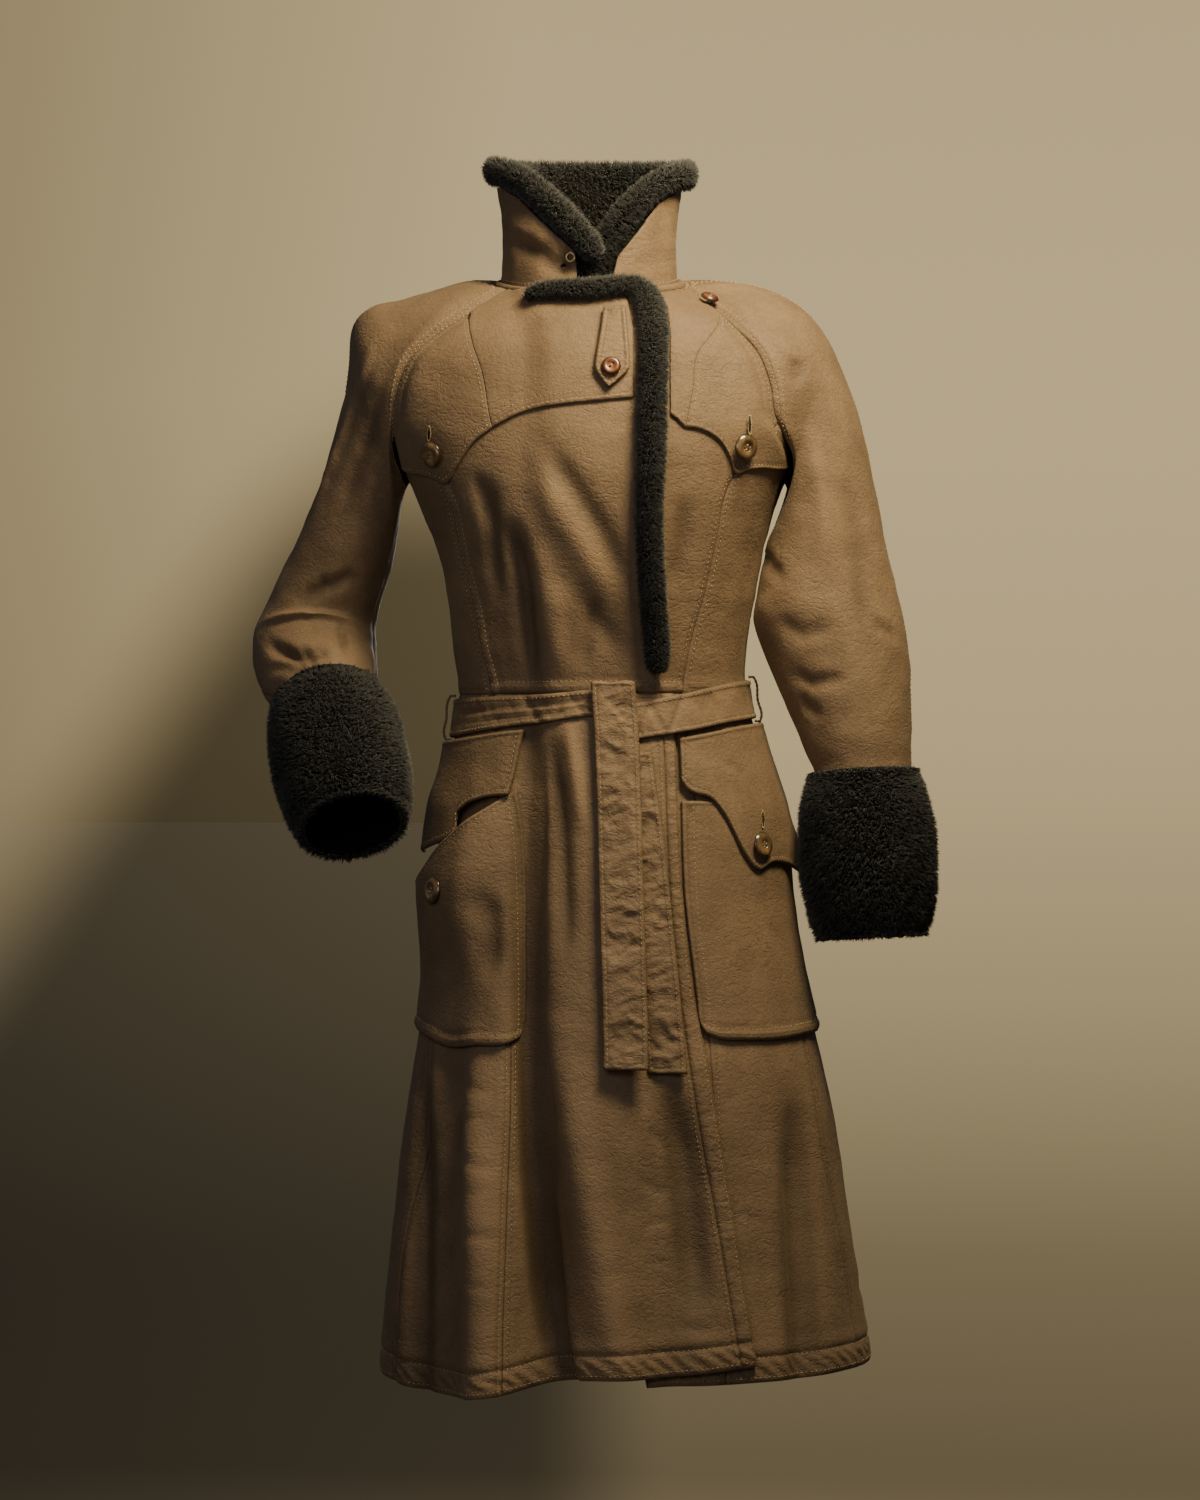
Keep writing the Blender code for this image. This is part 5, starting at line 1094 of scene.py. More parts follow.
def make_sleeve(side, sections):
    """A raglan sleeve cut in a front and a back piece, joined over the arm and under it."""
    for name, facing, loop in zip(("front", "back"), (1, -1), fine_loop(side)):
        pitch = PITCH_FRONT if facing > 0 else PITCH_BACK
        points, way = sleeve_grid(sections, facing, loop, pitch)
        relief = 0.0011 * wander(points, 0.09, 5) + 0.0005 * wander(points, 0.035, 6)
        for width, reach, path in sleeve_paths(points, SLEEVE_CREASES[side["name"]]):
            relief += pressed(points, path, width, reach)
        outer, inner = drawn_in(points, SEAM * 0.3), drawn_in(points - way * HIDE, SEAM * 0.3)
        if side["sign"] * facing > 0:
            outer, inner, way, relief = outer[:, ::-1], inner[:, ::-1], way[:, ::-1], relief[:, ::-1]
        over = "right" if side["sign"] * facing > 0 else "left"
        rows = (("top", SEAM_ROW), ("top", 0.0115), (over, 0.005))
        node = f"sleeve_{side['name']}_{name}"
        leather_piece("suede_" + node, node, outer[::-1], inner[::-1], way[::-1], relief[::-1],
                      stitches=rows)


# ---------------------------------------------------------------- pieces that lie on the coat

def make_yokes():
    """The front yokes and the storm flaps that button down over the princess seams."""
    def flap_lift(u, v):
        return YOKE_LIFT + 0.0016 * ease((np.abs(u) - 60) / 18)

    def over_lap(u, v):
        return flap_lift(u, v) + lap_lift(u, v)

    left, right = SIDES
    outside = armhole(left, np.linspace(-0.178, -0.0335, 50))
    inside = yoke_seam(left, 50)
    low = curved(np.concatenate([inside[:1], on_body(FLAP_HEM_LEFT), [(70, -0.1835)], outside[:1]]), 90)
    edges = (low, line(inside[-1], outside[-1], 60), inside, outside)
    cloth("storm_flap_left", body, edges, YOKE_THICK, flap_lift, kinds=FREE_BELOW,
          stitches=(("bottom", TURNED_ROW), ("left", 0.0045)), sinks=("top", "right"))

    outside = armhole(right, np.linspace(-0.176, -0.031, 50))
    inside = yoke_seam(right, 50)
    low = curved(np.concatenate([outside[:1], [(-77.5, -0.1835)], on_body(FLAP_HEM_RIGHT)[::-1],
                                 inside[:1]]), 90)
    edges = (low, line(outside[-1], inside[-1], 60), outside, inside)
    cloth("storm_flap_right", body, edges, YOKE_THICK, over_lap, kinds=FREE_BELOW,
          stitches=(("bottom", TURNED_ROW), ("right", 0.0045)), sinks=("top", "left"))

    corner = armhole(right, np.linspace(-0.03, -0.004, 14)[1:])
    seam_edge = np.concatenate([inside, corner])
    heights = np.linspace(-0.1215, -0.004, 60)
    across = np.interp(heights, (-0.12, -0.05, -0.02, -0.004), (0.0345, 0.0345, 0.03, 0.025))
    lap_side = np.stack([angle_at(across, heights), heights], -1)
    low = curved(np.concatenate([inside[:1], on_body(YOKE_HEM_RIGHT)[:-1], lap_side[:1]]), 60)
    cloth("yoke_right", body, (low, line(seam_edge[-1], lap_side[-1], 60), seam_edge, lap_side), YOKE_THICK,
          over_lap, kinds=FREE_BELOW,
          stitches=(("bottom", 0.0045), ("bottom", 0.0115)))

    inside = yoke_seam(left, 50)
    corner = armhole(left, np.linspace(-0.033, -0.004, 14)[1:])
    seam_edge = np.concatenate([inside, corner])
    heights = np.linspace(-0.136, -0.004, 60)
    across = np.interp(heights, (-0.136, -0.05, -0.02, -0.004), (0.071, 0.071, 0.068, 0.06))
    near = np.stack([angle_at(across, heights), heights], -1)
    low = chained(np.concatenate([near[:1], on_body(((0.0768, -0.14),)), inside[:1]]), 30)
    cloth("yoke_left", body, (low, line(near[-1], seam_edge[-1], 30), near, seam_edge), YOKE_THICK,
          YOKE_LIFT, kinds=FREE_BELOW, stitches=(("bottom", TURNED_ROW),))


def make_pockets():
    """Patch pockets on the skirt and their shaped flaps. The right pocket is pulled open."""
    def flap_edges(lower, first, last):
        """The four edges of a flap that starts under the belt between two angles."""
        upper = np.stack([np.linspace(first, last, 80), np.zeros(80)], -1)
        upper[:, 1] = belt_low(upper[:, 0]) - FLAP_DROP
        return lower, upper, line(lower[0], upper[0], 30), line(lower[-1], upper[-1], 30)

    front = curved(on_body(POCKET_LEFT_FRONT))
    base = curved(np.concatenate([front[:1], on_body(POCKET_LEFT_BASE), [(84, -0.7395), (96, -0.738)]]), 80)
    far = line(base[-1], (96, front[-1, 1]), 60)
    cloth("pocket_left", body, (base, line(front[-1], far[-1], 60), front, far), SKIN, SKIN + 1.6 * REST,
          kinds=BOUND_BELOW,
          stitches=(("bottom", BOUND_ROW), ("left", BOUND_ROW)))

    front = curved(on_body(POCKET_RIGHT_FRONT))
    base = curved(np.concatenate([front[:1], on_body(POCKET_RIGHT_BASE),
                                  [(-84, -0.738), (-95, -0.736)]])[::-1], 80)
    mouth = np.concatenate([front[-1:], on_body(POCKET_RIGHT_MOUTH), [(-76, -0.585), (-95, -0.598)]])[::-1]
    mouth = curved(mouth, 80)
    far = line(base[0], mouth[0], 60)

    def pulled(u, v):
        """The mouth stands away from the skirt, where a hand goes in."""
        gape = 0.02 * ease((-u - 42) / 15) * ease((97 + u) / 22) * ease((v + 0.7) / 0.12)
        return SKIN + 1.8 * REST + gape

    cloth("pocket_right", body, (base, mouth, far, front), SKIN, pulled,
          kinds=BOUND_BELOW,
          stitches=(("bottom", BOUND_ROW), ("right", BOUND_ROW), ("top", TURNED_ROW)))

    lower = curved(np.concatenate([on_body(FLAP_LEFT_HEM), [(74, -0.573), (84, -0.585), (96, -0.605)]]), 80)
    flap = flap_edges(lower, float(angle_at(0.0785, -0.45)), 96)

    def flicked(u, v):
        """The flap's free end curls away from the pocket."""
        return 2 * SKIN + 3.0 * REST + 0.014 * ease((u - 72) / 22) * ease((-0.52 - v) / 0.07)

    cloth("pocket_flap_left", body, flap, SKIN, flicked, kinds=LAID,
          stitches=(("bottom", TURNED_ROW), ("left", TURNED_ROW)))

    lower = curved(np.concatenate([on_body(FLAP_RIGHT_HEM), [(-76, -0.556), (-96, -0.565)]])[::-1], 80)
    flap = flap_edges(lower, -96, -38.5)

    def pushed(u, v):
        """This flap is pushed out by the open pocket below it."""
        return 2 * SKIN + 4.8 * REST + 0.005 * ease((-u - 44) / 30) * ease((-0.47 - v) / 0.05)

    cloth("pocket_flap_right", body, flap, SKIN, pushed, kinds=LAID,
          stitches=(("bottom", TURNED_ROW), ("right", TURNED_ROW)))


def make_tab():
    """The pointed throat tab, buttoned down on the right yoke."""
    lift = LAP + 2 * SKIN + 3.8 * REST
    rows = between_rows(TAB, np.linspace(4, 0, 48))
    share = np.linspace(0, 1, 16)[None]
    left, right, height = (rows[:, k:k + 1] for k in range(3))
    across = left * (1 - share) + right * share
    nose = 0.002 * (1 - np.abs(2 * share - 1)) * ease((-0.1 - height) / 0.015)
    level = height - nose
    turn = angle_at(across, level)
    place, out = body(turn, level), normals(body, turn, level)
    relief = body_relief(place) * 0.6
    leather_piece("suede_throat_tab", "throat_tab", place + out * lift, place + out * (lift - SKIN), out,
                  relief, LAID, (("left", 0.003), ("right", 0.003), ("left", 0.0075), ("right", 0.0075)))


# ---------------------------------------------------------------- belt

BELT_CREASES = ((17, 0.3, 8), (24, 0.55, -6), (33, 0.42, 10), (325, 0.5, -9), (338, 0.35, 7),
                (346, 0.6, -8))


def make_belt():
    """The band round the waist: folded along its upper third, with small creases across it near the knot."""
    angles = np.concatenate([np.linspace(14, 60, 70), np.linspace(61, 285, 130), np.linspace(286, 357, 96)])
    shares = np.concatenate([[0, 0.035, 0.08], np.linspace(0.14, 0.86, 9), [0.92, 0.965, 1]])
    u, v = np.meshgrid(angles, shares)
    place = belt_surface(u, v)
    out = normals(belt_surface, u, v, 0.4, 0.05)
    relief = 0.0008 * wander(place, 0.03, 21) + 0.0005 * wander(place, 0.014, 22)
    folded = ease((u - 270) / 30)
    relief = relief - 0.0028 * folded * (np.exp(-(((v - 0.62) / 0.06) ** 2))
                                         + 0.7 * np.exp(-(((v - 0.3) / 0.05) ** 2)))
    for at, where, slant in BELT_CREASES:
        relief = relief - 0.0016 * np.exp(-(((u - at - slant * (v - where)) / 1.8) ** 2))
    leather_piece("suede_belt_band", "belt_band", place + out * SKIN, place, out, relief, LAID,
                  (("top", 0.004), ("bottom", 0.004)))


def make_belt_ends():
    """The end that falls over the belt, and the narrower end behind it."""
    fall = np.array([(-0.765, 0.0276), (-0.701, 0.0267), (-0.605, 0.0238), (-0.508, 0.0213),
                     (-0.45, 0.0193), (-0.42, 0.0172), (-0.396, 0.0155)])
    make_belt_end("belt_end_front", fall, BELT_END_WIDTH, 2 * SKIN + 4 * REST, folded=True)
    behind = np.array([(-0.77, 0.0675), (-0.701, 0.0617), (-0.624, 0.054), (-0.556, 0.0472),
                       (-0.508, 0.0405), (-0.462, 0.0345)])
    make_belt_end("belt_end_back", behind, BELT_END_WIDTH - 0.005, REST, folded=False)


def make_belt_end(name, path, width, lift, folded):
    """A strap that hangs clear in front of the skirt, puckered across, and folds back over at its top."""
    face = body(angle_at(path[:, 1:2] + np.linspace(-0.5, 0.5, 3) * width, path[:, :1]), path[:, :1])
    front = face[..., 1].min(axis=1) - LAP - SKIN - lift
    front = np.minimum(front, np.interp(path[:, 0], path[[0, -1], 0], front[[0, -1]]) + 0.004)
    keys = np.concatenate([path, front[:, None], np.full((len(path), 1), SKIN)], 1)
    if folded:
        keys = np.concatenate([keys, [(keys[-1, 0] + 0.5 * SKIN, keys[-1, 1], front[-1] + 0.5 * SKIN,
                                       0.0035)]])
    long = run_length(keys[:, :3])
    at = np.interp(paces(long[-1], 0.0022) * long[-1], long, np.arange(len(keys)))
    rows = between_rows(keys, at)
    share = paces(width, 0.0022)[None]
    height, middle, depth = (rows[:, k:k + 1] for k in range(3))
    curl = 0.0012 * np.cos(height * 2 * math.pi / 0.21 + 1.0)
    outer = np.stack([middle + (share - 0.5) * width + 0 * height, depth + curl * (2 * share - 1),
                      height + 0 * share], -1)
    inner = outer + np.array((0.0, 1.0, 0.0)) * SKIN
    out = grid_normals(outer)

    def ridges(drawn, size, seed, stir, stir_size, stir_seed):
        """Ridges of about this spacing across the strap, drawn out along it and stirred by a finer noise."""
        bent = outer * (drawn, 1, 1) + stir * wander(outer, stir_size, stir_seed)[..., None]
        return 1 - 2 * np.abs(wander(bent, size, seed))

    inside = ease(np.minimum(share, 1 - share) * width / 0.007)
    broad, fine = ridges(0.55, 0.034, 31, 0.004, 0.02, 33), ridges(0.6, 0.019, 34, 0.003, 0.015, 35)
    relief = 0.0013 * broad + 0.0007 * fine
    relief = relief * inside + 0.0009 * wander(outer * (0.5, 1, 1), 0.045, 32)
    leather_piece("suede_" + name, name, outer, inner, out, relief, LAID,
                  (("left", 0.0045), ("right", 0.0045)), creased=0.45)


def make_belt_loops():
    """A thin carrier loop at each side seam: a twisted cord on a short route that clears the belt."""
    for side, sign in (("left", 1), ("right", -1)):
        middle = float(belt_at(sign * 90, "height"))
        route = np.array([(0.0016, 0.0225), (0.0068, 0.0222), (0.0092, 0.018), (0.0096, 0.0),
                          (0.0092, -0.0175), (0.0068, -0.0212), (0.0016, -0.0215)])
        places = body(np.full(len(route), sign * 90.0), middle + route[:, 1])
        places[:, 0] += sign * (route[:, 0] + 0.0014)
        places = curved(places, 60)
        side_way = np.tile(np.array((0.0, 1.0, 0.0)), (len(places), 1))
        rings = round_rings(places, side_way, 0.0012, 0.0012, 10)
        twist = 1 + 0.16 * np.sin(np.arange(60)[:, None, None] * 1.3
                                  + np.linspace(0, 4 * math.pi, 10)[None, :, None])
        rings = places[:, None] + (rings - places[:, None]) * twist
        made = solid_of_rings(f"cord_belt_loop_{side}", rings, MATERIALS["suede"], plain_masks(rings))
        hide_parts(f"belt_loop_{side}")


def plain_masks(points):
    """The masks of suede that has no seam, no rubbed ridges and no painted trough shade."""
    shape = points.shape[:2]
    return {"edge": np.ones(shape), "along": np.zeros(shape), "ridge_rub_trough_shade": np.full(shape, 0.5)}


def solid_of_rings(name, rings, material, masks=None):
    """A closed solid through rings of points, with a fan of triangles over each end ring."""
    count, sides = rings.shape[:2]
    body_quads = quads(count, sides, around=True)
    ring = np.arange(sides)
    ahead = np.roll(ring, -1)
    start, end = count * sides, count * sides + 1
    last = (count - 1) * sides
    faces = np.concatenate([
        body_quads[:, [0, 1, 2]], body_quads[:, [0, 2, 3]],
        np.stack([ahead, ring, np.full(sides, start)], -1),
        np.stack([last + ring, last + ahead, np.full(sides, end)], -1),
    ])
    points = np.concatenate([rings.reshape(-1, 3), rings[:1].mean(axis=1), rings[-1:].mean(axis=1)])
    if masks:
        masks = {mask: np.concatenate([values.ravel(), values[:1].ravel()[:1], values[-1:].ravel()[:1]])
                 for mask, values in masks.items()}
    return make_mesh(name, points, faced_out(points, faces), (material,), None, masks)


# ---------------------------------------------------------------- fur

def scattered(cell, salt):
    """A repeatable random number from 0 to 1 for each cell of space."""
    value = np.sin(cell @ np.array((127.1, 311.7, 74.7)) + salt) * 43758.5453
    return value - np.floor(value)


def tufted(root, clump):
    """The nearest tuft to each root, and a number for it: tufts sit on a shaken lattice of this spacing."""
    cell = np.floor(root / clump)
    best = np.full(len(root), np.inf)
    centre = np.zeros_like(root)
    tone = np.zeros(len(root))
    for dx in (-1, 0, 1):
        for dy in (-1, 0, 1):
            for dz in (-1, 0, 1):
                near = cell + (dx, dy, dz)
                shake = np.stack([scattered(near, salt) for salt in (1.0, 2.0, 3.0)], -1)
                place = (near + shake) * clump
                away = ((place - root) ** 2).sum(-1)
                closer = away < best
                best[closer] = away[closer]
                centre[closer] = place[closer]
                tone[closer] = scattered(near, 4.0)[closer]
    return centre, tone


def fur(name, points, out, spacing, length, clump, seed, lean=(0.0, 0.0, -0.25), thick=0.0006, stray=0.17):
    """Hairs on a grid: each is a slim cone of four triangles that leans to its tuft, and a little down.

    Roots are spread by area. A tip is the root plus the way out, the pull to its tuft and a small shake.
    """
    draw = np.random.default_rng(seed)
    cells = cell_areas(points)
    chance = cells.ravel() / cells.sum()
    count = int(cells.sum() / spacing**2)
    picked = draw.choice(len(chance), count, p=chance)
    i, j = np.divmod(picked, points.shape[1] - 1)
    s, t = draw.random((2, count, 1))

    def spread(field):
        low = field[i, j] * (1 - s) + field[i, j + 1] * s
        return low * (1 - t) + (field[i + 1, j] * (1 - s) + field[i + 1, j + 1] * s) * t

    root, way = spread(points), unit(spread(out))
    centre, tone = tufted(root, clump)
    pull = centre - root
    pull -= way * (pull * way).sum(1, keepdims=True)
    long = (length * (0.86 + 0.26 * tone) * draw.uniform(0.82, 1.12, count))[:, None]
    shake = draw.normal(size=(count, 3)) * stray
    heading = unit(way + pull / length * 0.45 + np.array(lean) + shake)
    tip = root + heading * long
    side = unit(np.cross(heading, draw.normal(size=(count, 3))))
    other = np.cross(heading, side)
    foot = root - way * 0.0006
    turn = np.radians((0, 120, 240))
    ring = side[:, None] * np.cos(turn)[None, :, None] + other[:, None] * np.sin(turn)[None, :, None]
    base = foot[:, None] + ring * thick
    hairs = np.concatenate([base, tip[:, None]], 1)
    shape = np.array([(0, 1, 3), (1, 2, 3), (2, 0, 3), (0, 2, 1)])
    masks = {"tip": np.tile((0.0, 0.0, 0.0, 1.0), count), "tone": np.repeat(tone, 4)}
    made = make_mesh(name, hairs.reshape(-1, 3), many(shape, count, 4), (MATERIALS["fur"],), None, masks)
    return made


def rounded_ends(count, over):
    """Shares along a roll of this many points, rounding its two ends off over some of them."""
    ends = np.minimum(np.arange(count), np.arange(count)[::-1])
    return np.sqrt(np.clip(1 - (1 - ends / over).clip(0) ** 2, 0.01, 1))


def closed_skin(name, points, material):
    """A skin that is closed both ways round, such as a cuff's, turned to face outwards."""
    rows, columns = points.shape[:2]
    index = np.arange(rows * columns).reshape(rows, columns)
    faces = np.stack([index, np.roll(index, -1, 1), np.roll(index, (-1, -1), (0, 1)),
                      np.roll(index, -1, 0)], -1)
    faces = faces.reshape(-1, 4)
    flat = points.reshape(-1, 3)
    return make_mesh(name, flat, faced_out(flat, faces), (material,))


def make_cuff(side, place):
    """A deep fur cuff: a closed pelt round the wrist and the hairs that stand on it."""
    along = np.array(place["along"], float)
    along /= np.linalg.norm(along)
    out = np.array(place["out"], float)
    out -= along * out.dot(along)
    out /= np.linalg.norm(out)
    ahead = np.cross(along, out)
    share, radius = (column(CUFF_PROFILE, CUFF_COLUMNS, name) for name in CUFF_COLUMNS)
    at = np.linspace(0.012, 0.988, 34)
    outer = smooth(share, radius, at) - FUR_DEPTH
    profile = np.concatenate([
        [(0.3, CUFF_BORE + 0.0008), (0.04, CUFF_BORE + 0.0008), (0.016, CUFF_BORE + 0.002)],
        np.stack([at, np.maximum(outer, CUFF_BORE + 0.0016)], -1),
        [(0.984, CUFF_BORE + 0.002), (0.96, CUFF_BORE + 0.0008), (0.7, CUFF_BORE + 0.0008)],
    ])
    turn = np.linspace(0, 2 * math.pi, 72, endpoint=False)
    spoke = np.cos(turn)[:, None] * out + np.sin(turn)[:, None] * ahead
    spot = np.array(place["top"]) + along * CUFF_LENGTH * profile[:, :1]
    points = spot[:, None] + spoke[None] * profile[:, 1][:, None, None]
    points[3:-3] += spoke[None] * 0.0012 * wander(points[3:-3], 0.045, 41)[..., None]
    pelt = closed_skin(f"pelt_cuff_{side}", points, MATERIALS["pelt"])
    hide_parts(f"cuff_{side}")
    ring = np.concatenate([points, points[:, :1]], 1)[1:-1]
    way = grid_normals(ring)
    if way[10, 0] @ spoke[0] < 0:
        way = -way
    fur(f"fur_cuff_{side}", ring, way, FUR_SPACING, FUR_LENGTH, clump=0.0062, seed=50 + (side == "left"),
        lean=along * 0.35 + np.array((0, 0, -0.1)), thick=0.00075, stray=0.13)


def make_collar():
    """The stand collar in skin, its fur inside, and the roll of fur along its edge."""
    front = 60  # points of the roll's path that run up each front edge

    def neckline(angles, rise):
        """Points along the neckline, this much above it."""
        mean, fall = NECK_TILT
        return np.stack([angles, mean - fall * np.cos(np.radians(angles)) + rise], -1)

    def up_to_roll(clear):
        """The four edges of a sheet that ends this far clear of the roll."""
        rim, foot = roll_path(270, clear)[0], neckline(np.linspace(*STAND_FRONTS, 150), 0.0015)
        left = np.concatenate([foot[:1], rim[10: front + 1]])
        right = np.concatenate([foot[-1:], rim[-11: -front - 2: -1]])
        return foot, rim[front: len(rim) - front], left, right

    def laid(edges, pitch):
        """Points and ways out on the collar, over a panel's grid."""
        flat = panel(collar, edges, pitch)
        u, v = flat[..., 0], flat[..., 1]
        return collar(u, v), normals(collar, u, v)

    place, out = laid(up_to_roll(0.0014), 0.005)
    relief = 0.0009 * wander(place, 0.05, 11) + 0.0004 * wander(place, 0.02, 12)
    seen = place[place[..., 1] < -0.01]
    for width, reach, path in sleeve_paths(seen, COLLAR_CREASES):
        relief += pressed(place, path, width, reach)
    leather_piece("suede_collar_stand", "collar_stand", drawn_in(place, SEAM),
                  drawn_in(place - out * SKIN, SEAM), out, relief, ("flat",) * 4,
                  (("bottom", TURNED_ROW),))

    place, out = laid(up_to_roll(-0.007), 0.0055)
    lift = -SKIN - 0.0046
    outer, inner = drawn_in(place + out * lift, SEAM), drawn_in(place + out * (lift - 0.003), SEAM)
    pelt = shell("pelt_collar", outer, inner, {}, (MATERIALS["pelt"], MATERIALS["pelt"]))
    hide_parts("collar_fur_lining")
    fur("fur_collar_inside", inner, -out, spacing=0.0021, length=0.0048, clump=0.006, seed=61,
        lean=(0, 0, 0.15), thick=0.0007)

    turns = np.linspace(-17, 19, 40)
    bottom = neckline(turns, -0.004)
    top = np.stack([turns, 0.022 + np.where(turns < 5, 0.0018 * (5 - turns), 0.0024 * (turns - 5))], -1)
    place, out = laid((bottom, top, line(bottom[0], top[0], 20), line(bottom[-1], top[-1], 20)), 0.003)
    middle = place - out * 0.0105
    pelt = shell("pelt_collar_front", middle, middle - out * 0.003, {},
                 (MATERIALS["pelt"], MATERIALS["pelt"]))
    fur("fur_collar_front", middle, out, spacing=0.00125, length=0.008, clump=0.0055, seed=64,
        lean=(0, 0, -0.15), thick=0.00055)

    turns = np.linspace(-180, 180, 220)
    foot = neckline(turns, 0.0015)[:, 1]
    low, high = body(turns, 0 * turns), collar(turns, foot)
    middle = (low + high) / 2 + (0, 0, 0.0004)
    wide = np.linalg.norm(high - low, axis=1) / 2 + 0.0012
    rings = round_rings(middle, normals(collar, turns, foot), wide, wide * 0.85, 12)
    piping = solid_of_rings("piping_neck_seam", rings, MATERIALS["suede"], plain_masks(rings))

    path, half, tuck = roll_path(300)
    place, out = collar(path[:, 0], path[:, 1], 1.0), normals(collar, path[:, 0], path[:, 1])
    close = rounded_ends(300, 9.0)
    middle = place + out * tuck[:, None]
    rings = round_rings(middle, out, (half - ROLL_FUR * 0.75) * close,
                        (ROLL_DEPTH / 2 - ROLL_FUR * 0.75) * close, 24)
    pelt = solid_of_rings("pelt_collar_roll", rings, MATERIALS["pelt"])
    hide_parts("collar_fur_roll")
    ring = np.concatenate([rings, rings[:, :1]], 1)
    way = unit(ring - middle[:, None])
    fur("fur_collar_roll", ring, way, spacing=0.00132, length=ROLL_FUR * 0.95, clump=0.0055, seed=62,
        lean=(0, 0, -0.1), thick=0.00062, stray=0.25)


def make_trim():
    """The fur along the lapping edge of the bodice: a domed strip on the outer face."""
    across, height, half = (column(TRIM, TRIM_COLUMNS, name) for name in TRIM_COLUMNS)
    keys = between_rows(np.stack([across, height, half], -1), np.linspace(0, len(TRIM) - 1, 220))
    across, height, half = keys.T
    angle = angle_at(across, height)
    place, out = body(angle, height), normals(body, angle, height)
    place = place + out * (lap_lift(angle, height) + SKIN + 3.4 * REST + body_relief(place))[:, None]
    close = rounded_ends(220, 7.0)
    depth = (TRIM_DEPTH * np.minimum(1, half / 0.012) - ROLL_FUR * 0.8) * close
    rings = round_rings(place, out, (half - ROLL_FUR * 0.6) * close, depth, 18, flat=True)
    pelt = solid_of_rings("pelt_front_trim", rings, MATERIALS["pelt"])
    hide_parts("front_fur_trim")
    way = unit(rings - place[:, None])
    fur("fur_front_trim", rings, way, spacing=0.00118, length=ROLL_FUR * 0.95, clump=0.005, seed=63,
        lean=(0.25, 0, -0.45), thick=0.00062, stray=0.34)


# ---------------------------------------------------------------- buttons and hook

BUTTON_PROFILE = ((0.0, 0.004), (0.28, 0.0041), (0.45, 0.005), (0.62, 0.0054), (0.8, 0.0048),
                  (0.93, 0.0034), (1.0, 0.0022), (0.95, 0.0013), (0.85, 0.0008), (0.0, 0.0004))


def button_place(across, height, angle=None):
    """Where a button sits on the body, and its three axes."""
    turn = float(angle_at(across, height)) if angle is None else angle
    place = body(np.array([turn]), np.array([height]))[0]
    out = normals(body, np.array([turn]), np.array([height]))[0]
    side = np.cross((0, 0, 1), out)
    side /= np.linalg.norm(side)
    return place, side, np.cross(out, side), out


def make_button(name, spot, lift, diameter, holes, material, tilt):
    """A turned button: its profile carried round, with a small pit for each hole in its dished face."""
    place, side, up, out = spot
    radius = diameter / 2
    share, rise = np.array(BUTTON_PROFILE).T
    steps = run_length(np.stack([share * radius, rise], -1))
    rows, sides = 52, 48
    at = np.linspace(0.0002, 1, rows) * steps[-1] * 0.999
    reach, rise = np.interp(at, steps, share * radius), np.interp(at, steps, rise)
    turn = np.linspace(0, 2 * math.pi, sides, endpoint=False)
    x, y = reach[:, None] * np.cos(turn), reach[:, None] * np.sin(turn)
    z = np.repeat(rise[:, None], sides, 1)
    top = (np.arange(rows) < np.searchsorted(at, steps[6]))[:, None]
    spots = tilt + np.arange(holes) * 2 * math.pi / holes
    ring = radius * 0.24
    for spot_turn in spots:
        away = np.hypot(x - ring * math.cos(spot_turn), y - ring * math.sin(spot_turn))
        z = z - top * 0.0021 * (1 - ease((away - 0.0006) / 0.0007))
    base = place + out * lift
    rings = base + x[..., None] * side + y[..., None] * up + z[..., None] * out
    made = solid_of_rings("turned_" + name, rings, material, {"rim": np.hypot(x, y) / radius})
    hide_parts(name)
    corners = np.stack([np.cos(spots), np.sin(spots)], -1) * ring
    pairs = ((0, 1),) if holes == 2 else ((0, 1), (2, 3))
    lines = []
    for a, b in pairs:
        ends = np.stack([corners[a], corners[b]])
        ends = ends[0] + (ends[1] - ends[0]) * np.array([(-0.05,), (1.05,)])
        lines.append(base + ends[:, :1] * side + ends[:, 1:] * up + out * 0.0041)
    thread(f"thread_{name}", lines, out, MATERIALS["thread"])


def thread(name, lines, out, material, width=0.0011):
    """Short straight threads, each a slim bead between two points."""
    start = np.array([row[0] for row in lines])
    end = np.array([row[1] for row in lines])
    up = np.broadcast_to(out, start.shape)
    side = np.cross(end - start, up)
    side *= width / 2 / np.linalg.norm(side, axis=1, keepdims=True)
    middle = (start + end) / 2
    beads = np.stack([start, end, middle + side, middle - side, middle + up * width * 0.6,
                      middle - up * width * 0.6], 1)
    return beaded(name, beads, material)


def make_buttonhole(name, across, top, bottom, lift):
    """A worked buttonhole: a slot painted dark as the shadow in the cut, with a ring of small stitches round
    it.
    """
    heights = np.array((top, bottom))
    turn = angle_at(np.full(2, across), heights)
    ends = body(turn, heights) + normals(body, turn, heights) * lift
    out = normals(body, turn, heights).mean(axis=0)
    out /= np.linalg.norm(out)
    along = ends[1] - ends[0]
    long = np.linalg.norm(along)
    along /= long
    side = np.cross(along, out)
    turn = np.linspace(0, 2 * math.pi, 46, endpoint=False)
    middle = ends.mean(axis=0)
    middle = middle + out * body_relief(middle[None])[0]
    ring = np.cos(turn)[:, None] * along * long / 2 + np.sin(turn)[:, None] * side * 0.0011
    outer = np.cos(turn)[:, None] * along * (long / 2 + 0.0018) + np.sin(turn)[:, None] * side * 0.0031
    thread("stitching_" + name, [(middle + a, middle + b) for a, b in zip(ring, outer)], out,
           MATERIALS["thread"], 0.0008)
    heights = np.array((-0.0004, 0.0002))
    rings = middle + out * heights[:, None, None] + ring[None]
    solid_of_rings("slot_" + name, rings, MATERIALS["dark"])


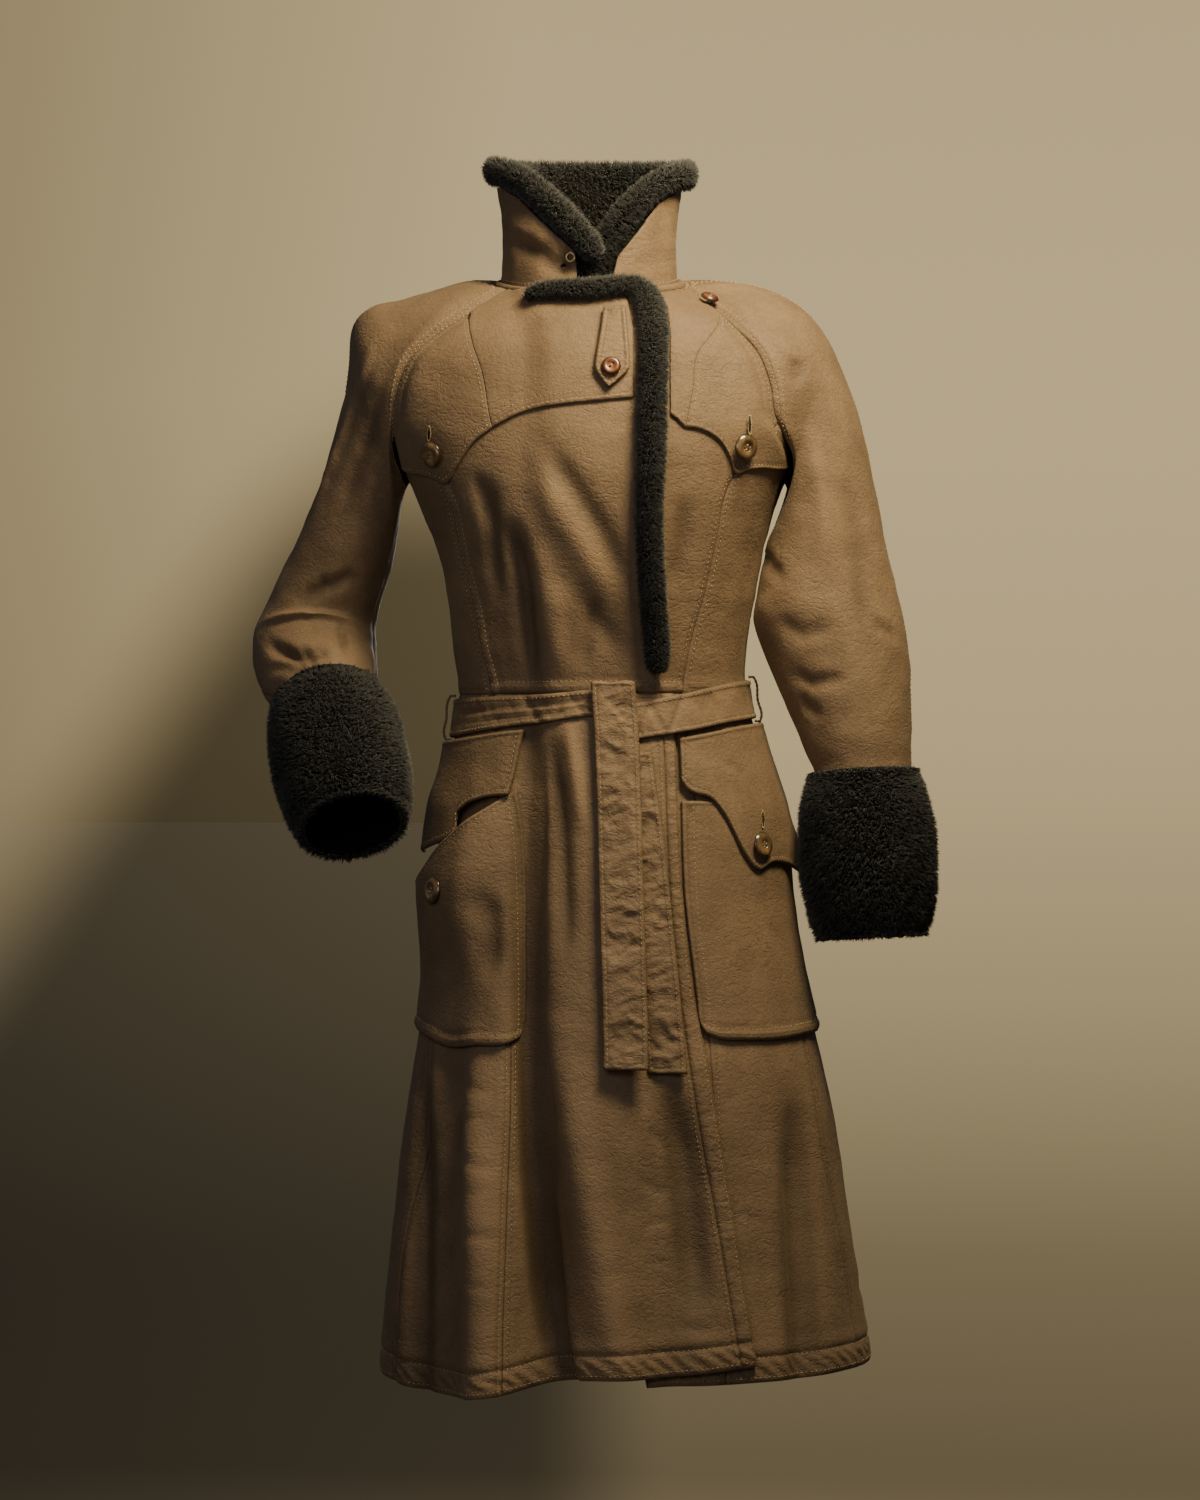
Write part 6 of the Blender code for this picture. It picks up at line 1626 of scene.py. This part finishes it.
def make_buttons():
    """Horn buttons on the storm flaps and pockets, nut-brown ones on the tab and the left shoulder."""
    on_flap = SKIN + 4.2 * REST
    horn, nut = MATERIALS["horn"], MATERIALS["nut"]
    rows = (
        ("storm_button_left", button_place(0.1399, -0.1646), on_flap, BUTTON_WIDE, 4, horn, 0.5),
        ("storm_button_right", button_place(-0.1558, -0.1697), on_flap, BUTTON_WIDE, 4, horn, 0.9),
        ("throat_button", button_place(0.0135, -0.0945), LAP + 2 * SKIN + 4.3 * REST,
         BUTTON_SMALL, 2, nut, 0.8),
        ("shoulder_button", button_place(0.1086, -0.0181), SKIN + 3.2 * REST, BUTTON_SMALL, 2, nut, 0.3),
        ("pocket_button_left", button_place(0.1537, -0.5539), 2 * SKIN + 3.6 * REST,
         BUTTON_WIDE, 4, horn, 0.7),
        ("pocket_button_right", button_place(0.0, -0.6, -64.9), SKIN + 2.2 * REST + 0.019,
         BUTTON_WIDE, 4, horn, 0.2),
    )
    for row in rows:
        make_button(*row)
    make_buttonhole("hole_storm_left", 0.145, -0.136, -0.152, SKIN + 3.4 * REST)
    make_buttonhole("hole_storm_right", -0.16, -0.145, -0.157, SKIN + 3.6 * REST)
    make_buttonhole("hole_pocket_left", 0.1556, -0.5224, -0.537, 2 * SKIN + 3.2 * REST)


# ---------------------------------------------------------------- materials

MATERIALS = {}


def add(tree, kind, links=None, **values):
    """A shader node with its inputs set by name, and sockets of other nodes linked to them."""
    made = tree.nodes.new("ShaderNode" + kind)
    for name, value in values.items():
        if hasattr(made, name):
            setattr(made, name, value)
        else:
            made.inputs[name.replace("_", " ")].default_value = value
    for name, socket in (links or {}).items():
        tree.links.new(socket, made.inputs[name])
    return made


def sums(tree, operation, first, second=0.0, clamp=False):
    """One Math node: each side is a socket or a number. Some operations read only the first."""
    made = tree.nodes.new("ShaderNodeMath")
    made.operation = operation
    made.use_clamp = clamp
    for slot, value in enumerate((first, second)):
        if isinstance(value, (int, float)):
            made.inputs[slot].default_value = value
        else:
            tree.links.new(value, made.inputs[slot])
    return made.outputs[0]


def plus(tree, first, second, clamp=False):
    """The sum of two sockets or numbers."""
    return sums(tree, "ADD", first, second, clamp)


def minus(tree, first, second, clamp=False):
    """The first socket or number less the second."""
    return sums(tree, "SUBTRACT", first, second, clamp)


def times(tree, first, second, clamp=False):
    """The product of two sockets or numbers."""
    return sums(tree, "MULTIPLY", first, second, clamp)


def mask(tree, name):
    """A mask that is stored on the mesh's points."""
    return add(tree, "Attribute", attribute_name=name).outputs["Fac"]


def grain(tree, coords, scale, detail=3.0, rough=0.55, stretch=None):
    """Noise over an object's coordinates, from 0 to 1, stretched by these scales if given."""
    if stretch is not None:
        coords = add(tree, "Mapping", {"Vector": coords}, Scale=stretch).outputs[0]
    return add(tree, "TexNoise", {"Vector": coords}, Scale=scale, Detail=detail,
               Roughness=rough).outputs["Fac"]


def group_named(name, inputs, outputs):
    """An empty node group with named value inputs and outputs, and its two end nodes."""
    tree = bpy.data.node_groups.new(name, "ShaderNodeTree")
    for label, kind, value in inputs:
        socket = tree.interface.new_socket(label, in_out="INPUT", socket_type=kind)
        if value is not None:
            socket.default_value = value
    for label, kind in outputs:
        tree.interface.new_socket(label, in_out="OUTPUT", socket_type=kind)
    return tree, tree.nodes.new("NodeGroupInput"), tree.nodes.new("NodeGroupOutput")


def nap_group():
    """Creased, pebbled skin: patchy shade, a net of soft crosswise wrinkles and a fine pebble, as masks.

    The wrinkles are the borders of stretched cells whose places are stirred by noise, and they come and
    go in patches. Heights are in millimetres.
    """
    tree, enter, leave = group_named(
        "creased skin",
        (("Patches", "NodeSocketFloat", 11.0), ("Wrinkles", "NodeSocketFloat", 105.0),
         ("Pebble", "NodeSocketFloat", 360.0), ("Creased", "NodeSocketFloat", 0.0)),
        (("Shade", "NodeSocketFloat"), ("Height", "NodeSocketFloat"), ("Crease", "NodeSocketFloat")),
    )
    coords = add(tree, "TexCoord").outputs["Object"]
    patches = add(tree, "TexNoise", {"Vector": coords, "Scale": enter.outputs["Patches"]}, Detail=7.0,
                  Roughness=0.66, Distortion=0.8).outputs["Fac"]
    stir = add(tree, "TexNoise", {"Vector": coords}, Scale=38.0, Detail=4.0, Roughness=0.6).outputs["Color"]
    bent = tree.nodes.new("ShaderNodeVectorMath")
    bent.operation = "MULTIPLY_ADD"
    tree.links.new(stir, bent.inputs[0])
    bent.inputs[1].default_value = (0.03, 0.03, 0.022)
    tree.links.new(coords, bent.inputs[2])
    wide = add(tree, "Mapping", {"Vector": bent.outputs[0]}, Scale=(0.55, 0.55, 1.25)).outputs[0]
    net = add(tree, "TexVoronoi", {"Vector": wide, "Scale": enter.outputs["Wrinkles"]},
              feature="DISTANCE_TO_EDGE", Randomness=1.0).outputs["Distance"]
    crease = sums(tree, "EXPONENT", times(tree, net, -13.0))
    where = grain(tree, coords, 16.0, 3.0, 0.6)
    where = times(tree, minus(tree, where, 0.38), 4.5, True)
    rough = enter.outputs["Creased"]
    crease = times(tree, crease, sums(tree, "MAXIMUM", where, rough))
    pebble = add(tree, "TexVoronoi", {"Vector": bent.outputs[0], "Scale": enter.outputs["Pebble"]},
                 Randomness=1.0).outputs["Distance"]
    broad = grain(tree, coords, 52.0, 3.0, 0.55, stretch=(0.8, 0.8, 1.5))
    fine = grain(tree, coords, 290.0, 5.0, 0.7)
    shade = plus(tree, times(tree, patches, 0.58), times(tree, fine, 0.42))
    depth = plus(tree, times(tree, rough, -0.4), -0.27)
    height = plus(tree, times(tree, crease, depth), times(tree, pebble, -0.36))
    height = plus(tree, height, times(tree, broad, 0.4))
    folds = grain(tree, coords, 105.0, 4.0, 0.55, stretch=(0.7, 0.7, 1.3))
    folds = sums(tree, "ABSOLUTE", minus(tree, folds, 0.5))
    height = plus(tree, height, times(tree, times(tree, folds, rough), -3.4))
    height = plus(tree, height, times(tree, fine, 0.42))
    tree.links.new(shade, leave.inputs["Shade"])
    tree.links.new(height, leave.inputs["Height"])
    tree.links.new(crease, leave.inputs["Crease"])
    return tree


def seam_group():
    """Seam puckers and painted shade from the distance to the edge: slight puckers that run into it, and
    dark lines of painted shade in the seam groove and along the stitch row.
    """
    tree, enter, leave = group_named(
        "seam puckers and groove shade",
        (("Edge", "NodeSocketFloat", 1.0), ("Along", "NodeSocketFloat", 0.0)),
        (("Dark", "NodeSocketFloat"), ("Height", "NodeSocketFloat")),
    )
    coords = add(tree, "TexCoord").outputs["Object"]
    edge, along = enter.outputs["Edge"], enter.outputs["Along"]

    def bell(middle, width):
        gap = sums(tree, "DIVIDE", minus(tree, edge, middle), width)
        return sums(tree, "EXPONENT", times(tree, times(tree, gap, gap), -1.0))

    noise = grain(tree, coords, 45.0, 3.0)
    stir = times(tree, noise, 22.0)
    turn = plus(tree, times(tree, along, 2 * math.pi / 0.0074), stir)
    wave = sums(tree, "SINE", turn)
    puckers = times(tree, times(tree, wave, bell(0.0065, 0.0065)), noise)
    groove = times(tree, bell(0.005, 0.0013), 0.22)
    height = minus(tree, times(tree, puckers, 0.12), groove)
    # Painted shade: a dark line along the stitch row and another in the seam groove at the edge.
    lines = times(tree, bell(0.005, 0.0016), 0.28)
    dark = plus(tree, times(tree, bell(0.0, 0.0009), 0.45), lines, True)
    tree.links.new(dark, leave.inputs["Dark"])
    tree.links.new(height, leave.inputs["Height"])
    return tree


def place_group(tree, group, **links):
    """A group node in a material, with sockets linked by name."""
    made = tree.nodes.new("ShaderNodeGroup")
    made.node_tree = group
    for name, value in links.items():
        if isinstance(value, (int, float)):
            made.inputs[name].default_value = value
        else:
            tree.links.new(value, made.inputs[name])
    return made


def new_material(name, roughness, **constants):
    """A Principled material with its plain numbers set on the shader itself."""
    material = bpy.data.materials.new(name)
    material.use_nodes = True
    tree = material.node_tree
    shader = tree.nodes["Principled BSDF"]
    shader.inputs["Roughness"].default_value = roughness
    for label, value in constants.items():
        shader.inputs[label.replace("_", " ")].default_value = value
    return material, tree, shader


def ramp(tree, value, stops):
    """A colour ramp over a value from 0 to 1."""
    made = tree.nodes.new("ShaderNodeValToRGB")
    tree.links.new(value, made.inputs[0])
    points = made.color_ramp.elements
    while len(points) < len(stops):
        points.new(0.5)
    for point, (at, colour) in zip(points, stops):
        point.position = at
        point.color = (*colour, 1.0)
    return made.outputs[0]


def mixed(tree, share, first, second, blend="MIX"):
    """Two colours mixed by a share, each a socket or a plain colour."""
    made = tree.nodes.new("ShaderNodeMix")
    made.data_type = "RGBA"
    made.blend_type = blend
    for slot, value in ((0, share), (6, first), (7, second)):
        if isinstance(value, tuple):
            made.inputs[slot].default_value = (*value, 1.0)
        elif isinstance(value, (int, float)):
            made.inputs[slot].default_value = value
        else:
            tree.links.new(value, made.inputs[slot])
    return made.outputs[2]


def bump(tree, height, strength, distance, shader):
    """A Bump node from a height into a shader's normal."""
    made = add(tree, "Bump", {"Height": height}, Strength=strength, Distance=distance)
    tree.links.new(made.outputs[0], shader.inputs["Normal"])


def scaled(colour, by):
    """A colour made lighter or darker."""
    return tuple(min(1.0, part * by) for part in colour)


def suede_material(colour, nap, seams):
    """Tan napped skin: patchy, paler as rubbed nap on ridges; painted shade in wrinkles, troughs, seams and
    stitch lines.
    """
    material, tree, shader = new_material("suede", 0.62, Sheen_Weight=0.08, Sheen_Roughness=0.5,
                                          Specular_IOR_Level=0.32)
    shader.inputs["Sheen Tint"].default_value = (1.0, 0.8, 0.52, 1.0)
    skin = place_group(tree, nap, Creased=mask(tree, "creased"))
    edge = mask(tree, "edge")
    along = mask(tree, "along")
    ridge_rub_trough_shade = mask(tree, "ridge_rub_trough_shade")
    seam_puckers_and_shade = place_group(tree, seams, Edge=edge, Along=along)
    base = ramp(tree, skin.outputs["Shade"],
                ((0.3, scaled(colour, 0.66)), (0.46, scaled(colour, 0.9)), (0.56, scaled(colour, 1.08)),
                 (0.7, scaled(colour, 1.36))))
    # painted shade in the fine wrinkles
    base = mixed(tree, times(tree, skin.outputs["Crease"], 0.16), base, scaled(colour, 0.35))
    # painted shade in troughs and seam grooves
    base = mixed(tree, times(tree, minus(tree, 0.5, ridge_rub_trough_shade), 1.1, True), base,
                 scaled(colour, 0.35))
    # ridges paler as rubbed nap
    base = mixed(tree, times(tree, minus(tree, ridge_rub_trough_shade, 0.5), 0.7, True), base,
                 scaled(colour, 1.45))
    # painted shade in the seam groove and along the stitch row
    base = mixed(tree, times(tree, seam_puckers_and_shade.outputs["Dark"], 0.85), base, scaled(colour, 0.2))
    tree.links.new(base, shader.inputs["Base Color"])
    turn = mask(tree, "rope_turn")
    rope = mask(tree, "rope")
    ropes = times(tree, times(tree, sums(tree, "SINE", turn), rope), 0.5)
    height = plus(tree, skin.outputs["Height"], seam_puckers_and_shade.outputs["Height"])
    bump(tree, plus(tree, height, ropes), 1.0, 0.001, shader)
    return material


def fur_materials(colour):
    """Dark fleece: hairs painted with shade at the root and a highlight at the tip, varied by tuft, over a
    darker, clumpy pelt with painted shade between its tufts.
    """
    hair, tree, shader = new_material("fur", 0.7, Sheen_Weight=0.22, Sheen_Roughness=0.6,
                                      Specular_IOR_Level=0.3)
    tip = mask(tree, "tip")
    tone = mask(tree, "tone")
    # painted shade at the roots, deep in the pile, and a painted highlight at the tips
    base = ramp(tree, tip, ((0.0, scaled(colour, 0.4)), (0.55, colour), (1.0, scaled(colour, 2.1))))
    base = mixed(tree, times(tree, tone, 0.32), base, scaled(colour, 0.35))
    tree.links.new(base, shader.inputs["Base Color"])
    pelt, tree, shader = new_material("pelt", 0.95, Specular_IOR_Level=0.1)
    coords = add(tree, "TexCoord").outputs["Object"]
    tufts = add(tree, "TexVoronoi", {"Vector": coords}, Scale=210.0, Randomness=1.0).outputs["Distance"]
    # painted shade in the gaps between the pelt's tufts
    base = ramp(tree, plus(tree, tufts, times(tree, grain(tree, coords, 320.0), 0.4)),
                ((0.2, scaled(colour, 1.0)), (0.9, scaled(colour, 0.45))))
    tree.links.new(base, shader.inputs["Base Color"])
    bump(tree, times(tree, tufts, -1.0), 0.9, 0.004, shader)
    return hair, pelt


def button_material(name, colour, streak, rough):
    """Polished horn or nut: wavy bands of a paler and a darker tone, with painted shade darkening the rim
    and fine scratches in the gloss.
    """
    material, tree, shader = new_material(name, rough, Coat_Weight=0.7, Coat_Roughness=0.15)
    coords = add(tree, "TexCoord").outputs["Object"]
    bands = grain(tree, coords, 95.0, 4.0, 0.6, stretch=(1.0, 1.0, 0.35))
    base = ramp(tree, bands, ((0.32, scaled(colour, 0.35)), (0.5, colour), (0.68, streak)))
    # painted shade darkens the button's rim
    rim = mask(tree, "rim")
    shaded = times(tree, minus(tree, rim, 0.72), 3.6, True)
    base = mixed(tree, shaded, base, scaled(colour, 0.12))
    tree.links.new(base, shader.inputs["Base Color"])
    rubbed = grain(tree, coords, 700.0, 3.0)
    tree.links.new(plus(tree, times(tree, rubbed, 0.3), rough - 0.12),
                   shader.inputs["Roughness"])
    bump(tree, rubbed, 0.25, 0.0003, shader)
    return material


def plain_thread(name, colour):
    """Twisted thread: fine slanting ply in colour and height."""
    material, tree, shader = new_material(name, 0.8, Specular_IOR_Level=0.3)
    coords = add(tree, "TexCoord").outputs["Object"]
    ply = grain(tree, coords, 1500.0, 2.0)
    tree.links.new(ramp(tree, ply, ((0.3, scaled(colour, 0.6)), (0.7, scaled(colour, 1.3)))),
                   shader.inputs["Base Color"])
    bump(tree, ply, 0.4, 0.0003, shader)
    return material


def brass_material(colour):
    """Dull plated brass with tarnish in its hollows."""
    material, tree, shader = new_material("hook_brass", 0.35, Metallic=0.9)
    coords = add(tree, "TexCoord").outputs["Object"]
    tarnish = grain(tree, coords, 400.0, 4.0)
    tree.links.new(ramp(tree, tarnish, ((0.35, scaled(colour, 0.35)), (0.65, colour))),
                   shader.inputs["Base Color"])
    bump(tree, tarnish, 0.2, 0.0003, shader)
    return material


def mix_materials(finishes):
    """Makes every material of the coat from the panel's colours."""
    nap, seams = nap_group(), seam_group()
    MATERIALS["suede"] = suede_material(tuple(finishes.suede), nap, seams)
    MATERIALS["fur"], MATERIALS["pelt"] = fur_materials(tuple(finishes.fur))
    MATERIALS["horn"] = button_material("button_horn", tuple(finishes.horn),
                                        scaled(tuple(finishes.horn), 2.0), 0.22)
    MATERIALS["nut"] = button_material("button_nut", tuple(finishes.nut), scaled(tuple(finishes.nut), 2.2),
                                       0.38)
    MATERIALS["thread"] = plain_thread("thread", tuple(finishes.thread))
    MATERIALS["dark"] = plain_thread("slot_shadow", scaled(tuple(finishes.suede), 0.12))
    MATERIALS["brass"] = brass_material((0.5, 0.38, 0.2))


# ---------------------------------------------------------------- stage

CAMERA_AWAY = 4.0
CAMERA_HEIGHT = -0.46
# painted brightening of the backdrop with height: shares of the way up and the brightness there
BACKDROP_RISE = ((0.05, 0.23), (0.19, 0.38), (0.35, 0.8), (0.5, 1.1), (0.72, 1.24), (1.0, 1.14))


def soft_light(name, place, aim, size, power, colour):
    """A square soft light aimed at a point."""
    lamp = bpy.data.lights.new(name, "AREA")
    lamp.shape = "RECTANGLE"
    lamp.size, lamp.size_y = size
    lamp.energy = power
    lamp.color = colour
    made = bpy.data.objects.new(name, lamp)
    bpy.context.scene.collection.objects.link(made)
    made.location = place
    way = mathutils.Vector(place) - mathutils.Vector(aim)
    made.rotation_euler = way.to_track_quat("Z", "Y").to_euler()
    return made


def backdrop_group():
    """How bright the backdrop looks by direction, as painted light: palest up and to the right, and a
    painted shadow of the coat low on the left.
    """
    tree, enter, leave = group_named(
        "backdrop shade", (("Across", "NodeSocketFloat", 0.0), ("Ahead", "NodeSocketFloat", 0.0),
                           ("Up", "NodeSocketFloat", 0.0)),
        (("Shade", "NodeSocketFloat"),))
    across, up = enter.outputs["Across"], enter.outputs["Up"]
    level = plus(tree, times(tree, up, 2.5), 0.5, True)
    rise = ramp(tree, level, tuple((at, (shade,) * 3) for at, shade in BACKDROP_RISE))
    side = sums(tree, "MINIMUM", plus(tree, times(tree, across, 3.4), 1.09), 1.02)
    side = sums(tree, "MAXIMUM", side, 0.5)
    corner = minus(tree, across, times(tree, up, 0.65))

    def fading(value, start, end):
        made = add(tree, "MapRange", interpolation_type="SMOOTHSTEP", From_Min=start, From_Max=end)
        tree.links.new(value, made.inputs[0])
        return made.outputs[0]

    # painted shadow of the coat on the backdrop, low on the left
    dim = times(tree, fading(corner, -0.145, -0.095), fading(across, 0.02, -0.02))
    dim = times(tree, dim, fading(up, 0.11, 0.04))
    dim = times(tree, dim, fading(across, -0.4, -0.22))
    dim = times(tree, dim, fading(enter.outputs["Ahead"], 0.0, 0.9))
    dim = minus(tree, 1.0, times(tree, dim, 0.82))
    shade = times(tree, times(tree, rise, side), dim)
    tree.links.new(shade, leave.inputs["Shade"])
    return tree


def make_stage(settings):
    """A floor that glows, for the camera only, with the backdrop's painted light and shadow; a world shown
    to the camera with the same painted light and shadow and lighting the coat with a plain room light; soft
    lights and the camera.
    """
    size = settings.floor_size / 2
    mesh = bpy.data.meshes.new("floor")
    corners = [(x * size, y * size, settings.floor_height) for x, y in ((-1, -1), (1, -1), (1, 1), (-1, 1))]
    mesh.from_pydata(corners, [], [(0, 1, 2, 3)])
    backdrop = backdrop_group()
    material, tree, shader = new_material("floor_paper", 0.9, Specular_IOR_Level=0.1)
    shader.inputs["Base Color"].default_value = (*settings.floor_colour, 1.0)
    # The floor glows for camera rays only, with the backdrop's painted light and painted shadow.
    shader.inputs["Emission Color"].default_value = (*settings.world_colour, 1.0)
    seen = add(tree, "LightPath").outputs["Is Camera Ray"]
    spot = add(tree, "SeparateXYZ", {"Vector": add(tree, "TexCoord").outputs["Object"]})
    squares = [times(tree, spot.outputs[axis], spot.outputs[axis]) for axis in (0, 1)]
    far = plus(tree, sums(tree, "SQRT", plus(tree, *squares)), CAMERA_AWAY)
    shade = place_group(tree, backdrop, Across=sums(tree, "DIVIDE", spot.outputs[0], far),
                        Ahead=spot.outputs[1],
                        Up=sums(tree, "DIVIDE", plus(tree, spot.outputs[2], -CAMERA_HEIGHT), far))
    glow = times(tree, shade.outputs["Shade"], settings.world_light * settings.floor_glow)
    tree.links.new(times(tree, seen, glow), shader.inputs["Emission Strength"])
    mesh.materials.append(material)
    floor = bpy.data.objects.new("floor", mesh)
    bpy.context.scene.collection.objects.link(floor)

    world = bpy.data.worlds.new("pale_room")
    world.use_nodes = True
    tree = world.node_tree
    sky = tree.nodes["Background"]
    # Camera rays see the backdrop's painted light and shadow in the world colour; other rays get the plain
    # room light.
    way = add(tree, "SeparateXYZ", {"Vector": add(tree, "TexCoord").outputs["Generated"]})
    shade = place_group(tree, backdrop, Across=way.outputs[0], Ahead=way.outputs[1], Up=way.outputs[2])
    seen = add(tree, "LightPath").outputs["Is Camera Ray"]
    tree.links.new(mixed(tree, seen, tuple(settings.room_colour), tuple(settings.world_colour)),
                   sky.inputs["Color"])
    shown = times(tree, seen,
                 times(tree, shade.outputs["Shade"], settings.world_light))
    lit = times(tree, minus(tree, 1.0, seen), settings.room_light)
    tree.links.new(plus(tree, shown, lit), sky.inputs["Strength"])
    bpy.context.scene.world = world

    soft_light("key", (0.39, -0.63, 0.66), (0.03, 0.0, -0.1), (0.42, 0.42), settings.key_light,
               (1.0, 0.84, 0.51))
    soft_light("fill", (-0.4, -1.5, -0.15), (-0.08, 0.0, -0.3), (0.7, 0.7), settings.fill_light,
               (1.0, 0.95, 0.88))
    rear = soft_light("rear", (0.15, 2.0, 0.05), (0.0, 0.0, -0.45), (0.8, 0.8), settings.rear_light,
                      (1.0, 0.93, 0.8))
    rear.visible_camera = False

    camera = bpy.data.cameras.new("camera")
    camera.lens = 96
    camera.sensor_width = 36
    camera.clip_end = 200
    made = bpy.data.objects.new("camera", camera)
    bpy.context.scene.collection.objects.link(made)
    made.location = (0.003, -CAMERA_AWAY, CAMERA_HEIGHT)
    made.rotation_euler = (math.radians(90), 0, 0)
    bpy.context.scene.camera = made


# ---------------------------------------------------------------- add-on

def colour_setting(label, purpose, default):
    """A colour shown in the panel."""
    return bpy.props.FloatVectorProperty(name=label, description=purpose, subtype="COLOR", size=3,
                                         default=default, min=0.0, max=1.0)


def number_setting(label, purpose, default, measure="NONE", least=0.0):
    """A number shown in the panel."""
    return bpy.props.FloatProperty(name=label, description=purpose, unit=measure, default=default, min=least)


class CoatFinishes(bpy.types.PropertyGroup):
    """Colours of the coat's materials."""

    suede: colour_setting("Suede", "Colour of the brushed skin", (0.222, 0.146, 0.087))
    fur: colour_setting("Fur", "Colour of the fleece", (0.015, 0.0145, 0.013))
    thread: colour_setting("Thread", "Colour of the stitching", (0.56, 0.41, 0.24))
    horn: colour_setting("Horn", "Colour of the horn buttons", (0.17, 0.105, 0.048))
    nut: colour_setting("Nut", "Colour of the nut buttons", (0.2, 0.07, 0.028))


class CoatStage(bpy.types.PropertyGroup):
    """Sizes, colours and powers of the stage."""

    floor_height: number_setting("Floor height", "How high the floor lies", -1.62, "LENGTH", -100.0)
    floor_size: number_setting("Floor size", "Length of the floor's sides", 120.0, "LENGTH", 1.0)
    floor_colour: colour_setting("Floor colour", "Colour of the floor", (0.15, 0.125, 0.09))
    # the floor's glow is painted light, seen by the camera only
    floor_glow: number_setting("Floor glow", "How far the floor shares the backdrop's glow", 0.96)
    # the world colour is seen by the camera only, on the painted backdrop and the floor's glow; the room
    # colour lights the coat
    world_colour: colour_setting("World colour", "Colour of the room's light", (0.66, 0.51, 0.265))
    world_light: number_setting("World light", "How bright the backdrop looks", 0.75)
    room_colour: colour_setting("Room colour", "Colour of the light all round", (0.54, 0.62, 0.74))
    room_light: number_setting("Room light", "Strength of the light all round", 0.11)
    key_light: number_setting("Key light", "Power of the main soft light", 26.0, "POWER")
    fill_light: number_setting("Fill light", "Power of the weak soft light", 3.2, "POWER")
    rear_light: number_setting("Rear light", "Power of the soft light on the back", 18.0, "POWER")


class COAT_OT_bodice(bpy.types.Operator):
    """Make the bodice and the skirt in suede"""

    bl_idname = "coat.body"
    bl_label = "Bodice and skirt"

    def execute(self, context):
        mix_materials(context.scene.coat_finishes)
        BODY_CREASES.extend(body_creases())
        make_bodice()
        make_skirt()
        return {"FINISHED"}


class COAT_OT_sleeves(bpy.types.Operator):
    """Make the raglan sleeves in suede"""

    bl_idname = "coat.sleeves"
    bl_label = "Sleeves"

    def execute(self, context):
        make_sleeve(SIDES[0], LEFT_SLEEVE)
        make_sleeve(SIDES[1], RIGHT_SLEEVE)
        return {"FINISHED"}


class COAT_OT_laid(bpy.types.Operator):
    """Make the yokes, storm flaps, throat tab and pockets"""

    bl_idname = "coat.laid"
    bl_label = "Yokes, flaps and pockets"

    def execute(self, context):
        make_yokes()
        make_tab()
        make_pockets()
        return {"FINISHED"}


class COAT_OT_belt(bpy.types.Operator):
    """Make the belt, its two ends and its loops"""

    bl_idname = "coat.belt"
    bl_label = "Belt"

    def execute(self, context):
        make_belt()
        make_belt_ends()
        make_belt_loops()
        return {"FINISHED"}


class COAT_OT_fur(bpy.types.Operator):
    """Make the collar, the fur cuffs and the fur trim"""

    bl_idname = "coat.fur"
    bl_label = "Collar, cuffs and trim"

    def execute(self, context):
        make_collar()
        make_cuff("left", CUFF_LEFT)
        make_cuff("right", CUFF_RIGHT)
        make_trim()
        return {"FINISHED"}


class COAT_OT_fittings(bpy.types.Operator):
    """Make the buttons, buttonholes, hook and stitching"""

    bl_idname = "coat.fittings"
    bl_label = "Buttons and stitching"

    def execute(self, context):
        make_buttons()
        sew("stitching_coat", STITCH_LINES)
        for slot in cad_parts["collar_hook"].material_slots:
            slot.material = MATERIALS["brass"]
        return {"FINISHED"}


class COAT_OT_stage(bpy.types.Operator):
    """Make the floor, the lights and the camera"""

    bl_idname = "coat.stage"
    bl_label = "Stage"

    def execute(self, context):
        make_stage(context.scene.coat_stage)
        return {"FINISHED"}


OPERATORS = (COAT_OT_bodice, COAT_OT_sleeves, COAT_OT_laid, COAT_OT_belt, COAT_OT_fur, COAT_OT_fittings,
             COAT_OT_stage)


class COAT_PT_panel(bpy.types.Panel):
    """Lists the coat's colours and the steps that make it"""

    bl_label = "Coat"
    bl_idname = "COAT_PT_panel"
    bl_space_type = "VIEW_3D"
    bl_region_type = "UI"
    bl_category = "Coat"

    def draw(self, context):
        for group in (context.scene.coat_finishes, context.scene.coat_stage):
            for name in group.__annotations__:
                self.layout.prop(group, name)
        for step in OPERATORS:
            self.layout.operator(step.bl_idname)


CLASSES = (CoatFinishes, CoatStage, *OPERATORS, COAT_PT_panel)


def register():
    """Adds the classes and their settings to Blender."""
    for each in CLASSES:
        bpy.utils.register_class(each)
    bpy.types.Scene.coat_finishes = bpy.props.PointerProperty(type=CoatFinishes)
    bpy.types.Scene.coat_stage = bpy.props.PointerProperty(type=CoatStage)


def unregister():
    """Takes the settings and classes out again."""
    del bpy.types.Scene.coat_finishes
    del bpy.types.Scene.coat_stage
    for each in reversed(CLASSES):
        bpy.utils.unregister_class(each)


def main():
    """Makes the whole coat and its stage."""
    register()
    bpy.ops.coat.body()
    bpy.ops.coat.sleeves()
    bpy.ops.coat.laid()
    bpy.ops.coat.belt()
    bpy.ops.coat.fur()
    bpy.ops.coat.fittings()
    bpy.ops.coat.stage()


if __name__ == "__main__":
    main()
